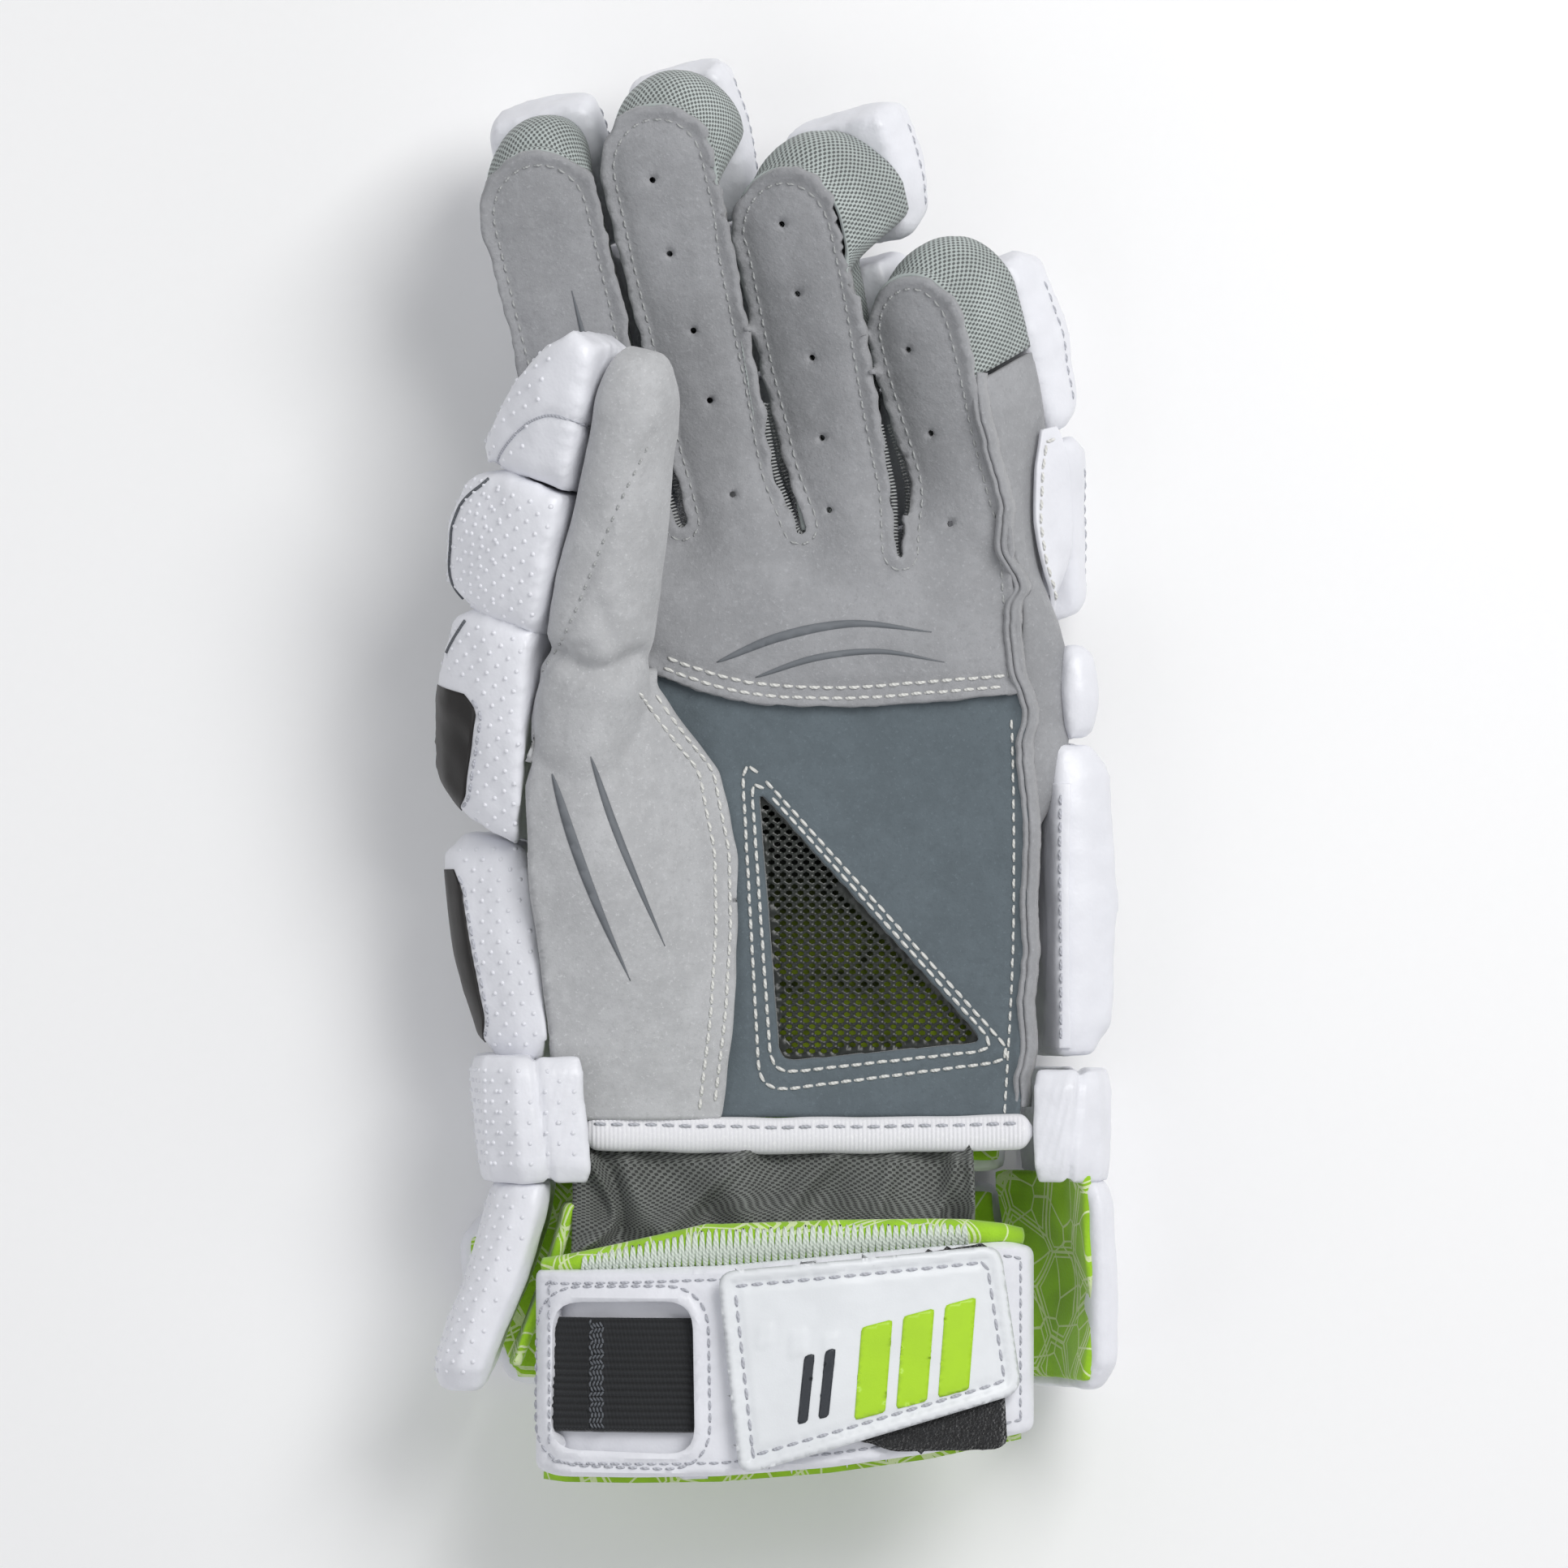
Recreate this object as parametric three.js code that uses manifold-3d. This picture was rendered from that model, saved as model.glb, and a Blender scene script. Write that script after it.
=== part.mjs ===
// A padded left-hand lacrosse glove, lying on its back with the palm up.
// Millimetres and degrees. +X points to the little finger, +Y to the fingertips, +Z out of the palm.
// The origin is on the surface that the glove rests on, under the middle of the back of the hand.
import * as THREE from "three";
import { LoftGeometry } from "three/addons/geometries/LoftGeometry.js";
import { mergeVertices } from "three/addons/utils/BufferGeometryUtils.js";
import Module from "manifold-3d";

const wasm = await Module();
wasm.setup();

// Materials' thicknesses and the clearance left where two pieces are sewn together
const SUEDE = 1.4;
const MESH = 1.2;
const LINING = 2;
const SEAM = 0.3;

// The palm
const PALM_WIDTH = 114;
const PALM_LENGTH = 134;
const PALM_OFFSET = 2;
const HEM_Y = -82;
const KNUCKLE_LINE = HEM_Y + PALM_LENGTH;
const PALM_CUP = 6;
const THENAR_RISE = 17;
const THENAR_WIDTH = 62;

// Foam and the room left for the hand
const BACK_PAD = 20;
const FINGER_PAD = 18;
const THUMB_PAD = 18;
const SIDE_PAD = 15;
const FINGER_ROOM = 25;
const THUMB_ROOM = 20;
const HAND_ROOM = 29;

// The cuff and its closure
const CUFF_PAD = 12;
const BAND_WIDTH = 56;
const BAND_PAD = 4;
const TAB = 3;
const LOOP = 1.2;
const WEB = 1.4;
const BINDING = 7.6;

const PALM_TOP = BACK_PAD + HAND_ROOM + SUEDE;
const KNUCKLE_TOP = BACK_PAD + FINGER_ROOM + 3.5;

// Each finger: where its axis crosses the knuckle line, as a share of the palm's width; its length and half
// width; the base's share of that half width; how far it leans, rolls and curls
const FINGERS = {
  index: { across: -0.334, length: 91.5, half: 14, base: 0.94, lean: 13.2, roll: 13, curl: 21 },
  middle: { across: -0.086, length: 102, half: 13.8, base: 0.82, lean: 12.2, roll: 18, curl: 22 },
  ring: { across: 0.144, length: 87, half: 15.4, base: 0.8, lean: 12.1, roll: 33, curl: 20 },
  pinky: { across: 0.383, length: 63, half: 13.4, base: 0.8, lean: 14.9, roll: 37, curl: 13 },
};
// The roll grows along a finger from this share of itself at the palm
const ROLL_AT_BASE = 0.3;

// How far the walls of a finger's mesh lean outwards to its two sides by the time they reach the foam. The
// right wall leans in where the next finger presses on it, up to a share of the length, and out beyond it.
const WALL_LEAN = {
  index: { left: 1.5, right: -3.5, tucked: 0.5, free: 1, beyond: -3 },
  middle: { left: 0, right: -7, tucked: 1, free: 0.8, beyond: 2 },
  ring: { left: 0, right: -9.5, tucked: 2, free: 0.72, beyond: 5 },
  pinky: { left: 0, right: 2, tucked: 0, free: 0, beyond: 2 },
};
// Where neighbouring fingers part: shares of the palm's width from its middle, and millimetres above the
// knuckle line
const PARTINGS = [
  { across: -0.2, above: 3 },
  { across: 0.042, above: 2 },
  { across: 0.246, above: -4 },
];

// Lines beside the hand that pads follow, as a finger's axis: the thumb, and the two edges of the hand
const THUMB = {
  x: -31.5,
  y: 10,
  z: 62,
  length: 84,
  half: 13,
  base: 1.1,
  lean: -6,
  roll: -63,
  slope: 18.5,
  room: 1.25 * THUMB_ROOM,
  tipRoom: 0.72 * THUMB_ROOM,
};
const EDGE = { length: 100, half: 13, room: THUMB_ROOM, slope: 0 };
const RADIAL_EDGE = { ...EDGE, x: -35.5, y: HEM_Y + 14, z: 41, lean: 1.5, roll: -72 };
const ULNAR_EDGE = { ...EDGE, x: 44.5, y: HEM_Y + 8, z: 39, lean: 0.5, roll: 72 };
const ULNAR_UPPER = { ...EDGE, x: 48, y: KNUCKLE_LINE, z: 39, lean: 1, roll: 76 };

// How a pad's section swells and rounds off along its length, as shares
const PAD_SWELL = [
  { at: 0, width: 0.84, height: 0.66 },
  { at: 0.1, width: 0.96, height: 0.92 },
  { at: 0.5, width: 1, height: 1 },
  { at: 0.9, width: 0.96, height: 0.92 },
  { at: 1, width: 0.84, height: 0.66 },
];
// A pad's section: shares of its half width and of its thickness, from the side that touches the hand
const PAD_SECTION = [
  { across: -0.94, deep: 0 },
  { across: -1, deep: 0.4 },
  { across: -0.88, deep: 0.82 },
  { across: -0.6, deep: 1 },
  { across: 0.6, deep: 1 },
  { across: 0.88, deep: 0.82 },
  { across: 1, deep: 0.4 },
  { across: 0.94, deep: 0 },
];

// Colours and finishes
const finish = (color, roughness, metalness = 0) =>
  new THREE.MeshStandardMaterial({ color, roughness, metalness });
const whiteLeather = finish(0xe9eaf1, 0.45);
const greySuede = finish(0xa9abac, 0.95);
const slateSuede = finish(0x6d787f, 0.95);
const greyMesh = finish(0x8e9594, 0.85);
const blackMesh = finish(0x2a2d2c, 0.8);
const blackGloss = finish(0x2b2625, 0.3);
const blackWebbing = finish(0x26282b, 0.9);
const whiteRubber = finish(0xe2e8ea, 0.4);
const whiteWebbing = finish(0xf0f0f2, 0.8);
const limeLining = finish(0x9fd02c, 0.8);

const glove = new THREE.Group();
const add = (name, geometry, material) => {
  const mesh = new THREE.Mesh(geometry, material);
  mesh.name = name;
  glove.add(mesh);
};

// Small maths
const mix = THREE.MathUtils.lerp;
const clamp = THREE.MathUtils.clamp;
const radians = THREE.MathUtils.degToRad;
const smooth = (from, to, value) => {
  const share = clamp((value - from) / (to - from), 0, 1);
  return share * share * (3 - 2 * share);
};
const point = (x, y, z) => new THREE.Vector3(x, y, z);

// The value of a table's column at a place, between its rows
function tableAt(rows, key, column, place) {
  const next = rows.findIndex((row) => row[key] >= place);
  if (next < 0) return rows.at(-1)[column];
  if (next === 0) return rows[0][column];
  const [a, b] = [rows[next - 1], rows[next]];
  return mix(a[column], b[column], (place - a[key]) / (b[key] - a[key]));
}

// Booleans through manifold-3d
function solidOf(geometry) {
  const bare = new THREE.BufferGeometry().setAttribute("position", geometry.getAttribute("position"));
  const merged = mergeVertices(geometry.index ? bare.setIndex(geometry.index) : bare, 1e-3);
  return new wasm.Manifold(
    new wasm.Mesh({
      numProp: 3,
      vertProperties: merged.attributes.position.array,
      triVerts: new Uint32Array(merged.index.array),
    }),
  );
}
function geometryOf(solid) {
  const { vertProperties, triVerts } = solid.getMesh();
  return new THREE.BufferGeometry()
    .setAttribute("position", new THREE.BufferAttribute(vertProperties, 3))
    .setIndex(new THREE.BufferAttribute(triVerts, 1));
}

// A closed solid through rings of points, which may run either way round
function loft(rings) {
  const centre = (ring) => ring.reduce((sum, p) => sum.add(p), point()).divideScalar(ring.length);
  const [first, second] = [centre(rings[0]), centre(rings[1])];
  const normal = point();
  rings[0].forEach((p, i) => {
    const q = rings[0][(i + 1) % rings[0].length];
    normal.add(p.clone().sub(first).cross(q.clone().sub(first)));
  });
  const ordered = normal.dot(second.sub(first)) > 0 ? rings : rings.map((ring) => ring.toReversed());
  return new LoftGeometry(ordered, { capStart: true, capEnd: true });
}

// An open surface of quads, as rows of points that may share points with other surfaces
function surface(...grids) {
  const positions = [];
  const indices = [];
  for (const rows of grids) {
    const start = positions.length / 3;
    const columns = rows[0].length;
    for (const row of rows) for (const p of row) positions.push(p.x, p.y, p.z);
    for (let i = 0; i < rows.length - 1; i++) {
      for (let j = 0; j < columns - 1; j++) {
        const a = start + i * columns + j;
        indices.push(a, a + 1, a + columns + 1, a, a + columns + 1, a + columns);
      }
    }
  }
  const open = new THREE.BufferGeometry()
    .setAttribute("position", new THREE.Float32BufferAttribute(positions, 3))
    .setIndex(indices);
  return mergeVertices(open, 1e-3);
}

// A sheet with that surface on top, and a wall of the thickness below it, measured along its normals
function thicken(open, thickness, sunk = 0) {
  open.computeVertexNormals();
  const { position, normal } = open.attributes;
  const count = position.count;
  const vertices = [];
  for (const depth of [sunk, sunk + thickness]) {
    for (let i = 0; i < count; i++) {
      const p = point().fromBufferAttribute(position, i);
      p.addScaledVector(point().fromBufferAttribute(normal, i), -depth);
      vertices.push(p.x, p.y, p.z);
    }
  }
  const faces = [];
  const once = new Map();
  const index = open.index.array;
  for (let i = 0; i < index.length; i += 3) {
    const [a, b, c] = index.subarray(i, i + 3);
    faces.push(a, b, c, c + count, b + count, a + count);
    for (const [from, to] of [[a, b], [b, c], [c, a]]) {
      if (!once.delete(`${to}-${from}`)) once.set(`${from}-${to}`, [from, to]);
    }
  }
  for (const [from, to] of once.values()) {
    faces.push(to, from, from + count, to, from + count, to + count);
  }
  return new THREE.BufferGeometry()
    .setAttribute("position", new THREE.Float32BufferAttribute(vertices, 3))
    .setIndex(faces);
}

// A finger's or edge's own axes at a distance along it: out of the palm side, across it, and along it
function frameAt(f, along) {
  const s = along / f.length;
  const grown = f.slope === undefined ? mix(ROLL_AT_BASE, 1, smooth(-0.25, 0.45, s)) : 1;
  const lean = radians(f.lean);
  const roll = radians(f.roll) * grown;
  const forward = point(-Math.sin(lean), Math.cos(lean), 0);
  const side = point(Math.cos(lean), Math.sin(lean), 0);
  const bend = clamp(s, 0, 1);
  let rise = (f.curl ?? 0) * (s > 1 ? 2 * s - 1 : bend * bend);
  let pitch = (2 * (f.curl ?? 0) * bend) / f.length;
  if (f.slope !== undefined) {
    pitch = Math.tan(radians(f.slope));
    rise = pitch * along;
  }
  const origin = point(f.x, f.y, f.z + rise).addScaledVector(forward, along);
  const across = side.clone().multiplyScalar(Math.cos(roll)).setZ(Math.sin(roll));
  const out = across.clone().cross(forward.clone().setZ(pitch)).normalize();
  return { origin, across, out, forward, side, roll };
}

// How deep the room for the finger is
const roomAt = (f, along) => mix(f.room, f.tipRoom ?? f.room, clamp(along / f.length, 0, 1));

// A point in those axes. Depth runs from the palm side towards the back of the hand.
function inFrame(f, along, across, depth) {
  const { origin, across: u, out } = frameAt(f, along);
  return origin.clone().addScaledVector(u, across).addScaledVector(out, -depth);
}

for (const f of Object.values(FINGERS)) {
  f.x = PALM_OFFSET + f.across * PALM_WIDTH;
  f.y = KNUCKLE_LINE;
  f.z = KNUCKLE_TOP;
  f.room = FINGER_ROOM;
}
const ORDER = [FINGERS.index, FINGERS.middle, FINGERS.ring, FINGERS.pinky];

// The height of one finger's palm side over a place in plan
function fingerHeight(f, x, y) {
  const lean = radians(f.lean);
  const [dx, dy] = [x - f.x, y - f.y];
  const along = -dx * Math.sin(lean) + dy * Math.cos(lean);
  const across = dx * Math.cos(lean) + dy * Math.sin(lean);
  const { origin, roll } = frameAt(f, along);
  return { along, across, height: origin.z + across * Math.tan(roll) };
}

// The height of the palm's leather over a place in plan. Near the knuckles it blends the fingers' planes.
function palmHeight(x, y, owner) {
  const middle = (x - PALM_OFFSET) / (PALM_WIDTH / 2);
  const cup = PALM_CUP * (1 - Math.min(1, middle * middle)) * smooth(KNUCKLE_LINE, KNUCKLE_LINE - 45, y);
  const palm = PALM_TOP - cup;
  const places = ORDER.map((f) => fingerHeight(f, x, y));
  let total = 0;
  let sum = 0;
  for (const { across, height } of places) {
    const weight = Math.exp(-((across / 12) ** 2)) + 1e-6;
    total += weight;
    sum += weight * height;
  }
  const shared = mix(palm, sum / total, smooth(KNUCKLE_LINE - 34, KNUCKLE_LINE, y));
  if (!owner) return shared;
  const own = fingerHeight(owner, x, y);
  return mix(shared, own.height, smooth(0, 0.28, own.along / owner.length));
}

// A point of a finger's palm panel and its direction out of the palm
function panelPoint(f, along, across) {
  const { origin, side, roll, out } = frameAt(f, along);
  const p = origin.clone().addScaledVector(side, across * Math.cos(roll));
  p.z = palmHeight(p.x, p.y, f);
  return { p, out };
}

// Half the width of a finger's palm panel. Its end is round.
function panelHalf(f, along) {
  const straight = f.length - f.half;
  const half = f.half * mix(f.base, 1, smooth(0, 0.7, along / f.length));
  if (along <= straight) return half;
  const round = Math.min(1, (along - straight) / f.half);
  return half * Math.sqrt(1 - round * round);
}

// The places along a finger where its sheets have a row of points
function panelRows(f) {
  const straight = f.length - f.half;
  const rows = [0.1, 0.24, 0.42, 0.62, 0.82, 1].map((share) => share * straight);
  for (const angle of [30, 55, 72, 84]) rows.push(straight + f.half * Math.sin(radians(angle)));
  return rows;
}

const PANEL_COLUMNS = [-1, -0.5, 0, 0.5, 1];

// The points where neighbouring fingers part, with the outer ends of the knuckle line
const partings = [
  panelPoint(FINGERS.index, 0, -panelHalf(FINGERS.index, 0)).p,
  ...PARTINGS.map(({ across, above }) =>
    point(PALM_OFFSET + across * PALM_WIDTH, KNUCKLE_LINE + above, 0),
  ),
  panelPoint(FINGERS.pinky, 0, panelHalf(FINGERS.pinky, 0)).p,
];

function knuckleRow(i) {
  return PANEL_COLUMNS.map((q) => {
    const p = partings[i].clone().lerp(partings[i + 1], (q + 1) / 2);
    p.z = palmHeight(p.x, p.y);
    return p;
  });
}

// Lines on the palm. Across is a share of the palm's half width from its middle, up a share of its length
// from the hem.
const alongPalm = ({ across, up }) => ({
  x: PALM_OFFSET + (across * PALM_WIDTH) / 2,
  y: HEM_Y + up * PALM_LENGTH,
});
const FRONT_EDGE = [
  { across: -0.54, up: 0.776 },
  { across: -0.36, up: 0.748 },
  { across: -0.11, up: 0.722 },
  { across: 0.26, up: 0.715 },
  { across: 0.62, up: 0.725 },
  { across: 0.98, up: 0.737 },
].map(alongPalm);
const THENAR_EDGE = [
  { up: 0, across: -0.24 },
  { up: 0.18, across: -0.19 },
  { up: 0.33, across: -0.17 },
  { up: 0.46, across: -0.175 },
  { up: 0.6, across: -0.24 },
  { up: 0.7, across: -0.42 },
  { up: 0.75, across: -0.5 },
].map(alongPalm);
const THENAR_OUTER = [
  { up: 0, across: -0.9 },
  { up: 0.2, across: -0.95 },
  { up: 0.45, across: -1.02 },
  { up: 0.58, across: -1.03 },
  { up: 0.7, across: -0.94 },
  { up: 0.8, across: -0.8 },
].map(alongPalm);
const SEAM_EDGE = [
  { up: 0, across: 0.965 },
  { up: 0.3, across: 1 },
  { up: 0.6, across: 1 },
  { up: 0.8, across: 0.98 },
  { up: 1, across: 0.97 },
].map(alongPalm);
const lineAt = (line, y) => tableAt(line, "y", "x", y);

// The upper palm and the four finger panels are one piece of suede
function palmFront() {
  const grids = [];
  ORDER.forEach((f, i) => {
    const top = knuckleRow(i);
    const lower = [];
    for (const share of [0, 0.35, 0.7]) {
      lower.push(
        top.map((p, j) => {
          const place = (i + j / (PANEL_COLUMNS.length - 1)) / ORDER.length;
          const x = mix(FRONT_EDGE[0].x, FRONT_EDGE.at(-1).x, place);
          const y = tableAt(FRONT_EDGE, "x", "y", x);
          const q = point(mix(x, p.x, share), mix(y, p.y, share), 0);
          q.z = palmHeight(q.x, q.y);
          return q;
        }),
      );
    }
    const rows = panelRows(f).map((along) =>
      PANEL_COLUMNS.map((q) => panelPoint(f, along, q * panelHalf(f, along)).p),
    );
    grids.push([...lower, top, ...rows]);
  });
  return thicken(surface(...grids), SUEDE);
}

// How much the ball of the thumb stands above the palm
function thenarSwell(x, y) {
  const centre = mix(-30, -40, smooth(HEM_Y, 0, y));
  const near = Math.cos(clamp((x - centre) / (THENAR_WIDTH / 2), -1, 1) * (Math.PI / 2)) ** 1.6;
  const up = mix(0.1, 1, smooth(HEM_Y, -8, y)) * smooth(32, 8, y);
  return THENAR_RISE * near * up;
}

// A solid under the ball of the thumb, sunk below its surface and widened past its edges
function thenarSolid(sunk, wider) {
  const rings = [];
  const floor = BACK_PAD + 2;
  for (const share of [0, 0.12, 0.26, 0.4, 0.53, 0.66, 0.78, 0.9, 1]) {
    const y = mix(HEM_Y - wider, 24, share);
    const left = lineAt(THENAR_OUTER, y) - wider;
    const right = lineAt(THENAR_EDGE, y) + wider;
    const ring = [point(left, y, floor - wider)];
    for (let j = 0; j <= 7; j++) {
      const x = mix(left, right, j / 7);
      ring.push(point(x, y, palmHeight(x, y) + thenarSwell(x, y) - sunk));
    }
    ring.push(point(right, y, floor - wider));
    rings.push(ring);
  }
  return solidOf(loft(rings));
}

// A closed tube in a finger's own axes, its section an oval as deep as the room for the finger
function fingerTube(f, from, to, inset) {
  const rings = [];
  for (const share of [0, 0.06, 0.16, 0.3, 0.5, 0.72, 0.86, 0.94, 0.985, 1]) {
    const along = mix(from, to - inset, share);
    const left = Math.min((to - inset - along) / (f.half * 1.25), 0.3 + (along - from) / (f.half * 1.6));
    const round = left >= 1 ? 1 : Math.sqrt(Math.max(0.02, 1 - (1 - left) ** 2));
    const half = (f.half * mix(f.base, 1, smooth(0, 0.5, along / f.length)) - inset) * round;
    const middle = roomAt(f, along) / 2;
    const deep = (middle - inset) * mix(0.55, 1, round);
    const ring = [];
    for (let j = 0; j < 14; j++) {
      const angle = (j / 14) * 2 * Math.PI;
      const [c, s] = [Math.cos(angle), Math.sin(angle)];
      const across = half * Math.sign(c) * Math.abs(c) ** 0.8;
      ring.push(inFrame(f, along, across, middle - deep * Math.sign(s) * Math.abs(s) ** 0.8));
    }
    rings.push(ring);
  }
  return solidOf(loft(rings));
}

// The thumb's hood runs into the ball of the thumb, as one piece of suede with an open way into the hand
function thumbSuede() {
  const start = -22;
  const outer = thenarSolid(0, 0).add(fingerTube(THUMB, start, THUMB.length, 0));
  const inner = thenarSolid(SUEDE, 4).add(fingerTube(THUMB, start, THUMB.length, SUEDE));
  return geometryOf(outer.subtract(inner));
}

// The slate suede patch of the lower palm goes under the edges of the other two by this much
const UNDERLAP = 6;
function patchSurface() {
  const rows = [];
  for (const share of [0, 0.14, 0.28, 0.42, 0.56, 0.7, 0.85, 1]) {
    rows.push(
      [0, 0.14, 0.3, 0.46, 0.64, 0.82, 1].map((q) => {
        const low = HEM_Y;
        const x0 = mix(lineAt(THENAR_EDGE, low), lineAt(SEAM_EDGE, low), q);
        const high = tableAt(FRONT_EDGE, "x", "y", x0) + UNDERLAP;
        const y = mix(low, high, share);
        const x = mix(lineAt(THENAR_EDGE, y) - UNDERLAP, lineAt(SEAM_EDGE, y), q);
        return point(x, y, palmHeight(x, y));
      }),
    );
  }
  return surface(rows);
}

// The three corners of the window in the patch
const WINDOW = [
  { across: -0.1, up: 0.575 },
  { across: -0.01, up: 0.095 },
  { across: 0.84, up: 0.13 },
].map(alongPalm);
const WINDOW_ROUND = 3;

// A triangle with round corners, grown outwards by a margin
function windowShape(margin) {
  const middle = new THREE.Vector2();
  for (const { x, y } of WINDOW) middle.add(new THREE.Vector2(x, y).divideScalar(3));
  const corners = WINDOW.map(({ x, y }) => {
    const corner = new THREE.Vector2(x, y);
    return corner.add(corner.clone().sub(middle).setLength(margin * 1.6));
  });
  const shape = new THREE.Shape();
  corners.forEach((corner, i) => {
    const before = corners[(i + 2) % 3];
    const after = corners[(i + 1) % 3];
    const start = corner.clone().lerp(before, WINDOW_ROUND / corner.distanceTo(before));
    const end = corner.clone().lerp(after, WINDOW_ROUND / corner.distanceTo(after));
    if (i === 0) shape.moveTo(start.x, start.y);
    else shape.lineTo(start.x, start.y);
    shape.quadraticCurveTo(corner.x, corner.y, end.x, end.y);
  });
  shape.closePath();
  return shape;
}
const prism = (shape, curveSegments) =>
  solidOf(new THREE.ExtrudeGeometry(shape, { depth: 2 * PALM_TOP, bevelEnabled: false, curveSegments }));

function palmPatch() {
  const sheet = solidOf(thicken(patchSurface(), SUEDE, SUEDE + 2 * SEAM));
  return geometryOf(sheet.subtract(prism(windowShape(0), 3)));
}

// The net in the window: a sheet pierced by rows of lozenges
const NET_PITCH = 6.4;
const NET_BAR = 1.5;
function ventNet() {
  const sheet = solidOf(thicken(patchSurface(), MESH, 2 * SUEDE + 3 * SEAM)).intersect(prism(windowShape(4), 2));
  const inside = windowShape(-NET_BAR * 1.4).getPoints(2);
  const holes = [];
  const half = (NET_PITCH - NET_BAR) / 2;
  const box = new THREE.Box2().setFromPoints(inside);
  for (let row = 0, y = box.min.y + half; y < box.max.y; y += NET_PITCH / 2, row++) {
    for (let x = box.min.x + ((row % 2) * NET_PITCH) / 2; x < box.max.x; x += NET_PITCH) {
      const corners = [[half, 0], [0, half], [-half, 0], [0, -half]].map(
        ([a, b]) => new THREE.Vector2(x + a, y + b),
      );
      const clear = corners.every((c) => isInside(c, inside));
      if (clear) holes.push(prism(new THREE.Shape(corners), 1));
    }
  }
  return geometryOf(holes.reduce((net, hole) => net.subtract(hole), sheet));
}

function isInside(p, polygon) {
  let inside = false;
  polygon.forEach((a, i) => {
    const b = polygon[(i + 1) % polygon.length];
    const crosses = a.y > p.y !== b.y > p.y;
    if (crosses && p.x < a.x + ((p.y - a.y) / (b.y - a.y)) * (b.x - a.x)) inside = !inside;
  });
  return inside;
}

// The walls of a finger stand this far inside the edge of its palm panel and swell by this at half depth
const PANEL_INSET = 1;
const WALL_SWELL = 0.8;

// A point on the outside of a finger's wall, or inside it by an inset. Turn is 180 on the left side, 90 at
// the end and 0 on the right side, deep a share of the room for the finger.
function wallPoint(f, lean, along, turn, deep, inset) {
  const [c, s] = [Math.cos(radians(turn)), Math.sin(radians(turn))];
  const straight = f.length - f.half;
  const half = panelHalf(f, clamp(along, 0, straight));
  const freed = smooth(lean.free - 0.06, lean.free + 0.04, along / f.length);
  const right = mix(lean.right, lean.beyond, freed);
  const out = mix(c < 0 ? lean.left : right, 0, s) * deep ** 0.7 + 4 * WALL_SWELL * deep * (1 - deep);
  const tucked = c > 0 ? lean.tucked * (1 - freed) : 0;
  const across = c * (half - PANEL_INSET - tucked - inset + out);
  const ahead = along + s * (f.half - PANEL_INSET - inset + 4 * WALL_SWELL * deep * (1 - deep));
  if (deep > 0) return inFrame(f, ahead, across, deep * (f.room - SEAM));
  const { p, out: up } = panelPoint(f, ahead, across);
  return p.addScaledVector(up, -(SUEDE + SEAM));
}

// The mesh wall round a finger: up one side, round the end and down the other
function gusset(f, lean, leftStart, rightStart) {
  const stations = [];
  const straight = f.length - f.half;
  const sides = (start) => [0, 0.2, 0.42, 0.64, 0.8, 0.9, 1].map((share) => mix(start, straight, share));
  for (const along of sides(leftStart)) stations.push({ along, turn: 180 });
  for (const turn of [150, 120, 90, 60, 30]) stations.push({ along: straight, turn });
  for (const along of sides(rightStart).reverse()) stations.push({ along, turn: 0 });
  return loft(
    stations.map(({ along, turn }) => {
      const at = (deep, inset) => wallPoint(f, lean, along, turn, deep, inset);
      return [at(0, 0), at(0.5, 0), at(1, 0), at(1, MESH), at(0.5, MESH), at(0, MESH)];
    }),
  );
}

// The suede down the little finger's side of the hand, between the palm's seam and the pads. Out is how far
// it swells, in millimetres.
const SIDE_SWELL = [
  { up: 0, out: 3 },
  { up: 0.5, out: 4 },
  { up: 0.65, out: 8 },
  { up: 0.84, out: 9 },
];
const SIDE_TOP = 0.55;

// A point on the outside of that side. Along is measured on the little finger's axis, also below the
// knuckle line, where the side leaves the finger's frame and follows the edge of the palm.
function sidePoint(along, deep, inset) {
  const f = FINGERS.pinky;
  const onFinger = wallPoint(f, WALL_LEAN.pinky, along, 0, deep, inset);
  const y = KNUCKLE_LINE + along;
  const swell = tableAt(SIDE_SWELL, "up", "out", (y - HEM_Y) / PALM_LENGTH);
  const out = swell * Math.sin(Math.min(1, deep * 2.4) * (Math.PI / 2)) * (1 - 1.2 * smooth(0.42, 1, deep));
  const x = lineAt(SEAM_EDGE, y) - PANEL_INSET - inset + out;
  const z = mix(palmHeight(x, y) - 2 * SUEDE - 3 * SEAM, BACK_PAD + 5, deep);
  return onFinger.lerp(point(x, y, z), smooth(-4, -32, along));
}

function ulnarSide() {
  const top = SIDE_TOP * FINGERS.pinky.length;
  const bottom = 3 - PALM_LENGTH;
  const stations = [0, 0.08, 0.16, 0.24, 0.32, 0.4, 0.5, 0.62, 0.76, 0.88, 1].map((q) => mix(top, bottom, q));
  return loft(
    stations.map((along) => {
      const at = (deep, inset) => sidePoint(along, deep, inset);
      return [
        at(0, 0), at(0.25, 0), at(0.6, 0), at(1, 0), at(1, SUEDE), at(0.6, SUEDE), at(0.25, SUEDE), at(0, SUEDE),
      ];
    }),
  );
}

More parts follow.
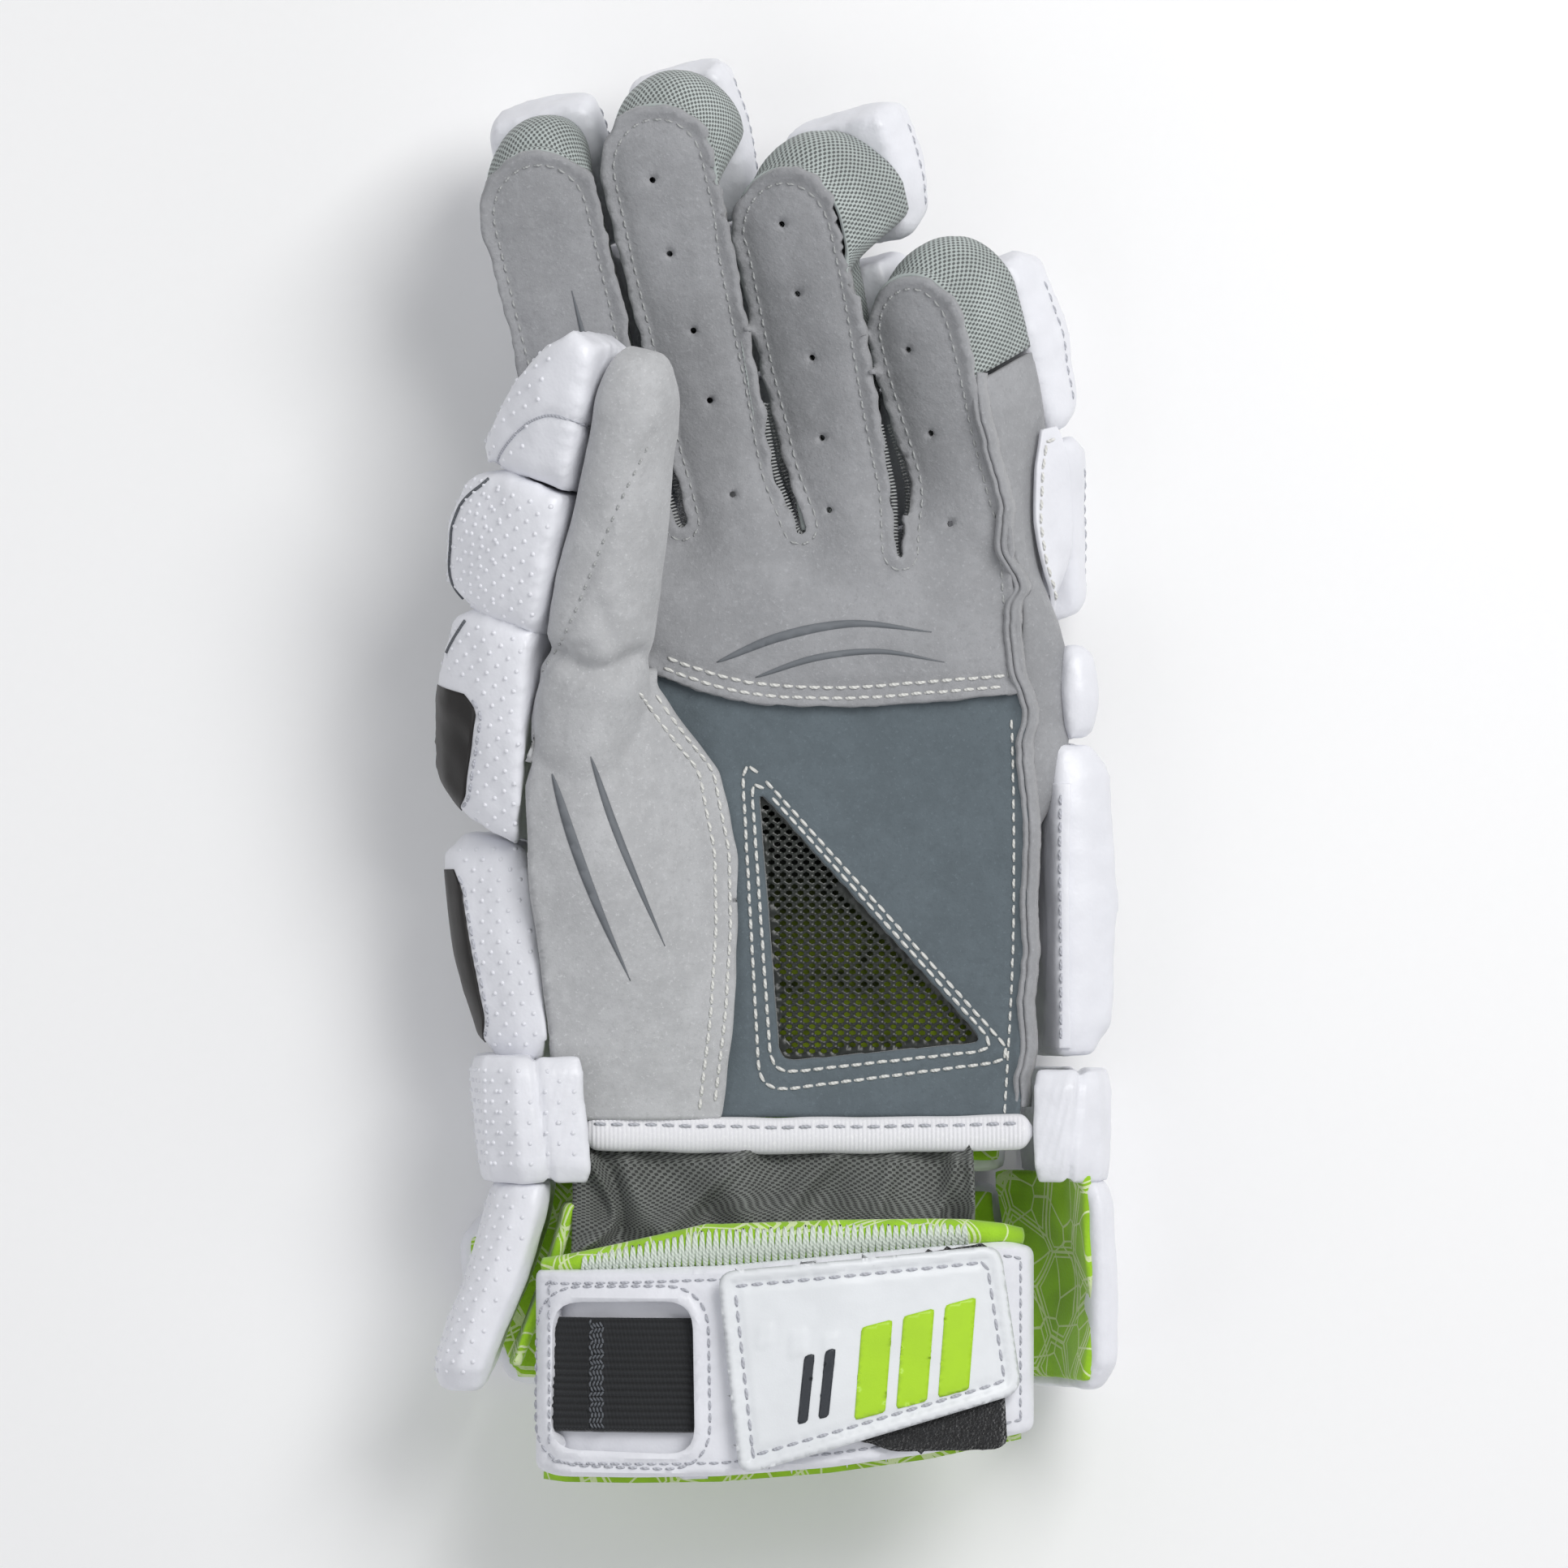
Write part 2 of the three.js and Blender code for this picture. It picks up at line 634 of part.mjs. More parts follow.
// A white leather guard sewn over that side, beside the little finger's lower pad
const GUARD = [
  { along: 19, upper: 0.78 },
  { along: 12, upper: 0.6 },
  { along: 0, upper: 0.42 },
  { along: -12, upper: 0.42 },
  { along: -19, upper: 0.6 },
];
function pinkyGuard() {
  return loft(
    GUARD.map(({ along, upper }) => {
      const at = (deep, inset) => sidePoint(along, deep, inset);
      const middle = (upper + 0.96) / 2;
      const [near, far] = [-3 * SEAM, -3 * SEAM - SUEDE];
      return [at(upper, near), at(upper, far), at(middle, far), at(0.96, far), at(0.96, near), at(middle, near)];
    }),
  );
}

// A foam pad in the axes of a finger or of an edge of the hand. Left and right are its half widths.
function pad(f, { from, to, left, right, thick, swell = PAD_SWELL }) {
  const rings = swell.map(({ at, width, height }) => {
    const along = mix(from, to, at);
    return PAD_SECTION.map(({ across, deep }) => {
      const reach = across < 0 ? left : right;
      const depth = roomAt(f, along) + SEAM + deep * thick * height;
      return inFrame(f, along, across * reach * width, depth);
    });
  });
  return loft(rings);
}

// The pads of the fingers and of the knuckles behind them. From and to are shares of the finger's length,
// left and right shares of its half width.
const FINGER_PADS = [
  { finger: "index", part: "tip", from: 0.66, to: 0.99, left: 1.02, right: 0.9 },
  { finger: "index", part: "middle", from: 0.345, to: 0.64, left: 1.0, right: 0.88 },
  { finger: "index", part: "base", from: 0.02, to: 0.325, left: 0.96, right: 0.84 },
  { finger: "middle", part: "tip", from: 0.66, to: 0.97, left: 0.94, right: 0.94 },
  { finger: "middle", part: "middle", from: 0.34, to: 0.64, left: 0.9, right: 0.8 },
  { finger: "middle", part: "base", from: 0.018, to: 0.325, left: 0.86, right: 0.74 },
  { finger: "ring", part: "tip", from: 0.69, to: 0.99, left: 0.82, right: 1.22 },
  { finger: "ring", part: "middle", from: 0.35, to: 0.65, left: 0.78, right: 0.6 },
  { finger: "ring", part: "base", from: 0.018, to: 0.335, left: 0.74, right: 0.6 },
  { finger: "pinky", part: "tip", from: 0.27, to: 0.85, left: 0.78, right: 1.2 },
  { finger: "pinky", part: "base", from: -0.36, to: 0.245, left: 0.76, right: 1.4 },
  { finger: "index", part: "knuckle", from: -0.36, to: 0.012, left: 0.9, right: 0.84 },
  { finger: "middle", part: "knuckle", from: -0.33, to: 0.011, left: 0.86, right: 0.74 },
  { finger: "ring", part: "knuckle", from: -0.391, to: 0.011, left: 0.7, right: 0.66 },
];

const EDGE_PADS = [
  { name: "thumb_pad_tip", line: THUMB, thick: 1.25 * THUMB_PAD, from: 46, to: 79, left: 13, right: 13 },
  { name: "thumb_pad_middle", line: THUMB, thick: 1.4 * THUMB_PAD, from: 13, to: 44, left: 14, right: 12.5 },
  { name: "thumb_pad_base", line: THUMB, thick: 1.3 * THUMB_PAD, from: -34, to: 11, left: 14, right: 14 },
  { name: "radial_pad", line: RADIAL_EDGE, thick: 1.35 * SIDE_PAD, from: 1.5, to: 47.5, left: 12, right: 17 },
  { name: "ulnar_pad_upper", line: ULNAR_UPPER, thick: 0.5 * SIDE_PAD, from: -46.4, to: -24, left: 12, right: 9 },
  { name: "ulnar_pad", line: ULNAR_EDGE, thick: SIDE_PAD, from: 6, to: 79, left: 13, right: 12 },
];

// A thin glossy inlay on the outer face of a pad, between two shares of the pad's length
const INLAYS = [
  { name: "thumb_inlay", on: "thumb_pad_base", from: 0.22, to: 0.78, offset: 0.4, thick: 1 },
  { name: "radial_inlay", on: "radial_pad", from: 0.2, to: 0.86, offset: 0.4, thick: 1 },
];
function inlay({ on, from, to, offset, thick }) {
  const host = EDGE_PADS.find(({ name }) => name === on);
  const f = host.line;
  const face = PAD_SECTION.slice(1, 4).concat({ across: -0.15, deep: 1 });
  const rings = [0, 0.15, 0.85, 1].map((share) => {
    const along = mix(mix(host.from, host.to, from), mix(host.from, host.to, to), share);
    const narrow = share === 0 || share === 1 ? 0.4 : 0;
    const at = ({ across, deep }, lift) => {
      const place = new THREE.Vector2(across * host.left, (deep - 0.5) * host.thick);
      place.setLength(place.length() + offset + lift);
      return inFrame(f, along, place.x, roomAt(f, along) + SEAM + host.thick / 2 + place.y);
    };
    const kept = face.map((p, i) => {
      if (i !== 0 && i !== face.length - 1) return p;
      const next = face[i === 0 ? 1 : i - 1];
      return { across: mix(p.across, next.across, narrow), deep: mix(p.deep, next.deep, narrow) };
    });
    return [...kept.map((p) => at(p, thick)), ...kept.toReversed().map((p) => at(p, 0))];
  });
  return loft(rings);
}

// The pads on the back of the hand lie flat on the floor. Across are shares of the palm's half width, down
// the places of the row's ends from the knuckle line, as shares of the palm's length.
const BACK_PADS = [
  { name: "back_pad_upper", left: -0.8, right: 0.96, top: 0.2585, bottom: 0.524 },
  { name: "back_pad_lower", left: -0.84, right: 0.96, top: 0.529, bottom: 0.854 },
  { name: "wrist_pad", left: -0.88, right: 0.94, top: 0.859, bottom: 1.1 },
];

function backPad({ left, right, top, bottom }) {
  const x0 = PALM_OFFSET + (left * PALM_WIDTH) / 2;
  const x1 = PALM_OFFSET + (right * PALM_WIDTH) / 2;
  const rings = PAD_SWELL.map(({ at, height: swell }) => {
    const y = mix(KNUCKLE_LINE - bottom * PALM_LENGTH, KNUCKLE_LINE - top * PALM_LENGTH, at);
    const height = at === 0 || at === 1 ? swell : 1;
    const centre = (x0 + x1) / 2;
    return PAD_SECTION.map(({ across, deep }) =>
      point(centre + (across * (x1 - x0)) / 2, y, BACK_PAD * (1 - deep * height)),
    );
  });
  return loft(rings);
}

// The lining over the pads of the back of the hand
function handLining() {
  const rows = [
    { up: -0.08, left: -0.84, right: 0.9 },
    { up: 0.3, left: -0.8, right: 0.92 },
    { up: 0.7, left: -0.76, right: 0.9 },
  ].map(({ up, left, right }) => {
    const y = HEM_Y + up * PALM_LENGTH;
    const x = (across) => PALM_OFFSET + (across * PALM_WIDTH) / 2;
    const z = BACK_PAD + SEAM + LINING;
    return [0, 0.25, 0.5, 0.75, 1].map((q) => point(mix(x(left), x(right), q), y, z));
  });
  return thicken(surface(rows), LINING);
}

// A closed section drawn in the XZ plane, drawn out along Y. Each row moves and narrows it.
function alongY(section, rows) {
  return loft(
    rows.map(({ y, dx = 0, dz = 0, squeeze = 1 }) => {
      const box = new THREE.Box2().setFromPoints(section.map(([x, z]) => new THREE.Vector2(x, z)));
      const middle = box.getCenter(new THREE.Vector2());
      return section.map(([x, z]) =>
        point(mix(middle.x, x, squeeze) + dx, y, mix(middle.y, z, squeeze) + dz),
      );
    }),
  );
}

// The ribbed tape that binds the palm's hem
function hemBinding() {
  const rings = [0, 0.03, 0.2, 0.4, 0.6, 0.8, 0.97, 1].map((share, i, all) => {
    const x = PALM_OFFSET + (mix(-0.77, 1.01, share) * PALM_WIDTH) / 2;
    const y = HEM_Y - SEAM - BINDING / 2;
    const z = palmHeight(x, HEM_Y) - 1;
    const end = i === 0 || i === all.length - 1 ? 0.7 : 1;
    return [[-1, -0.5], [-0.7, -1], [0.7, -1], [1, -0.5], [1, 0.5], [0.7, 1], [-0.7, 1], [-1, 0.5]].map(
      ([across, up]) => point(x, y + (across * end * BINDING) / 2, z + up * end * 2),
    );
  });
  return loft(rings);
}

// The padded blocks that clasp the two ends of the wrist
const LEFT_WRIST = [
  [-44, 53.6], [-44, 56], [-60, 57], [-68, 51], [-70.6, 40], [-70.6, 20], [-66, 8], [-60, 4], [-54, 5],
  [-56, 12], [-60, 22], [-60, 38], [-55, 47], [-52.4, 53.2],
];
const RIGHT_WRIST = [
  [61.5, 48], [61, 52], [70, 53], [76, 48], [79, 38], [79, 20], [74, 8], [66, 3.5], [58, 4],
  [60, 9], [67, 17], [69, 28], [68, 42],
];

// The sides and back of the cuff
const LEFT_CUFF = [
  [-49, 19], [-50.5, 34], [-50, 50], [-53, 55], [-60, 54.5], [-65, 50], [-67.5, 38], [-67, 24], [-63, 18],
];
const LEFT_LINING = [[-46.7, 21], [-47.6, 34], [-46.6, 47], [-49, 47.6], [-50.1, 34], [-48.7, 21]];
const RIGHT_CUFF = [
  [56, 14.8], [64, 24], [71, 36], [74.5, 50], [77, 52], [80, 48], [80, 34], [75, 16], [66, 3], [58, 1.5],
];
const RIGHT_LINING = [
  [52.8, 17], [61.5, 26], [68.6, 37], [72.2, 50], [74.1, 49.6], [70.4, 36.3], [63.2, 24.6], [55.2, 15.4],
];
const BACK_CUFF = [
  { across: -1.09, back: 15 },
  { across: -1.33, back: 30 },
  { across: -1.31, back: 41 },
  { across: -1.12, back: 63 },
  { across: -0.2, back: 68 },
  { across: 0.86, back: 64 },
  { across: 0.96, back: 36 },
  { across: 0.9, back: 17 },
];
const CUFF_TURNED = 3;
function backCuff(low, high, inset) {
  const middle = { x: PALM_OFFSET - 8, y: HEM_Y - 40 };
  const ring = (z, cut) =>
    BACK_CUFF.map(({ across, back }) => {
      const p = point(PALM_OFFSET + (across * PALM_WIDTH) / 2, HEM_Y - back, z);
      const q = point(middle.x, middle.y, z);
      return p.addScaledVector(q.sub(p).setLength(1), inset + cut);
    });
  const round = Math.min(CUFF_TURNED, (high - low) / 3);
  return loft([ring(low, round), ring(low + round, 0), ring(high - round, 0), ring(high, round)]);
}

// The band over the wrist: where its edges run and how high it arches, over shares of the palm's half width
const BAND = [
  { across: -1.0, top: 0, bottom: BAND_WIDTH - 9.5, z: 52 },
  { across: -0.97, top: 0, bottom: BAND_WIDTH - 8.5, z: 55 },
  { across: -0.88, top: 0, bottom: BAND_WIDTH - 8, z: 58 },
  { across: -0.6, top: -0.5, bottom: BAND_WIDTH - 8, z: 62 },
  { across: -0.25, top: -1.2, bottom: BAND_WIDTH - 8.4, z: 64 },
  { across: 0.2, top: -3.5, bottom: BAND_WIDTH - 10.5, z: 64.5 },
  { across: 0.6, top: -5.5, bottom: BAND_WIDTH - 13.5, z: 61.5 },
  { across: 0.9, top: -6.5, bottom: BAND_WIDTH - 17, z: 57.5 },
  { across: 1.0, top: -6, bottom: BAND_WIDTH - 18, z: 54.5 },
  { across: 1.03, top: -5, bottom: BAND_WIDTH - 18.5, z: 51.5 },
];
// How far the band's lining stands out above it
const LINING_ROLL = [
  { across: -1, out: 1 },
  { across: -0.75, out: 3.5 },
  { across: -0.3, out: 8.5 },
  { across: 0.2, out: 7 },
  { across: 0.75, out: 4.5 },
  { across: 1, out: 2 },
];
const BAND_TOP = HEM_Y - 35;
const bandAt = (x, column) => tableAt(BAND, "across", column, ((x - PALM_OFFSET) * 2) / PALM_WIDTH);

// A sheet under the band's surface, from one share of the palm's half width to another
function bandSheet({ from, to, upper, lower, sunk, thick, rows = 4 }) {
  const places = BAND.map(({ across }) => across).filter((across) => across > from && across < to);
  const columns = [from, ...places, to].map((across) => PALM_OFFSET + (across * PALM_WIDTH) / 2);
  const grid = [];
  for (let i = 0; i <= rows; i++) {
    grid.push(
      columns.map((x) => {
        const y = mix(lower(x), upper(x), i / rows);
        return point(x, y, bandAt(x, "z"));
      }),
    );
  }
  return thicken(surface(grid), thick, sunk);
}
const bandUpper = (x) => BAND_TOP - bandAt(x, "top");
const bandLower = (x) => BAND_TOP - bandAt(x, "bottom");

// A prism in plan through points of the palm's shares and millimetres below the hem
function planPrism(corners) {
  const shape = new THREE.Shape(
    corners.map(({ across, back }) => new THREE.Vector2(PALM_OFFSET + (across * PALM_WIDTH) / 2, HEM_Y - back)),
  );
  return prism(shape, 1);
}
const BAND_WINDOW = [
  { across: -0.91, back: 46.5 },
  { across: -0.86, back: 43 },
  { across: -0.42, back: 42 },
  { across: -0.37, back: 45 },
  { across: -0.36, back: 74 },
  { across: -0.41, back: 77.5 },
  { across: -0.88, back: 76.5 },
  { across: -0.93, back: 73.5 },
];
const TAB_OUTLINE = [
  { across: -0.25, back: 36.5 },
  { across: -0.22, back: 35.2 },
  { across: 0.87, back: 29.2 },
  { across: 0.905, back: 31 },
  { across: 0.975, back: 57 },
  { across: 0.97, back: 61.5 },
  { across: 0.94, back: 63.5 },
  { across: -0.15, back: 82 },
  { across: -0.19, back: 80.5 },
];
const LOOP_OUTLINE = [
  { across: -0.12, back: 37 },
  { across: 0.84, back: 28.6 },
  { across: 0.88, back: 34 },
  { across: 0.92, back: 75 },
  { across: 0.88, back: 76.5 },
  { across: 0.45, back: 76.8 },
  { across: 0.35, back: 74.5 },
  { across: -0.06, back: 70 },
];
function wristBand() {
  const whole = bandSheet({
    from: -1, to: 1.03, upper: bandUpper, lower: bandLower, sunk: 0, thick: BAND_PAD,
  });
  return geometryOf(solidOf(whole).subtract(planPrism(BAND_WINDOW)));
}
function onBand(outline, sunk, thick) {
  const sheet = bandSheet({
    from: -0.3, to: 1, upper: () => HEM_Y - 20, lower: () => HEM_Y - 90, sunk, thick,
  });
  return geometryOf(solidOf(sheet).intersect(planPrism(outline)));
}

// The mesh between the hem and the band, gathered into folds
function meshGore() {
  const rows = [0, 0.16, 0.34, 0.52, 0.7, 0.86, 1].map((up) => {
    const y = mix(HEM_Y - 36, HEM_Y - 4.5, up);
    const columns = [];
    for (let i = 0; i <= 16; i++) {
      const x = PALM_OFFSET + (mix(-0.86, 0.78, i / 16) * PALM_WIDTH) / 2;
      const fold = 1.1 * Math.cos(i * 2.4 + up) * Math.sin(Math.PI * up);
      const hem = palmHeight(x, HEM_Y) - 4;
      const band = bandAt(x, "z") - BAND_PAD - WEB - LINING - 4 * SEAM - 0.3;
      columns.push(point(x, y, mix(band, hem, up) - 2.5 * Math.sin(Math.PI * up) + fold));
    }
    return columns;
  });
  return thicken(surface(rows), MESH);
}

add("palm_front", palmFront(), greySuede);
add("thumb_suede", thumbSuede(), greySuede);
add("palm_patch", palmPatch(), slateSuede);
add("vent_net", ventNet(), blackMesh);
const WALL_START = { index: [-4, 12], middle: [5, 15], ring: [5, 14], pinky: [6, 0.57 * FINGERS.pinky.length] };
for (const [name, f] of Object.entries(FINGERS)) {
  add(`${name}_gusset`, gusset(f, WALL_LEAN[name], ...WALL_START[name]), greyMesh);
}
add("ulnar_side", ulnarSide(), greySuede);
add("pinky_guard", pinkyGuard(), whiteLeather);
for (const { finger, part, from, to, left, right } of FINGER_PADS) {
  const f = FINGERS[finger];
  const place = { from: from * f.length, to: to * f.length, left: left * f.half, right: right * f.half };
  add(`${finger}_pad_${part}`, pad(f, { ...place, thick: FINGER_PAD }), whiteLeather);
}
for (const { name, line, ...place } of EDGE_PADS) add(name, pad(line, place), whiteLeather);
for (const piece of INLAYS) add(piece.name, inlay(piece), blackGloss);
for (const row of BACK_PADS) add(row.name, backPad(row), whiteLeather);
add("hand_lining", handLining(), limeLining);

const wristRows = (top, bottom, shift) => [
  { y: bottom, squeeze: 0.93, dx: shift },
  { y: bottom + 4, dx: shift },
  { y: mix(bottom, top, 0.5), dx: shift / 2 },
  { y: top - 4 },
  { y: top, squeeze: 0.93 },
];
add("wrist_block_left", alongY(LEFT_WRIST, wristRows(HEM_Y + 14.5, HEM_Y - 15, 2)), whiteLeather);
add("wrist_block_right", alongY(RIGHT_WRIST, wristRows(HEM_Y + 11, HEM_Y - 15, 0)), whiteLeather);
add("hem_binding", hemBinding(), whiteWebbing);
const flapRows = [
  { y: HEM_Y - 63, dx: -9, squeeze: 0.7 },
  { y: HEM_Y - 58, dx: -9, squeeze: 0.94 },
  { y: HEM_Y - 38, dx: -4.6 },
  { y: HEM_Y - 20, dx: -2 },
  { y: HEM_Y - 15.4, dx: -1, squeeze: 0.94 },
];
add("cuff_left", alongY(LEFT_CUFF, flapRows), whiteLeather);
add("cuff_lining_left", alongY(LEFT_LINING, flapRows.slice(1, 4)), limeLining);
const sideRows = [
  { y: HEM_Y - 63, squeeze: 0.85, dx: -2 },
  { y: HEM_Y - 57 },
  { y: HEM_Y - 36 },
  { y: HEM_Y - 20, dx: -1 },
  { y: HEM_Y - 15.5, dx: -2, squeeze: 0.95 },
];
add("cuff_right", alongY(RIGHT_CUFF, sideRows), whiteLeather);
add("cuff_lining_right", alongY(RIGHT_LINING, sideRows.slice(1, 4)), limeLining);
add("cuff_back", backCuff(0, CUFF_PAD, 0), whiteLeather);
add("cuff_lining_back", backCuff(CUFF_PAD + SEAM, CUFF_PAD + SEAM + LINING, 2), limeLining);
add("mesh_gore", meshGore(), greyMesh);
add("wrist_band", wristBand(), whiteLeather);
add(
  "band_lining",
  bandSheet({
    from: -0.97,
    to: 0.98,
    upper: (x) => bandUpper(x) + tableAt(LINING_ROLL, "across", "out", ((x - PALM_OFFSET) * 2) / PALM_WIDTH),
    lower: (x) => bandLower(x) - 1.5,
    sunk: BAND_PAD + WEB + 2 * SEAM,
    thick: LINING,
  }),
  limeLining,
);
add(
  "elastic_web",
  bandSheet({
    from: -0.965,
    to: -0.32,
    upper: () => HEM_Y - 46,
    lower: () => HEM_Y - 72,
    sunk: BAND_PAD + SEAM,
    thick: WEB,
    rows: 2,
  }),
  blackWebbing,
);
add("loop_patch", onBand(LOOP_OUTLINE, -LOOP - SEAM, LOOP), blackWebbing);
add("strap_tab", onBand(TAB_OUTLINE, -LOOP - 2 * SEAM - TAB, TAB), whiteRubber);

export default glove;
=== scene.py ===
"""A padded left-hand lacrosse glove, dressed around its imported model.

Lengths are in millimetres and angles in degrees until a mesh is made, which is in metres. +X points to the
little finger, +Y to the fingertips and +Z out of the palm, as in the model.
"""

from __future__ import annotations

import logging
import math
from dataclasses import dataclass, field
from enum import Enum
from typing import Iterable, Sequence

import bmesh
import bpy
import numpy as np
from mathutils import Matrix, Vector, kdtree, noise
from mathutils.bvhtree import BVHTree
from mathutils.geometry import delaunay_2d_cdt

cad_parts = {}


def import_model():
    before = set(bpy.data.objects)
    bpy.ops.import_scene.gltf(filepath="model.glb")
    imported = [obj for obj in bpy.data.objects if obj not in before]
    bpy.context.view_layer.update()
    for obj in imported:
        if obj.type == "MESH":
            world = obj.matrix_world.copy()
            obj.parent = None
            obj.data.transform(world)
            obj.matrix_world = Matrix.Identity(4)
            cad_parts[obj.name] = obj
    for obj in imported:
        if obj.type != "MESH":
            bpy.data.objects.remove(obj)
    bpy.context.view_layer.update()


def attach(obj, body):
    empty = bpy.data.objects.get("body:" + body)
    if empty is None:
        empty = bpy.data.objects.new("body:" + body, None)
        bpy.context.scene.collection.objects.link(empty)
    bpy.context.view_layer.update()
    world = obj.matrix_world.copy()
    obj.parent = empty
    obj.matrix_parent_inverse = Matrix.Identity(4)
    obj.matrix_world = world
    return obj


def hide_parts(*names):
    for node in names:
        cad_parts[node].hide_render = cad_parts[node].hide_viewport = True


LOG = logging.getLogger("glove")
MM = 0.001
BODY = "root"
UP = np.array([0.0, 0.0, 1.0])

# Thicknesses of the materials, and the palm's and the foam's sizes
SUEDE = 1.4
MESH = 1.2
LINING = 2.0
SEAM = 0.3
PALM_WIDTH = 114.0
PALM_LENGTH = 134.0
PALM_OFFSET = 2.0
HEM_Y = -82.0
KNUCKLE_LINE = HEM_Y + PALM_LENGTH
PALM_CUP = 6.0
THENAR_RISE = 17.0
THENAR_WIDTH = 62.0
BACK_PAD = 20.0
FINGER_PAD = 18.0
THUMB_PAD = 18.0
SIDE_PAD = 15.0
FINGER_ROOM = 25.0
THUMB_ROOM = 20.0
PALM_TOP = BACK_PAD + 29.0 + SUEDE
KNUCKLE_TOP = BACK_PAD + FINGER_ROOM + 3.5
ROLL_AT_BASE = 0.3
BAND_WIDTH = 56.0
BAND_PAD = 4.0
TAB = 3.0
LOOP = 1.2
WEB = 1.4
BINDING = 7.6
BAND_TOP = HEM_Y - 35.0
PANEL_INSET = 1.0
WALL_SWELL = 0.8

# How far apart the points of a thread's line are, how high above the glove rays start, and the length in
# millimetres of one unit of a UV map
THREAD_STEP = 0.8
RAY_HEIGHT = 150.0
UV_MM = 100.0

Points = np.ndarray
Faces = list[tuple[int, ...]]
Piece = bpy.types.Object


# Small maths


def mix(a: float | Points, b: float | Points, share: float | Points) -> float | Points:
    """Returns the value that lies that share of the way from a to b."""
    return a + (b - a) * share


def smooth(start: float, end: float, value: float | Points) -> float | Points:
    """Returns 0 before start and 1 after end, with a soft step between them."""
    share = np.clip((np.asarray(value, float) - start) / (end - start), 0.0, 1.0)
    return share * share * (3 - 2 * share)


def table_at(rows: Sequence[tuple[float, float]], place: float | Points) -> float | Points:
    """Returns the value of a table of (place, value) rows at a place, between its rows."""
    ordered = sorted(rows)
    return np.interp(place, [row[0] for row in ordered], [row[1] for row in ordered])


def bell(away: float | Points, width: float) -> float | Points:
    """Returns 1 at no distance away, and less and less beyond that width."""
    return np.exp(-((away / width) ** 2))


def quarter(share: float | Points) -> float | Points:
    """Returns how far a round edge of depth one has sunk, at a share of its width from its rim."""
    return 1 - np.sqrt(1 - (1 - np.clip(share, 0, 1)) ** 2)


def unit(ways: Points) -> Points:
    """Returns directions with a length of one."""
    return ways / np.linalg.norm(ways, axis=-1, keepdims=True)


def eased(rows: Points, times: int) -> Points:
    """Returns rows of values evened out with their neighbours, with the first and the last row kept."""
    rows = rows.copy()
    for _ in range(times):
        rows[1:-1] = (rows[:-2] + 2 * rows[1:-1] + rows[2:]) / 4
    return rows


def along_palm(across: float, up: float) -> tuple[float, float]:
    """Returns the place of shares of the palm: across its half width from its middle, up from the hem."""
    return PALM_OFFSET + across * PALM_WIDTH / 2, HEM_Y + up * PALM_LENGTH


def resample(line: Points, step: float, closed: bool = False) -> Points:
    """Spaces points evenly along a line.

    Args:
        line: the points of the line, in two or three dimensions.
        step: how far apart the new points are.
        closed: whether the line runs back to its first point.

    Returns:
        The new points. A closed line doesn't repeat its first one.
    """
    line = np.asarray(line, float)
    if closed:
        line = np.vstack([line, line[:1]])
    lengths = np.concatenate([[0], np.cumsum(np.linalg.norm(np.diff(line, axis=0), axis=1))])
    count = max(3, round(lengths[-1] / step))
    places = np.linspace(0, lengths[-1], count + 1)
    if closed:
        places = places[:-1]
    return np.stack([np.interp(places, lengths, line[:, i]) for i in range(line.shape[1])], -1)


def curved(points: Sequence[Sequence[float]], step: float, closed: bool = False) -> Points:
    """Draws a smooth curve through points.

    Args:
        points: the points it passes, in two or three dimensions.
        step: how far apart the curve's own points are.
        closed: whether it runs back to its first point.

    Returns:
        The curve's points, evenly spaced.
    """
    p = np.asarray(points, float)
    if closed:
        p = np.vstack([p[-1:], p, p[:2]])
    else:
        p = np.vstack([2 * p[0] - p[1], p, 2 * p[-1] - p[-2]])
    t = np.linspace(0, 1, 12, endpoint=False)[:, None]
    parts = []
    for a, b, c, d in zip(p[:-3], p[1:-2], p[2:-1], p[3:]):
        parts.append(
            0.5 * (2 * b + (c - a) * t + (2 * a - 5 * b + 4 * c - d) * t**2 + (3 * b - a - 3 * c + d) * t**3)
        )
    if not closed:
        parts.append(p[-2][None])
    return resample(np.vstack(parts), step, closed)


def within(points: Points, loops: Iterable[Points]) -> np.ndarray:
    """Returns which points lie inside the loops, taken together by the even-odd rule."""
    inside = np.zeros(len(points), bool)
    for loop in loops:
        a, b = loop, np.roll(loop, -1, axis=0)
        for start in range(0, len(points), 4000):
            p = points[start : start + 4000]
            x, y = p[:, :1], p[:, 1:2]
            crosses = (a[:, 1] > y) != (b[:, 1] > y)
            rise = np.where(np.abs(b[:, 1] - a[:, 1]) < 1e-12, 1e-12, b[:, 1] - a[:, 1])
            at = a[:, 0] + (y - a[:, 1]) / rise * (b[:, 0] - a[:, 0])
            hits = (crosses & (x < at)).sum(1)
            inside[start : start + 4000] ^= hits % 2 == 1
    return inside


def distance(points: Points, line: Points) -> np.ndarray:
    """Returns how far each point lies from the nearest point of a line."""
    tree = kdtree.KDTree(len(line))
    for i, p in enumerate(line):
        tree.insert((*p[:2], 0.0), i)
    tree.balance()
    return np.array([tree.find((p[0], p[1], 0.0))[2] for p in points])


def rough(points: Points, size: float, seed: float = 0.0) -> np.ndarray:
    """Returns a soft noise between about -1 and 1 at each point, with lumps of about that size."""
    p = np.asarray(points, float) / size
    flat = p if p.shape[1] == 3 else np.column_stack([p, np.zeros(len(p))])
    return np.array([noise.noise(Vector(q) + Vector((seed, seed * 0.7, 0.3))) for q in flat])


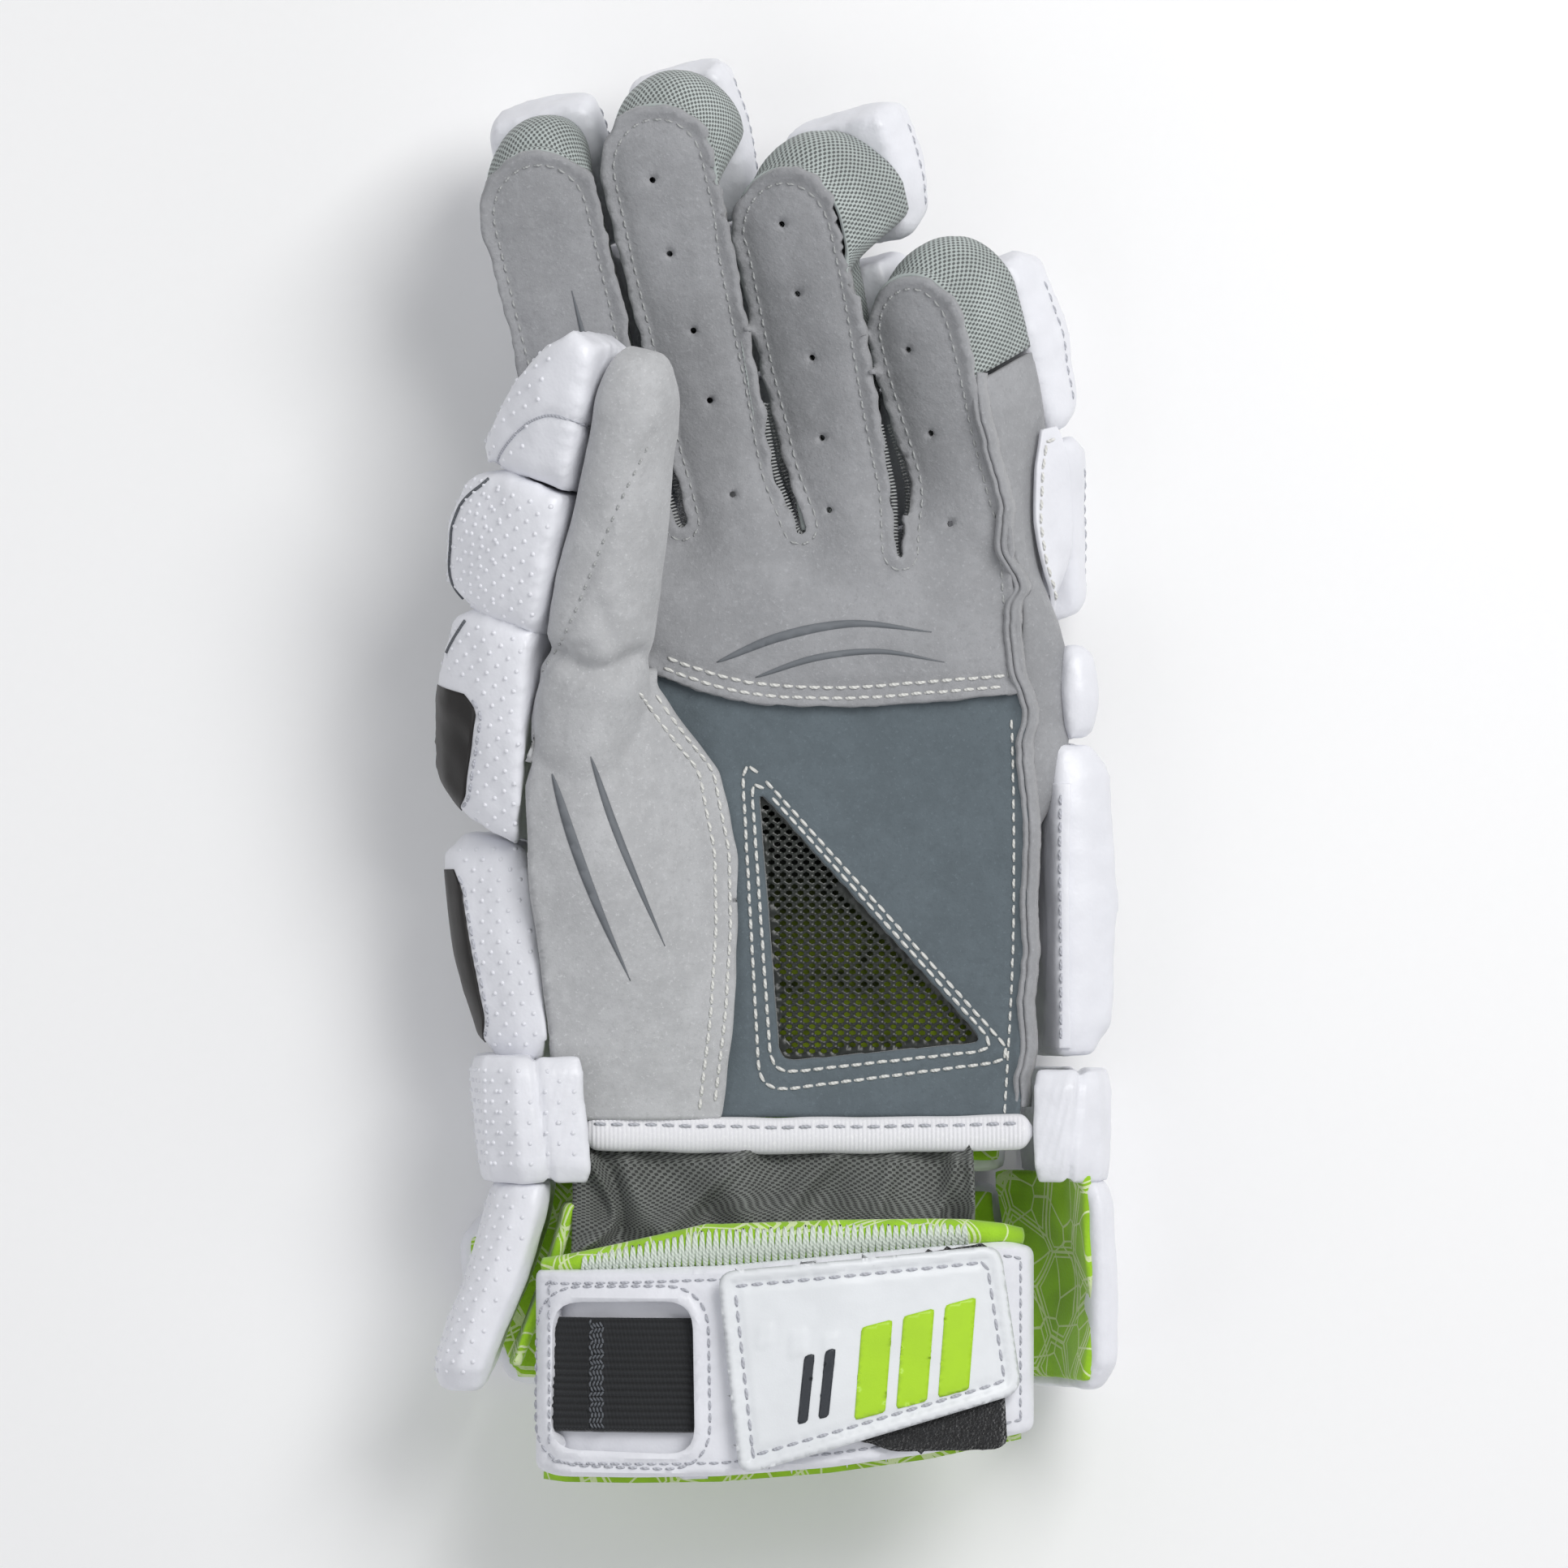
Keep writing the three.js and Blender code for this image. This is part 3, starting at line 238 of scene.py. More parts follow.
def lumps(points: Points, *waves: tuple[float, float, float]) -> np.ndarray:
    """Returns a sum of soft noises, each given by its height, the size of its lumps and its seed."""
    return sum(high * rough(points, size, seed) for high, size, seed in waves)


def on_line(x: Points) -> Points:
    """Returns places on a straight line, as points in plan."""
    return np.column_stack([x, np.zeros_like(x)])


def offset_loop(loop: Points, amount: float) -> Points:
    """Moves a closed loop's points outwards by an amount, or inwards where it is negative."""
    tangent = np.roll(loop, -1, axis=0) - np.roll(loop, 1, axis=0)
    normal = np.column_stack([tangent[:, 1], -tangent[:, 0]])
    normal /= np.maximum(np.linalg.norm(normal, axis=1, keepdims=True), 1e-9)
    area = 0.5 * np.sum(loop[:, 0] * np.roll(loop[:, 1], -1) - np.roll(loop[:, 0], -1) * loop[:, 1])
    return loop + normal * amount * (1 if area > 0 else -1)


def rounded(corners: Sequence[Sequence[float]], radius: float, step: float = 0.9, count: int = 6) -> Points:
    """Draws a closed outline in plan through corners, each of them rounded.

    Args:
        corners: the corners in order.
        radius: how much of its sides a corner takes.
        step: how far apart the outline's points are.
        count: how many points a corner has before they are spaced.

    Returns:
        The outline's points.
    """
    corners = np.array(corners, float)
    t = np.linspace(0, 1, count)[:, None]
    path = []
    for i, corner in enumerate(corners):
        before, after = corners[i - 1] - corner, corners[(i + 1) % len(corners)] - corner
        reach = min(radius, 0.45 * np.linalg.norm(before), 0.45 * np.linalg.norm(after))
        a, b = (corner + way / np.linalg.norm(way) * reach for way in (before, after))
        path.append(a * (1 - t) ** 2 + 2 * corner * t * (1 - t) + b * t**2)
    return resample(np.vstack(path), step, True)


# The shape of the hand


@dataclass(frozen=True)
class Line:
    """The line that a finger, the thumb or a pad at the edge of the hand follows."""

    x: float
    y: float
    z: float
    length: float
    half: float
    lean: float
    roll: float
    base: float = 1.0
    curl: float = 0.0
    slope: float | None = None
    room: float = FINGER_ROOM
    tip_room: float | None = None

    def frame(self, along: float | Points) -> tuple[Points, Points, Points, Points, Points]:
        """Gives the line's own axes.

        Args:
            along: distances along the line.

        Returns:
            The points on the line, the directions across it and out of the palm side, the direction to its
            side in plan, and the roll in radians.
        """
        along = np.atleast_1d(np.asarray(along, float))
        s = along / self.length
        grown = mix(ROLL_AT_BASE, 1, smooth(-0.25, 0.45, s)) if self.slope is None else np.ones_like(s)
        roll = math.radians(self.roll) * grown
        lean = math.radians(self.lean)
        forward = np.array([-math.sin(lean), math.cos(lean), 0.0])
        side = np.array([math.cos(lean), math.sin(lean), 0.0])
        bend = np.clip(s, 0, 1)
        if self.slope is None:
            rise = self.curl * np.where(s > 1, 2 * s - 1, bend**2)
            pitch = 2 * self.curl * bend / self.length
        else:
            pitch = np.full_like(s, math.tan(math.radians(self.slope)))
            rise = pitch * along
        origin = np.array([self.x, self.y, self.z]) + along[:, None] * forward + rise[:, None] * UP
        across = np.cos(roll)[:, None] * side + np.sin(roll)[:, None] * UP
        out = unit(np.cross(across, forward + pitch[:, None] * UP))
        return origin, across, out, np.broadcast_to(side, across.shape), roll

    def room_at(self, along: float | Points) -> float | Points:
        """Returns how deep the room for the finger is at a distance along it."""
        tip = self.room if self.tip_room is None else self.tip_room
        return mix(self.room, tip, np.clip(np.asarray(along) / self.length, 0, 1))

    def at(self, along: Points, across: Points, depth: Points) -> Points:
        """Returns points in the line's axes. Depth runs from the palm side to the back of the hand."""
        origin, u, out, _, _ = self.frame(along)
        across, depth = np.atleast_1d(across), np.atleast_1d(depth)
        return origin + u * across[:, None] - out * depth[:, None]

    def half_at(self, along: Points) -> Points:
        """Returns half the width of the finger's palm panel, whose end is round."""
        along = np.atleast_1d(np.asarray(along, float))
        straight = self.length - self.half
        half = self.half * mix(self.base, 1, smooth(0, 0.7, along / self.length))
        past = np.clip((along - straight) / self.half, 0, 1)
        return half * np.sqrt(1 - past**2)

    def plan(self, x: Points, y: Points) -> tuple[Points, Points, Points, Points]:
        """Returns distances along and across the line in plan, the palm side's height there, and the roll."""
        lean = math.radians(self.lean)
        dx, dy = np.asarray(x) - self.x, np.asarray(y) - self.y
        along = -dx * math.sin(lean) + dy * math.cos(lean)
        across = dx * math.cos(lean) + dy * math.sin(lean)
        origin, _, _, _, roll = self.frame(along)
        return along, across, origin[:, 2] + across * np.tan(roll), roll


def finger(
    across: float, length: float, half: float, base: float, lean: float, roll: float, curl: float
) -> Line:
    """Returns a finger's line, which crosses the knuckle line at a share of the palm's width."""
    x = PALM_OFFSET + across * PALM_WIDTH
    return Line(x, KNUCKLE_LINE, KNUCKLE_TOP, length, half, lean, roll, base, curl)


FINGERS = {
    "index": finger(-0.334, 91.5, 14, 0.94, 13.2, 13, 21),
    "middle": finger(-0.086, 102, 13.8, 0.82, 12.2, 18, 22),
    "ring": finger(0.144, 87, 15.4, 0.8, 12.1, 33, 20),
    "pinky": finger(0.383, 63, 13.4, 0.8, 14.9, 37, 13),
}
THUMB = Line(
    -31.5, 10, 62, 84, 13, -6, -63, base=1.1, slope=18.5, room=1.25 * THUMB_ROOM, tip_room=0.72 * THUMB_ROOM
)


def edge(x: float, y: float, z: float, lean: float, roll: float) -> Line:
    """Returns the line of the pads on an edge of the hand."""
    return Line(x, y, z, 100, 13, lean, roll, slope=0.0, room=THUMB_ROOM)


RADIAL_EDGE = edge(-35.5, HEM_Y + 14, 41, 1.5, -72)
ULNAR_EDGE = edge(44.5, HEM_Y + 8, 39, 0.5, 72)
ULNAR_UPPER = edge(48, KNUCKLE_LINE, 39, 1, 76)

# Where the fingers part: shares of the palm's width from its middle, and millimetres above the knuckle line
PARTINGS = [(-0.2, 3.0), (0.042, 2.0), (0.246, -4.0)]


def palm_line(*rows: tuple[float, float]) -> list[tuple[float, float]]:
    """Returns a line on the palm from rows of shares, as along_palm() takes them."""
    return [along_palm(*row) for row in rows]


FRONT_EDGE = palm_line(
    (-0.54, 0.776), (-0.36, 0.748), (-0.11, 0.722), (0.26, 0.715), (0.62, 0.725), (0.98, 0.737)
)
THENAR_EDGE = palm_line(
    (-0.24, 0), (-0.19, 0.18), (-0.17, 0.33), (-0.175, 0.46), (-0.24, 0.6), (-0.42, 0.7), (-0.5, 0.75)
)
THENAR_OUTER = palm_line((-0.9, 0), (-0.95, 0.2), (-1.02, 0.45), (-1.03, 0.58), (-0.94, 0.7), (-0.8, 0.8))
SEAM_EDGE = palm_line((0.965, 0), (1, 0.3), (1, 0.6), (0.98, 0.8), (0.97, 1))
WINDOW = palm_line((-0.1, 0.575), (-0.01, 0.095), (0.84, 0.13))

# The waves of the outer seam's ridge in plan, in millimetres
SEAM_WAVES = [
    (46.9, 91.0), (47.9, 82.6), (50.2, 72.8), (53.4, 60.2), (53.3, 50.2), (57.4, 41.9), (55.2, 35.8), (56.2, 22.0),
    (59.4, 12.9), (58.0, 3.8), (59.6, -14.3), (59.0, -32.5), (59.4, -44.0), (58.3, -56.0), (58.9, -66.0),
    (57.4, -73.0), (57.6, -79.5),
]  # fmt: skip


def line_at(line: Sequence[tuple[float, float]], y: float | Points) -> float | Points:
    """Returns the X of a line on the palm at a Y."""
    return table_at([(q[1], q[0]) for q in line], y)


def palm_height(x: Points, y: Points, owner: Line | None = None) -> Points:
    """Gives the height of the palm's leather in plan. Near the knuckles it blends the fingers' planes.

    Args:
        x: places across the palm.
        y: places along it.
        owner: the finger whose panel the places are on, if any.

    Returns:
        The heights.
    """
    x, y = np.atleast_1d(np.asarray(x, float)), np.atleast_1d(np.asarray(y, float))
    middle = (x - PALM_OFFSET) / (PALM_WIDTH / 2)
    cup = PALM_CUP * (1 - np.minimum(1, middle**2)) * (1 - smooth(KNUCKLE_LINE - 45, KNUCKLE_LINE, y))
    total, weighted = np.zeros_like(x), np.zeros_like(x)
    for line in FINGERS.values():
        _, across, height, _ = line.plan(x, y)
        weight = bell(across, 12) + 1e-6
        total += weight
        weighted += weight * height
    shared = mix(PALM_TOP - cup, weighted / total, smooth(KNUCKLE_LINE - 34, KNUCKLE_LINE, y))
    if owner is None:
        return shared
    along, _, height, _ = owner.plan(x, y)
    return mix(shared, height, smooth(0, 0.28, along / owner.length))


def front_height(points: Points) -> Points:
    """Returns the height of the upper palm and of the finger panels in plan, each finger on its own plane."""
    x, y = points[:, 0], points[:, 1]
    near = np.full(len(points), 1e9)
    height = palm_height(x, y)
    for line in FINGERS.values():
        _, across, _, roll = line.plan(x, y)
        off = np.abs(across) / (line.half * np.cos(roll))
        own = off < near
        height[own] = palm_height(x[own], y[own], line)
        near = np.where(own, off, near)
    return height


def thenar_height(points: Points) -> Points:
    """Returns the height of the ball of the thumb's leather in plan."""
    x, y = points[:, 0], points[:, 1]
    centre = mix(-30.0, -40.0, smooth(HEM_Y, 0, y))
    near = np.cos(np.clip((x - centre) / (THENAR_WIDTH / 2), -1, 1) * (math.pi / 2)) ** 1.6
    up = mix(0.1, 1, smooth(HEM_Y, -8, y)) * (1 - smooth(8, 32, y))
    return palm_height(x, y) + THENAR_RISE * near * up


# The band at shares of the palm's half width: how far its upper and lower edges lie below its top, and its height
BAND = [
    (-1.0, 0, BAND_WIDTH - 9.5, 52),
    (-0.97, 0, BAND_WIDTH - 8.5, 55),
    (-0.88, 0, BAND_WIDTH - 8, 58),
    (-0.6, -0.5, BAND_WIDTH - 8, 62),
    (-0.25, -1.2, BAND_WIDTH - 8.4, 64),
    (0.2, -3.5, BAND_WIDTH - 10.5, 64.5),
    (0.6, -5.5, BAND_WIDTH - 13.5, 61.5),
    (0.9, -6.5, BAND_WIDTH - 17, 57.5),
    (1.0, -6, BAND_WIDTH - 18, 54.5),
    (1.03, -5, BAND_WIDTH - 18.5, 51.5),
]


def band_at(x: Points, column: int) -> Points:
    """Returns a column of the band's table at an X: 1 its upper edge, 2 its lower edge, 3 its height."""
    across = (np.asarray(x, float) - PALM_OFFSET) * 2 / PALM_WIDTH
    if column < 3:
        return table_at([(row[0], row[column]) for row in BAND], across)
    steps = [-0.05, -0.025, 0, 0.025, 0.05]
    return sum(table_at([(row[0], row[3]) for row in BAND], across + step) for step in steps) / len(steps)


# Making meshes


def deselect() -> None:
    """Leaves nothing selected and nothing in edit mode."""
    if bpy.context.object and bpy.context.object.mode != "OBJECT":
        bpy.ops.object.mode_set(mode="OBJECT")
    for other in bpy.context.selected_objects:
        other.select_set(False)


def activate(piece: Piece) -> None:
    """Makes one piece the only selected one."""
    deselect()
    piece.select_set(True)
    bpy.context.view_layer.objects.active = piece


def mesh_piece(name: str, points: Points, faces: Faces, uv: Points | None = None) -> Piece:
    """Makes an object from points in millimetres.

    Args:
        name: the piece's name.
        points: its points.
        faces: its faces, as indices of points.
        uv: a UV place for each point, if it has any.

    Returns:
        The object, linked to the scene.
    """
    mesh = bpy.data.meshes.new(name)
    mesh.from_pydata((np.asarray(points) * MM).tolist(), [], faces)
    if uv is not None:
        layer = mesh.uv_layers.new(name="UVMap")
        index = np.zeros(len(mesh.loops), np.int32)
        mesh.loops.foreach_get("vertex_index", index)
        layer.data.foreach_set("uv", np.asarray(uv, np.float32)[index].ravel())
    mesh.validate()
    piece = bpy.data.objects.new(name, mesh)
    bpy.context.scene.collection.objects.link(piece)
    return piece


def points_of(piece: Piece) -> Points:
    """Returns a piece's points in millimetres."""
    flat = np.zeros(len(piece.data.vertices) * 3)
    piece.data.vertices.foreach_get("co", flat)
    return flat.reshape(-1, 3) / MM


def normals_of(piece: Piece) -> Points:
    """Returns the directions of a piece's points, out of its surface."""
    flat = np.zeros(len(piece.data.vertices) * 3)
    piece.data.vertices.foreach_get("normal", flat)
    return flat.reshape(-1, 3)


def move_points(piece: Piece, points: Points) -> None:
    """Puts a piece's points at new places, in millimetres."""
    piece.data.vertices.foreach_set("co", (points * MM).ravel())
    piece.data.update()


def modify(piece: Piece, kind: str, **settings: float | int | str | bool) -> None:
    """Adds a modifier with its settings and applies it."""
    activate(piece)
    modifier = piece.modifiers.new(kind.title(), kind)
    for key, value in settings.items():
        setattr(modifier, key, value)
    bpy.ops.object.modifier_apply(modifier=modifier.name)


def merged(piece: Piece, gap: float) -> None:
    """Joins a piece's points that are closer together than a gap in metres."""
    shape = bmesh.new()
    shape.from_mesh(piece.data)
    bmesh.ops.remove_doubles(shape, verts=shape.verts, dist=gap)
    shape.to_mesh(piece.data)
    shape.free()


def remeshed(piece: Piece, voxel: float, rounds: int) -> None:
    """Rebuilds a closed piece in squares of that size, and smooths it in so many rounds."""
    modify(piece, "REMESH", mode="VOXEL", voxel_size=voxel * MM)
    modify(piece, "SMOOTH", factor=0.5, iterations=rounds)


def outwards(piece: Piece) -> None:
    """Makes the faces of a closed piece point out of it."""
    activate(piece)
    bpy.ops.object.mode_set(mode="EDIT")
    bpy.ops.mesh.select_all(action="SELECT")
    bpy.ops.mesh.normals_make_consistent(inside=False)
    bpy.ops.object.mode_set(mode="OBJECT")


def node_copy(name: str, node: str) -> Piece:
    """Returns a copy of one of the model's nodes, with its loose triangles joined."""
    piece = bpy.data.objects.new(name, bpy.data.objects[node].data.copy())
    bpy.context.scene.collection.objects.link(piece)
    piece.data.materials.clear()
    merged(piece, 2e-6)
    return piece


def joined(name: str, pieces: Sequence[Piece]) -> Piece:
    """Joins pieces into one of a new name."""
    activate(pieces[0])
    for piece in pieces[1:]:
        piece.select_set(True)
    bpy.ops.object.join()
    made = bpy.context.object
    made.name = made.data.name = name
    return made


def grid_faces(rows: int, columns: int, first: int = 0, closed: bool = False) -> Faces:
    """Returns the quads of a grid of points, kept row by row, whose rows may be closed rings."""
    faces = []
    for i in range(rows - 1):
        low, high = first + i * columns, first + (i + 1) * columns
        for j in range(columns if closed else columns - 1):
            k = (j + 1) % columns
            faces.append((low + j, low + k, high + k, high + j))
    return faces


def tube_faces(rings: int, columns: int, first: int = 0) -> Faces:
    """Returns the faces of a tube of closed rings of points, both of whose ends are closed."""
    last = first + rings * columns
    ends = [tuple(range(first, first + columns)), tuple(range(last - 1, last - 1 - columns, -1))]
    return grid_faces(rings, columns, first, closed=True) + ends


def staggered(low: Sequence[float], high: Sequence[float], pitch: float, rise: float) -> Points:
    """Returns points in rows between two corners, a pitch apart, with every second row moved by half of it."""
    return np.array(
        [
            (x, y)
            for i, y in enumerate(np.arange(low[1], high[1], rise))
            for x in np.arange(low[0] + (i % 2) * pitch / 2, high[0], pitch)
        ]
    )


def cut_flat(loops: Sequence[Points], spacing: float) -> tuple[Points, Faces]:
    """Fills a flat outline, less its holes, with even triangles.

    Args:
        loops: the outline and the holes, as closed loops in plan.
        spacing: how far apart the points inside are.

    Returns:
        The points in plan, and the triangles, which face up.
    """
    edges, count = [], 0
    for loop in loops:
        edges += [(count + i, count + (i + 1) % len(loop)) for i in range(len(loop))]
        count += len(loop)
    border = np.vstack(loops)
    low, high = border.min(0), border.max(0)
    lattice = staggered(low, high, spacing, spacing * 0.866)
    lattice = lattice[within(lattice, loops)]
    lattice = lattice[distance(lattice, border) > 0.5 * spacing]
    every = np.vstack([border, lattice])
    made = delaunay_2d_cdt([Vector(p) for p in every], edges, [], 0, 1e-5, False)
    points = np.array([tuple(p) for p in made[0]])
    triangles = np.array([f for f in made[2] if len(f) == 3])
    keep = within(points[triangles].mean(1), loops)
    triangles = triangles[keep]
    a, b, c = (points[triangles[:, i]] for i in range(3))
    turn = (b[:, 0] - a[:, 0]) * (c[:, 1] - a[:, 1]) - (b[:, 1] - a[:, 1]) * (c[:, 0] - a[:, 0])
    triangles[turn < 0] = triangles[turn < 0][:, ::-1]
    used, index = np.unique(triangles, return_inverse=True)
    return points[used], [tuple(t) for t in index.reshape(-1, 3).tolist()]


class Ground:
    """Finished pieces that threads, dots and prints are laid on."""

    def __init__(self, *pieces: Piece) -> None:
        """Takes the pieces' surfaces as they are now."""
        points, faces, first = [], [], 0
        for piece in pieces:
            points.append(points_of(piece))
            faces += [tuple(first + i for i in p.vertices) for p in piece.data.polygons]
            first += len(piece.data.vertices)
        self.tree = BVHTree.FromPolygons(np.vstack(points).tolist(), faces)

    def along(self, starts: Points, ways: Points, reach: float = 200.0) -> tuple[Points, Points, np.ndarray]:
        """Finds where rays meet the surface.

        Args:
            starts: where the rays start.
            ways: their directions, or one direction.
            reach: how far they run.

        Returns:
            The places met, the surface's directions there, and which rays met anything.
        """
        ways = np.broadcast_to(ways, starts.shape)
        places, normals = np.zeros(starts.shape), np.tile(UP, (len(starts), 1))
        met = np.zeros(len(starts), bool)
        for i, (start, way) in enumerate(zip(starts, ways)):
            hit, normal, _, _ = self.tree.ray_cast(Vector(start), Vector(way), reach)
            if hit is not None:
                places[i], normals[i], met[i] = hit, normal, True
                if np.dot(normals[i], way) > 0:
                    normals[i] = -normals[i]
        return places, normals, met

    def under(self, plan: Points) -> tuple[Points, Points, np.ndarray]:
        """Finds the surface straight under places in plan, as along() does."""
        return self.along(np.column_stack([plan, np.full(len(plan), RAY_HEIGHT)]), -UP)

    def nearest(self, points: Points) -> tuple[Points, Points]:
        """Returns the surface's nearest places to points, and its directions there."""
        found = [self.tree.find_nearest(Vector(p)) for p in points]
        return np.array([tuple(f[0]) for f in found]), np.array([tuple(f[1]) for f in found])


# Materials


class Flow:
    """A socket of a material's nodes, with which sums can be written as expressions."""

    def __init__(self, shader: "Shader", socket: bpy.types.NodeSocket) -> None:
        """Wraps a socket of a shader's node."""
        self.shader = shader
        self.socket = socket

    def _math(self, operation: str, a: "Flow | float", b: "Flow | float") -> "Flow":
        """Returns a Math node's result for two values."""
        return self.shader.node("ShaderNodeMath", {"operation": operation}, {0: a, 1: b})

    def __add__(self, other: "Flow | float") -> "Flow":
        """Returns the sum."""
        return self._math("ADD", self, other)

    __radd__ = __add__

    def __sub__(self, other: "Flow | float") -> "Flow":
        """Returns the difference."""
        return self._math("SUBTRACT", self, other)

    def __rsub__(self, other: "Flow | float") -> "Flow":
        """Returns the other value less this one."""
        return self._math("SUBTRACT", other, self)

    def __mul__(self, other: "Flow | float") -> "Flow":
        """Returns the product."""
        return self._math("MULTIPLY", self, other)

    __rmul__ = __mul__

    def __truediv__(self, other: "Flow | float") -> "Flow":
        """Returns the quotient."""
        return self._math("DIVIDE", self, other)

    def __pow__(self, other: "Flow | float") -> "Flow":
        """Returns this value to a power."""
        return self._math("POWER", self, other)

    def __gt__(self, other: "Flow | float") -> "Flow":
        """Returns 1 where this value is above the other, and 0 elsewhere."""
        return self._math("GREATER_THAN", self, other)

    def __lt__(self, other: "Flow | float") -> "Flow":
        """Returns 1 where this value is below the other, and 0 elsewhere."""
        return self._math("LESS_THAN", self, other)

    def sine(self) -> "Flow":
        """Returns the sine."""
        return self._math("SINE", self, 0.0)

    def most(self, other: "Flow | float") -> "Flow":
        """Returns the larger of two values."""
        return self._math("MAXIMUM", self, other)

    def step(self, low: float, high: float) -> "Flow":
        """Returns 0 below low and 1 above high, with a soft step between them."""
        return self.shader.node(
            "ShaderNodeMapRange", {"interpolation_type": "SMOOTHSTEP"}, {0: self, 1: low, 2: high, 3: 0.0, 4: 1.0}
        )

    def __getitem__(self, part: str) -> "Flow":
        """Returns the x, y or z of a vector."""
        return self.shader.node("ShaderNodeSeparateXYZ", {}, {0: self}, "xyz".index(part))


class Shader:
    """The node tree of one material, around one Principled shader."""

    def __init__(self, name: str) -> None:
        """Starts an empty material."""
        self.material = bpy.data.materials.new(name)
        self.material.use_nodes = True
        self.tree = self.material.node_tree
        self.skin = self.tree.nodes["Principled BSDF"]

    def node(
        self,
        kind: str,
        settings: dict[str, object] | None = None,
        inputs: dict[str | int, object] | None = None,
        out: str | int = 0,
    ) -> Flow:
        """Adds a node.

        Args:
            kind: the node's type.
            settings: its settings, set before its inputs.
            inputs: values or links of its sockets, by name or place.
            out: which of its outputs is wanted.

        Returns:
            That output.
        """
        made = self.tree.nodes.new(kind)
        for key, value in (settings or {}).items():
            setattr(made, key, value)
        for key, value in (inputs or {}).items():
            self.feed(made.inputs[key], value)
        return Flow(self, made.outputs[out])

    def feed(self, socket: bpy.types.NodeSocket, value: object) -> None:
        """Links a flow to a socket, or sets the socket to a value."""
        if isinstance(value, Flow):
            self.tree.links.new(value.socket, socket)
        else:
            socket.default_value = value

    def set(self, **sockets: object) -> None:
        """Feeds sockets of the Principled shader, whose names are given with _ for spaces."""
        for key, value in sockets.items():
            self.feed(self.skin.inputs[key.replace("_", " ")], value)

    def place(self) -> Flow:
        """Returns the place on the piece in millimetres."""
        spot = self.node("ShaderNodeTexCoord", out="Object")
        return self.node("ShaderNodeVectorMath", {"operation": "SCALE"}, {0: spot, "Scale": 1 / MM})

    def surface(self) -> Flow:
        """Returns the place along the piece's own surface in millimetres, from its UV map."""
        spot = self.node("ShaderNodeTexCoord", out="UV")
        return self.node("ShaderNodeVectorMath", {"operation": "SCALE"}, {0: spot, "Scale": UV_MM})

    def noise(self, at: Flow, size: float, detail: float = 3.0, rough: float = 0.55) -> Flow:
        """Returns soft noise from 0 to 1 with lumps of about that size in millimetres."""
        return self.node(
            "ShaderNodeTexNoise", {}, {"Vector": at, "Scale": 1 / size, "Detail": detail, "Roughness": rough}
        )

    def cells(self, at: Flow, size: float, feature: str = "F1", random: float = 1.0) -> Flow:
        """Returns the distances in a cell pattern whose cells are about that size in millimetres."""
        return self.node(
            "ShaderNodeTexVoronoi", {"feature": feature}, {"Vector": at, "Scale": 1 / size, "Randomness": random}
        )

    def blend(self, share: Flow | float, a: object, b: object) -> Flow:
        """Returns the colour between two colours."""
        return self.node("ShaderNodeMix", {"data_type": "RGBA"}, {0: share, 6: a, 7: b}, 2)

    def bump(self, height: Flow, deep: float, under: Flow | None = None) -> Flow:
        """Returns a surface direction bent by a height pattern that is that deep in millimetres."""
        inputs: dict[str | int, object] = {"Height": height, "Distance": deep * MM, "Strength": 1.0}
        if under is not None:
            inputs["Normal"] = under
        return self.node("ShaderNodeBump", {}, inputs)


def colour(red: float, green: float, blue: float) -> tuple[float, float, float, float]:
    """Returns a screen colour from 0 to 255 as a linear one."""
    screen = (red / 255, green / 255, blue / 255)
    return (*[c / 12.92 if c < 0.04045 else ((c + 0.055) / 1.055) ** 2.4 for c in screen], 1.0)


def shade(base: Sequence[float], by: float) -> tuple[float, float, float, float]:
    """Returns a linear colour made darker or lighter by a factor."""
    return (*[min(1.0, c * by) for c in base[:3]], 1.0)


@dataclass(frozen=True)
class Finish:
    """What all finishes have: a material's name, a slot name, and the screen colour."""

    name: str
    slot: str
    tint: tuple[float, float, float]

    @property
    def base(self) -> tuple[float, float, float, float]:
        """The linear colour."""
        return colour(*self.tint)

    def material(self) -> bpy.types.Material:
        """Returns the material, made once."""
        found = bpy.data.materials.get(self.name)
        if found:
            return found
        shader = Shader(self.name)
        self.dress(shader)
        return shader.material

    def dress(self, s: Shader) -> None:
        """Builds the nodes."""
        raise NotImplementedError


@dataclass(frozen=True)
class SuedeFinish(Finish):
    """Brushed suede: mottled, with a short nap, pale flecks and a soft sheen."""

    nap: float = 0.5

    def dress(self, s: Shader) -> None:
        """Builds the nodes."""
        at = s.place()
        cloud = s.noise(at, 14.0, 3.0)
        mottle = s.noise(at, 2.6, 4.0, 0.6)
        fleck = s.noise(at, 0.9, 2.0, 0.7)
        tone = s.blend(cloud.step(0.35, 0.7), shade(self.base, 0.93), shade(self.base, 1.05))
        tone = s.blend(mottle.step(0.5, 0.66) * 0.5, tone, shade(self.base, 1.1))
        tone = s.blend((1 - mottle).step(0.52, 0.68) * 0.55, tone, shade(self.base, 0.88))
        tone = s.blend((1 - fleck).step(0.56, 0.7) * 0.5, tone, shade(self.base, 0.84))
        tone = s.blend(fleck.step(0.6, 0.7) * 0.6, tone, shade(self.base, 1.28))
        soft = s.bump(mottle, 0.4 * self.nap)
        s.set(
            Base_Color=tone,
            Roughness=0.86 + mottle * 0.12,
            Normal=s.bump(fleck, 0.3 * self.nap, soft),
            Sheen_Weight=0.25,
            Sheen_Roughness=0.5,
            Specular_IOR_Level=0.25,
        )


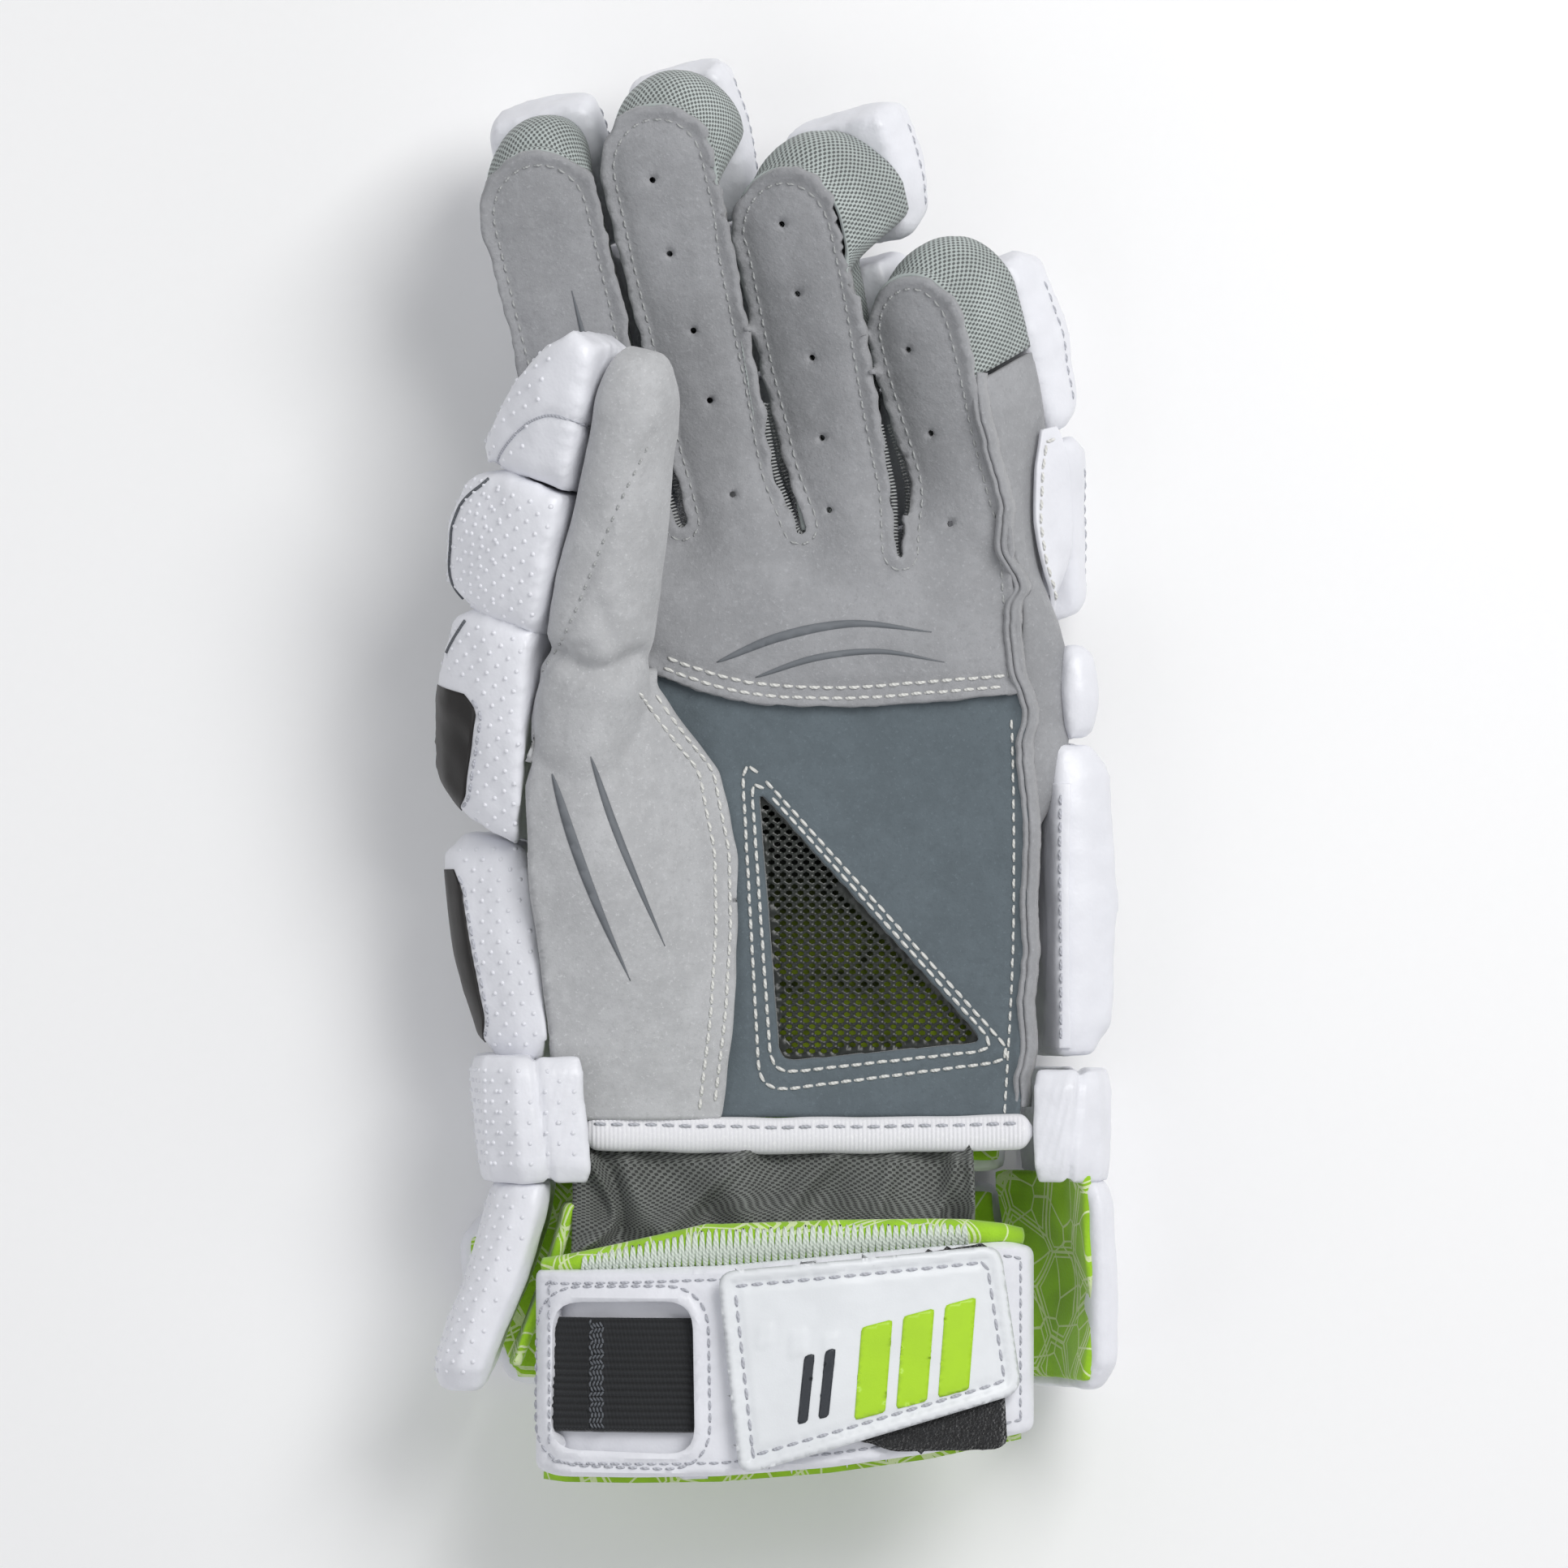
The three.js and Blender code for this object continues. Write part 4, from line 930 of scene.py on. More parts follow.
@dataclass(frozen=True)
class LeatherFinish(Finish):
    """Coated white leather: smooth and faintly grained, with wrinkles and a low gloss."""

    gloss: float = 0.36

    def dress(self, s: Shader) -> None:
        """Builds the nodes."""
        at = s.place()
        grain = s.cells(at, 0.75)
        soft = s.noise(at, 9.0, 3.0)
        wear = s.noise(at, 3.5, 4.0, 0.62)
        tone = s.blend(soft.step(0.35, 0.7), self.base, shade(self.base, 0.95))
        tone = s.blend(wear.step(0.66, 0.8) * 0.3, tone, shade(self.base, 0.86))
        s.set(
            Base_Color=tone,
            Roughness=self.gloss + wear * 0.14,
            Normal=s.bump(grain, 0.03, s.bump(soft, 0.5)),
            Coat_Weight=0.12,
            Coat_Roughness=0.3,
            Specular_IOR_Level=0.5,
        )


@dataclass(frozen=True)
class KnitFinish(Finish):
    """Knitted mesh: offset rows of small round holes in raised threads, on the piece's own UV map, with the holes
    painted dark as painted shade.
    """

    pitch: float = 1.2

    def dress(self, s: Shader) -> None:
        """Builds the nodes."""
        at = s.surface()
        turn = 2 * math.pi / self.pitch
        wave = (at["x"] * turn).sine() * (at["y"] * (turn * 0.58)).sine()
        open_part = wave.step(0.04, 0.34)
        thread = 1 - open_part
        cloud = s.noise(s.place(), 11.0, 3.0)
        fine = s.noise(s.place(), 0.6, 2.0)
        tone = s.blend(cloud.step(0.3, 0.7), shade(self.base, 0.9), shade(self.base, 1.1))
        tone = s.blend(fine.step(0.55, 0.75) * 0.35, tone, shade(self.base, 1.35))
        # Painted shade: the holes are painted nearly black, as the shade seen through them.
        tone = s.blend(open_part * 0.9, tone, shade(self.base, 0.2))
        s.set(Base_Color=tone, Roughness=0.8, Normal=s.bump(thread, 0.8), Sheen_Weight=0.15, Specular_IOR_Level=0.3)


@dataclass(frozen=True)
class LiningFinish(Finish):
    """Bright lining cloth, printed with pairs of pale straight lines in a loose geometric layout."""

    lines: tuple[float, float, float] = (226, 238, 190)

    def dress(self, s: Shader) -> None:
        """Builds the nodes."""
        at = s.place()
        rim = s.cells(at, 17.0, "DISTANCE_TO_EDGE")
        inner = s.cells(at, 9.5, "DISTANCE_TO_EDGE")
        weave = s.noise(at, 0.5, 2.0)
        cloud = s.noise(at, 12.0, 2.0)
        drawn = (rim < 0.018).most((rim > 0.05) * (rim < 0.072)).most(inner < 0.022)
        tone = s.blend(cloud.step(0.3, 0.7), shade(self.base, 0.85), shade(self.base, 1.08))
        tone = s.blend(drawn * 0.85, tone, colour(*self.lines))
        tone = s.blend(weave.step(0.5, 0.8) * 0.2, tone, shade(self.base, 0.6))
        s.set(Base_Color=tone, Roughness=0.85, Normal=s.bump(weave, 0.15), Sheen_Weight=0.3, Specular_IOR_Level=0.25)


@dataclass(frozen=True)
class ShadedFinish(Finish):
    """Cloth deep inside the hand with painted shade: near black, with its colour showing only in its lower part."""

    low: float = -66.0
    high: float = -22.0

    def dress(self, s: Shader) -> None:
        """Builds the nodes."""
        at = s.place()
        patches = s.noise(at, 9.0, 2.0)
        # Painted shade: above a wavy height the cloth is painted near black, and it keeps its colour only below it.
        lit = 1 - (at["y"] + patches * 26 - 13).step(self.low, self.high)
        tone = s.blend(lit * patches.step(0.25, 0.6), (0.006, 0.008, 0.006, 1), self.base)
        s.set(Base_Color=tone, Roughness=0.9)


@dataclass(frozen=True)
class RibbedFinish(Finish):
    """Woven tape or elastic: fine ribs across it, on the piece's own UV map, with painted shade darkening the
    grooves between the ribs.
    """

    rib: float = 1.7
    deep: float = 0.3

    def dress(self, s: Shader) -> None:
        """Builds the nodes."""
        at = s.surface()
        ribs = (at["y"] * (2 * math.pi / self.rib)).sine() * 0.5 + 0.5
        yarn = (at["x"] * (2 * math.pi / 0.9) + at["y"] * 1.2).sine() * 0.5 + 0.5
        fuzz = s.noise(s.place(), 0.7, 3.0)
        # Painted shade: the grooves between the ribs are painted at half brightness.
        tone = s.blend(ribs.step(0.0, 0.6), shade(self.base, 0.5), self.base)
        tone = s.blend(fuzz.step(0.5, 0.8) * 0.5, tone, shade(self.base, 1.7))
        s.set(Base_Color=tone, Roughness=0.82, Normal=s.bump(yarn, 0.1, s.bump(ribs, self.deep)), Sheen_Weight=0.2)


@dataclass(frozen=True)
class FuzzFinish(Finish):
    """The looped pile of a touch fastener."""

    def dress(self, s: Shader) -> None:
        """Builds the nodes."""
        at = s.place()
        pile = s.cells(at, 0.7)
        tuft = s.noise(at, 1.8, 4.0, 0.7)
        tone = s.blend(tuft.step(0.4, 0.75), shade(self.base, 0.6), shade(self.base, 2.2))
        s.set(Base_Color=tone, Roughness=0.95, Normal=s.bump(pile, 0.6, s.bump(tuft, 0.7)), Sheen_Weight=0.5)


@dataclass(frozen=True)
class RubberFinish(Finish):
    """Moulded rubber or a printed film: even and smooth, with a fine skin."""

    gloss: float = 0.38

    def dress(self, s: Shader) -> None:
        """Builds the nodes."""
        at = s.place()
        skin = s.noise(at, 0.5, 2.0)
        cloud = s.noise(at, 8.0, 3.0)
        tone = s.blend(cloud.step(0.3, 0.7), self.base, shade(self.base, 0.95))
        s.set(Base_Color=tone, Roughness=self.gloss + cloud * 0.12, Normal=s.bump(skin, 0.025))


@dataclass(frozen=True)
class ThreadFinish(Finish):
    """Twisted sewing thread, with painted shade darkening the grooves of its twist."""

    def dress(self, s: Shader) -> None:
        """Builds the nodes."""
        at = s.place()
        twist = (at["x"] * 5.5 + at["y"] * 5.0 + at["z"] * 4.0).sine() * 0.5 + 0.5
        # Painted shade: the grooves of the twist are painted darker.
        tone = s.blend(twist, shade(self.base, 0.78), self.base)
        s.set(Base_Color=tone, Roughness=0.6, Normal=s.bump(twist, 0.1), Sheen_Weight=0.1)


class Look(Enum):
    """The finishes of the glove."""

    SUEDE = SuedeFinish("grey suede", "grey_suede", (157, 158, 161))
    # The same grey suede painted lighter: painted light where its nap catches more light.
    THENAR = SuedeFinish("grey suede painted lighter", "grey_suede", (184, 185, 187), 0.35)
    SLATE = SuedeFinish("slate suede", "slate_suede", (98, 108, 114), 0.4)
    LEATHER = LeatherFinish("white leather", "white_leather", (234, 235, 241))
    KNIT = KnitFinish("grey knitted mesh", "grey_mesh", (180, 188, 186))
    GORE = KnitFinish("dark knitted mesh", "grey_mesh", (116, 119, 116))
    NET = RubberFinish("black net", "black_net", (34, 38, 34), 0.3)
    GLOSS = RubberFinish("black gloss", "black_gloss", (27, 24, 23), 0.34)
    ELASTIC = RibbedFinish("black elastic", "black_webbing", (32, 34, 37))
    PILE = FuzzFinish("black pile", "black_webbing", (22, 23, 25))
    RUBBER = RubberFinish("white rubber", "white_rubber", (233, 236, 239))
    TAPE = RibbedFinish("white tape", "white_webbing", (236, 236, 240), 0.9, 0.12)
    LIME = LiningFinish("lime lining", "lime_lining", (158, 208, 44))
    # Lime lining with painted shade: near black except at its lower part.
    SHADED_LIME = ShadedFinish("shaded lime lining", "lime_lining", (196, 226, 60))
    LIME_PRINT = RubberFinish("lime print", "lime_lining", (176, 222, 40))
    GREY_PRINT = RubberFinish("grey print", "grey_suede", (112, 116, 121), 0.6)
    DARK_PRINT = RubberFinish("charcoal print", "black_gloss", (52, 56, 62), 0.4)
    WHITE_THREAD = ThreadFinish("white thread", "white_webbing", (232, 232, 228))
    GREY_THREAD = ThreadFinish("grey thread", "grey_suede", (178, 180, 180))
    DARK_THREAD = ThreadFinish("dark thread", "black_webbing", (100, 104, 110))
    # White thread painted grey: painted shade of the stitch holes and grooves it lies in.
    PALE_THREAD = ThreadFinish("shaded thread", "white_webbing", (192, 194, 202))
    CLEAR_THREAD = ThreadFinish("pale thread", "white_webbing", (226, 236, 224))


class Form(Enum):
    """What kind of soft piece a piece is."""

    RIGID = "rigid"
    SHEET = "sheet"
    PAD = "pad"


# A sheet's cut area is at least this share of its flat box
LEAST_SHARE = 0.31


def surface_area(piece: Piece) -> float:
    """Returns a piece's area in square metres."""
    return sum(p.area for p in piece.data.polygons)


def finish(
    piece: Piece,
    look: Look,
    form: Form = Form.RIGID,
    replaces: Sequence[str] = (),
    area: float = 0.0,
) -> Piece:
    """Dresses a finished mesh and gives it its place in the glove.

    Args:
        piece: the piece, with its final shape.
        look: its finish.
        form: whether it is a sheet, a pad or neither.
        replaces: the model's nodes that it stands for.
        area: a sheet's cut area in square metres.

    Returns:
        The piece.
    """
    activate(piece)
    bpy.ops.object.shade_smooth()
    piece.data.materials.clear()
    piece.data.materials.append(look.value.material())
    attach(piece, BODY)
    if replaces:
        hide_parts(*replaces)
    if form is Form.SHEET:
        size = points_of(piece)
        span = np.sort(size.max(0) - size.min(0))[::-1] * MM
        ratio = max(1.0, 1.02 * area / (span[0] * span[1]))
        if area < LEAST_SHARE * span[0] * span[1]:
            ratio = area / (LEAST_SHARE * span[0] * span[1])
        span[1] * ratio
        span[0]
    LOG.info("%s: %d faces", piece.name, len(piece.data.polygons))
    return piece


def layered(
    name: str, points: Points, faces: Faces, thick: float, uv: Points | None = None
) -> tuple[Piece, float]:
    """Makes a sheet whose wall lies under its faces.

    Args:
        name: the piece's name.
        points: the points of its outer side.
        faces: its faces, which face outwards.
        thick: its thickness.
        uv: a UV place for each point, if it has any.

    Returns:
        The piece, and the area of its outer side in square metres.
    """
    piece = mesh_piece(name, points, faces, uv)
    area = surface_area(piece)
    modify(piece, "SOLIDIFY", thickness=thick * MM, offset=-1.0, use_even_offset=False)
    return piece, area


def grid_sheet(
    name: str, grid: Points, centre: Sequence[float], thick: float, uv: Points | None = None
) -> tuple[Piece, float]:
    """Makes a sheet from rows of points, as layered() does.

    Args:
        name: the piece's name.
        grid: the points of its outer side, as rows and columns.
        centre: a point that the outer side faces away from.
        thick: its thickness.
        uv: a UV place for each point, if it has any.

    Returns:
        The piece, and the area of its outer side in square metres.
    """
    flat = grid.reshape(-1, 3)
    faces = facing_out(flat, grid_faces(*grid.shape[:2]), np.array(centre, float))
    return layered(name, flat, faces, thick, uv)


class Needle:
    """Lays threads, dots and other small repeated shapes, each modelled once."""

    def __init__(self) -> None:
        """Models the stitch and the dot."""
        self.stitch = self._stitch()
        self.dot = self._dot()

    @staticmethod
    def _taken(piece: Piece) -> tuple[Points, Faces]:
        """Returns a small shape's points in metres and its faces, and removes its object."""
        points = points_of(piece) * MM
        faces = [tuple(p.vertices) for p in piece.data.polygons]
        mesh = piece.data
        bpy.data.objects.remove(piece)
        bpy.data.meshes.remove(mesh)
        return points, faces

    def _stitch(self) -> tuple[Points, Faces]:
        """Models a stitch one long and one wide, rising in the middle and dipping at its ends."""
        deselect()
        bpy.ops.mesh.primitive_cylinder_add(vertices=6, radius=0.5, depth=1.0, rotation=(0, math.pi / 2, 0))
        bpy.ops.object.transform_apply(location=True, rotation=True, scale=True)
        bpy.ops.object.mode_set(mode="EDIT")
        shape = bmesh.from_edit_mesh(bpy.context.object.data)
        long_edges = [e for e in shape.edges if abs(e.verts[0].co.x - e.verts[1].co.x) > 0.5]
        bmesh.ops.subdivide_edges(shape, edges=long_edges, cuts=2)
        for v in shape.verts:
            end = abs(v.co.x) * 2
            v.co.y *= 1 - 0.35 * end**4
            v.co.z = v.co.z * (1 - 0.35 * end**4) + 0.35 * (1 - end**2) - 0.15
        bmesh.update_edit_mesh(bpy.context.object.data)
        bpy.ops.object.mode_set(mode="OBJECT")
        return self._taken(bpy.context.object)

    def _dot(self) -> tuple[Points, Faces]:
        """Models a low round dot one wide, whose foot is sunk."""
        deselect()
        bpy.ops.mesh.primitive_cone_add(vertices=10, radius1=0.5, radius2=0.2, depth=0.3)
        bpy.ops.object.mode_set(mode="EDIT")
        shape = bmesh.from_edit_mesh(bpy.context.object.data)
        sides = [e for e in shape.edges if abs(e.verts[0].co.z - e.verts[1].co.z) > 0.2]
        made = bmesh.ops.subdivide_edges(shape, edges=sides, cuts=1)
        for v in made["geom_inner"]:
            if isinstance(v, bmesh.types.BMVert):
                v.co.x *= 1.18
                v.co.y *= 1.18
        bmesh.update_edit_mesh(bpy.context.object.data)
        bpy.ops.object.mode_set(mode="OBJECT")
        return self._taken(bpy.context.object)

    @staticmethod
    def spread(
        name: str, look: Look, shape: tuple[Points, Faces], places: Points, axes: Points, size: Sequence[float]
    ) -> None:
        """Copies a small shape to many places as one finished piece.

        Args:
            name: the piece's name.
            look: its finish.
            shape: the small shape.
            places: where the copies go.
            axes: three directions for each copy.
            size: the copies' three sizes.
        """
        corners, faces = shape
        points = places[:, None, :] + np.einsum("vi,nij->nvj", corners * np.array(size), axes)
        every = []
        for i in range(len(places)):
            every += [tuple(i * len(corners) + k for k in f) for f in faces]
        finish(mesh_piece(name, points.reshape(-1, 3), every), look)

    def sew(
        self,
        name: str,
        look: Look,
        lines: Sequence[tuple[Points, Points]],
        pitch: float = 3.1,
        share: float = 0.78,
        width: float = 0.75,
        proud: float = 0.12,
    ) -> None:
        """Sews stitches along lines that lie on a surface, as one finished piece.

        Args:
            name: the piece's name.
            look: its finish.
            lines: for each line its points, close together, and the surface's directions at them.
            pitch: how far apart the stitches start.
            share: how much of that a stitch is long.
            width: how wide a stitch is.
            proud: how far a stitch stands out.
        """
        places, axes = [], []
        for points, normals in lines:
            gaps = np.linalg.norm(np.diff(points, axis=0), axis=1)
            reach = np.concatenate([[0], np.cumsum(gaps)])
            for start in np.arange(pitch * 0.3, reach[-1] - pitch * 0.8, pitch):
                if gaps[min(np.searchsorted(reach, start), len(gaps) - 1)] > 2.5:
                    continue
                end, middle = start + pitch * share, start + pitch * share / 2
                a, b = (np.array([np.interp(q, reach, points[:, i]) for i in range(3)]) for q in (start, end))
                normal = np.array([np.interp(middle, reach, normals[:, i]) for i in range(3)])
                x = (b - a) / max(np.linalg.norm(b - a), 1e-6)
                y = np.cross(normal, x)
                y /= max(np.linalg.norm(y), 1e-6)
                places.append((a + b) / 2 + np.cross(x, y) * proud)
                axes.append([x, y, np.cross(x, y)])
        self.spread(name, look, self.stitch, np.array(places), np.array(axes), (pitch * share, width, width))

    def stud(
        self, name: str, found: Sequence[tuple[Points, Points]], width: float = 1.3, proud: float = 0.06
    ) -> None:
        """Raises leather dots on surfaces, at lists of places with the surface's directions."""
        places, normals = (np.vstack([pair[i] for pair in found]) for i in (0, 1))
        helper = np.where(np.abs(normals[:, 1:2]) < 0.9, [[0.0, 1.0, 0.0]], [[1.0, 0.0, 0.0]])
        x = unit(np.cross(helper, normals))
        axes = np.stack([x, np.cross(normals, x), normals], 1)
        self.spread(name, Look.LEATHER, self.dot, places + normals * proud, axes, (width, width, 1.6 * width))


def draped(ground: Ground, line: Points) -> tuple[Points, Points]:
    """Returns a line in plan laid on the surface under it, with the surface's directions."""
    places, normals, met = ground.under(line)
    return places[met], normals[met]


# The palm


@dataclass
class Palm:
    """The upper palm with the finger panels, the patch of the lower palm, and the net in its window."""

    needle: Needle
    spacing: float = 1.25
    seam_inset: float = 2.8
    wave: float = 0.85
    hole: float = 0.75
    net_pitch: float = 2.7
    underlap: float = 6.0
    outline: Points = field(init=False)
    upper_count: int = field(init=False)
    front: Ground = field(init=False)

    # The strokes printed on it: their spines in plan and their widths
    STROKES = (
        ([(-13, 24), (2, 30), (19, 33), (37, 31)], 2.1),
        ([(-4, 20.5), (10, 25), (25, 26.5), (40, 24)], 1.5),
        ([(-36, 62), (-39, 78), (-42.5, 94), (-46.5, 110)], 2.2),
        ([(-41, 66), (-44, 79), (-47, 91)], 1.4),
    )

    # The fingers' ventilation holes in plan
    HOLES = (
        (-27.8, 135.3), (-23.9, 118.5), (-18.4, 100.9), (-14.6, 84.8), (-9.3, 63.0),
        (2.1, 125.1), (5.7, 109.2), (9.1, 94.6), (11.4, 76.1), (13.1, 59.4),
        (31.4, 96.4), (36.7, 77.2), (41.3, 56.2),
    )  # fmt: skip

    def build(self) -> None:
        """Makes every piece of the palm."""
        self.outline, self.upper_count = self.front_outline()
        self.make_front()
        self.make_patch()
        self.make_net()
        self.make_net_backing()
        stroked("palm_prints", self.front, self.STROKES)

    @staticmethod
    def panel_side(line: Line, sign: float, start: float = 0.1) -> Points:
        """Returns one side of a finger's panel in plan, from near the palm to its tip."""
        straight = line.length - line.half
        turns = np.radians(np.linspace(0, 90, 10))[1:]
        round_end = straight + line.half * np.sin(turns)
        along = np.concatenate([np.linspace(start * straight, straight, 12), round_end])
        origin, _, _, side, roll = line.frame(along)
        return (origin + side * (sign * line.half_at(along) * np.cos(roll))[:, None])[:, :2]

    @staticmethod
    def ends() -> list[Points]:
        """Returns the two outer ends of the knuckle line, and the places between where the fingers part."""
        first, last = FINGERS["index"], FINGERS["pinky"]
        found = []
        for line, sign in ((first, -1), (last, 1)):
            origin, _, _, side, roll = line.frame(0.0)
            found.append((origin + side * sign * line.half_at(0.0) * np.cos(roll)[:, None])[0, :2])
        middle = [np.array([PALM_OFFSET + a * PALM_WIDTH, KNUCKLE_LINE + up]) for a, up in PARTINGS]
        return [found[0], *middle, found[1]]

    def slit(self, left: Line, right: Line, spot: Points) -> tuple[Points, Points]:
        """Draws the narrow slit between two fingers' panels, whose end is round.

        Args:
            left: the finger on its left.
            right: the finger on its right.
            spot: where the slit ends, in plan.

        Returns:
            The edge of the left finger's panel and of the right one's, from the end of the slit to the tips.
        """
        lean = math.radians(12.5)
        ahead = np.array([-math.sin(lean), math.cos(lean)])
        aside = np.array([math.cos(lean), math.sin(lean)])
        sides = [self.panel_side(left, 1) - spot, self.panel_side(right, -1) - spot]
        ups, outs = [side @ ahead for side in sides], [side @ aside for side in sides]
        top = min(up[11] for up in ups)
        up = np.concatenate([1.6 * (1 - np.cos(np.linspace(0, math.pi / 2, 6))), np.arange(2.4, top, 1.2)])
        a, b = (np.interp(up, ups[i][:12], outs[i][:12]) for i in (0, 1))
        share = smooth(0, 18, up)
        middle = mix(0.0, (a + b) / 2, share)
        half = np.maximum(mix(1.3, (b - a) / 2, share), 0.7) * (1 - quarter(up / 1.6))
        edges = []
        for sign, side_up, side in ((-1, ups[0], sides[0]), (1, ups[1], sides[1])):
            low = spot + up[:, None] * ahead + (middle + sign * half)[:, None] * aside
            edges.append(np.vstack([low, (side + spot)[side_up > top + 1.5]]))
        return edges[0], edges[1]

    def front_outline(self) -> tuple[Points, int]:
        """Draws the edge of the upper palm in plan.

        Returns:
            The closed edge, and how many of its points run over the fingers, before the lower edge.
        """
        ends = self.ends()
        lines = list(FINGERS.values())
        slits = [self.slit(lines[i], lines[i + 1], ends[i + 1]) for i in range(3)]
        rights = [slits[0][0], slits[1][0], slits[2][0], self.panel_side(lines[3], 1)]
        lefts = [self.panel_side(lines[0], -1), slits[0][1], slits[1][1], slits[2][1]]
        path = [np.array([FRONT_EDGE[-1], ends[-1]])]
        for i in (3, 2, 1, 0):
            path += [rights[i], lefts[i][-2::-1]]
        path.append(np.array([ends[0], FRONT_EDGE[0]]))
        upper = resample(np.vstack(path), 1.0)
        lower = curved(FRONT_EDGE, 1.0)
        return np.vstack([upper[:-1], lower[:-1]]), len(upper) - 1

    def waved(self) -> Points:
        """Returns the edge with the waves that the stitching draws into it."""
        share = self.wave * lumps(self.outline, (1, 6.5, 3), (0.7, 3.4, 8))
        share[self.upper_count :] *= 0.4
        normal = offset_loop(self.outline, 1.0) - self.outline
        return self.outline + normal * share[:, None]

    def make_front(self) -> None:
        """Makes the suede of the upper palm and the fingers, with its stitches."""
        edge_line = self.waved()
        seam = offset_loop(self.outline, -self.seam_inset)
        upper = seam[3 : self.upper_count - 3]
        rows = [offset_loop(self.outline, -inset)[self.upper_count + 2 : -2] for inset in (1.8, 4.4)]
        turns = np.linspace(0, 2 * math.pi, 9)[:-1]
        circle = np.column_stack([np.cos(turns), np.sin(turns)]) * self.hole
        holes = [np.array(spot) + circle for spot in self.HOLES]
        plan, faces = cut_flat([edge_line, *holes], self.spacing)
        to_edge, to_seam = distance(plan, edge_line), distance(plan, np.vstack([upper, *rows]))
        to_hole = distance(plan, np.array(self.HOLES))
        height = front_height(plan)
        height += 0.9 * smooth(2.4, 9.5, to_edge) * mix(0.4, 1, smooth(30, 60, plan[:, 1]))
        height -= 0.6 * bell(to_seam, 1.0) + 0.45 * bell(to_hole, 1.5)
        height += lumps(plan, (1.0, 21, 0), (0.4, 8, 3), (0.1, 3.2, 5))
        for spot in self.ends():
            to_hollow = np.linalg.norm((plan - spot + [3.0, 7.0]) / [8.0, 6.0], axis=1)
            height -= 1.7 * bell(to_hollow, 1.0) * smooth(1.0, 5.0, to_edge)
        lip = 1 - smooth(0.4, self.seam_inset, to_edge)
        height += lip * (0.55 + 0.6 * rough(plan, 4.5, 9))
        front, area = layered("palm_front_suede", np.column_stack([plan, height]), faces, SUEDE)
        self.front = Ground(front)
        finish(front, Look.SUEDE, Form.SHEET, ["palm_front"], area)
        grey, *pale = (draped(self.front, resample(row, THREAD_STEP)) for row in (upper, *rows))
        self.needle.sew("finger_stitches", Look.GREY_THREAD, [grey], 2.9, 0.7, 0.55, 0.02)
        self.needle.sew("front_edge_stitches", Look.WHITE_THREAD, pale, 3.1, 0.8, 0.85)
        self.overlock()

    def overlock(self) -> None:
        """Sews the short threads that bind the mesh round the ends of the slits."""
        ends, lines = self.ends(), list(FINGERS.values())
        places, axes = [], []
        for i in range(3):
            left, right = self.slit(lines[i], lines[i + 1], ends[i + 1])
            path = resample(np.vstack([left[30::-1], right[1:31]]), THREAD_STEP)
            along = unit(np.gradient(path, axis=0))
            into = np.column_stack([-along[:, 1], along[:, 0]])
            height = front_height(path + into * -1.5) - 2.0 - 0.5 * (np.arange(len(path)) % 2)
            for spot, z, way in zip(path + into * 0.35, height, into):
                x = unit(np.array([way[0], way[1], -0.8]))
                y = np.array([-way[1], way[0], 0.0])
                places.append([spot[0], spot[1], z])
                axes.append([x, y, np.cross(x, y)])
        thread = (np.array(places), np.array(axes), (2.0, 0.5, 0.5))
        self.needle.spread("slit_overlock", Look.GREY_THREAD, self.needle.stitch, *thread)

    @staticmethod
    def window(margin: float, step: float = 1.0) -> Points:
        """Returns the edge of the window in plan, with round corners, grown outwards by a margin."""
        corners = np.array(WINDOW)
        grown = corners + unit(corners - corners.mean(0)) * margin * 1.6
        return rounded(grown, 4.5 + margin * 0.4, step, 7)

    def patch_outline(self) -> Points:
        """Returns the edge of the lower palm's patch in plan."""
        ups = np.linspace(HEM_Y, 26, 40)
        left = np.column_stack([line_at(THENAR_EDGE, ups) - self.underlap, ups])
        right_ups = np.linspace(HEM_Y, 18, 40)
        right = np.column_stack([line_at(SEAM_EDGE, right_ups), right_ups])
        top = curved(FRONT_EDGE, 2.0) + np.array([0, self.underlap])
        top = top[(top[:, 0] > left[-1, 0] + 1) & (top[:, 0] < right[-1, 0] - 1)]
        loop = resample(np.vstack([right, top[::-1], left[::-1]]), 1.0, True)
        at_seam = bell(loop[:, 0] - line_at(SEAM_EDGE, loop[:, 1]), 1.5)
        reach = np.arange(len(loop))
        return loop + on_line(at_seam * 0.5 * np.sin(reach / 2.1) * np.sin(reach / 5.3 + 1))

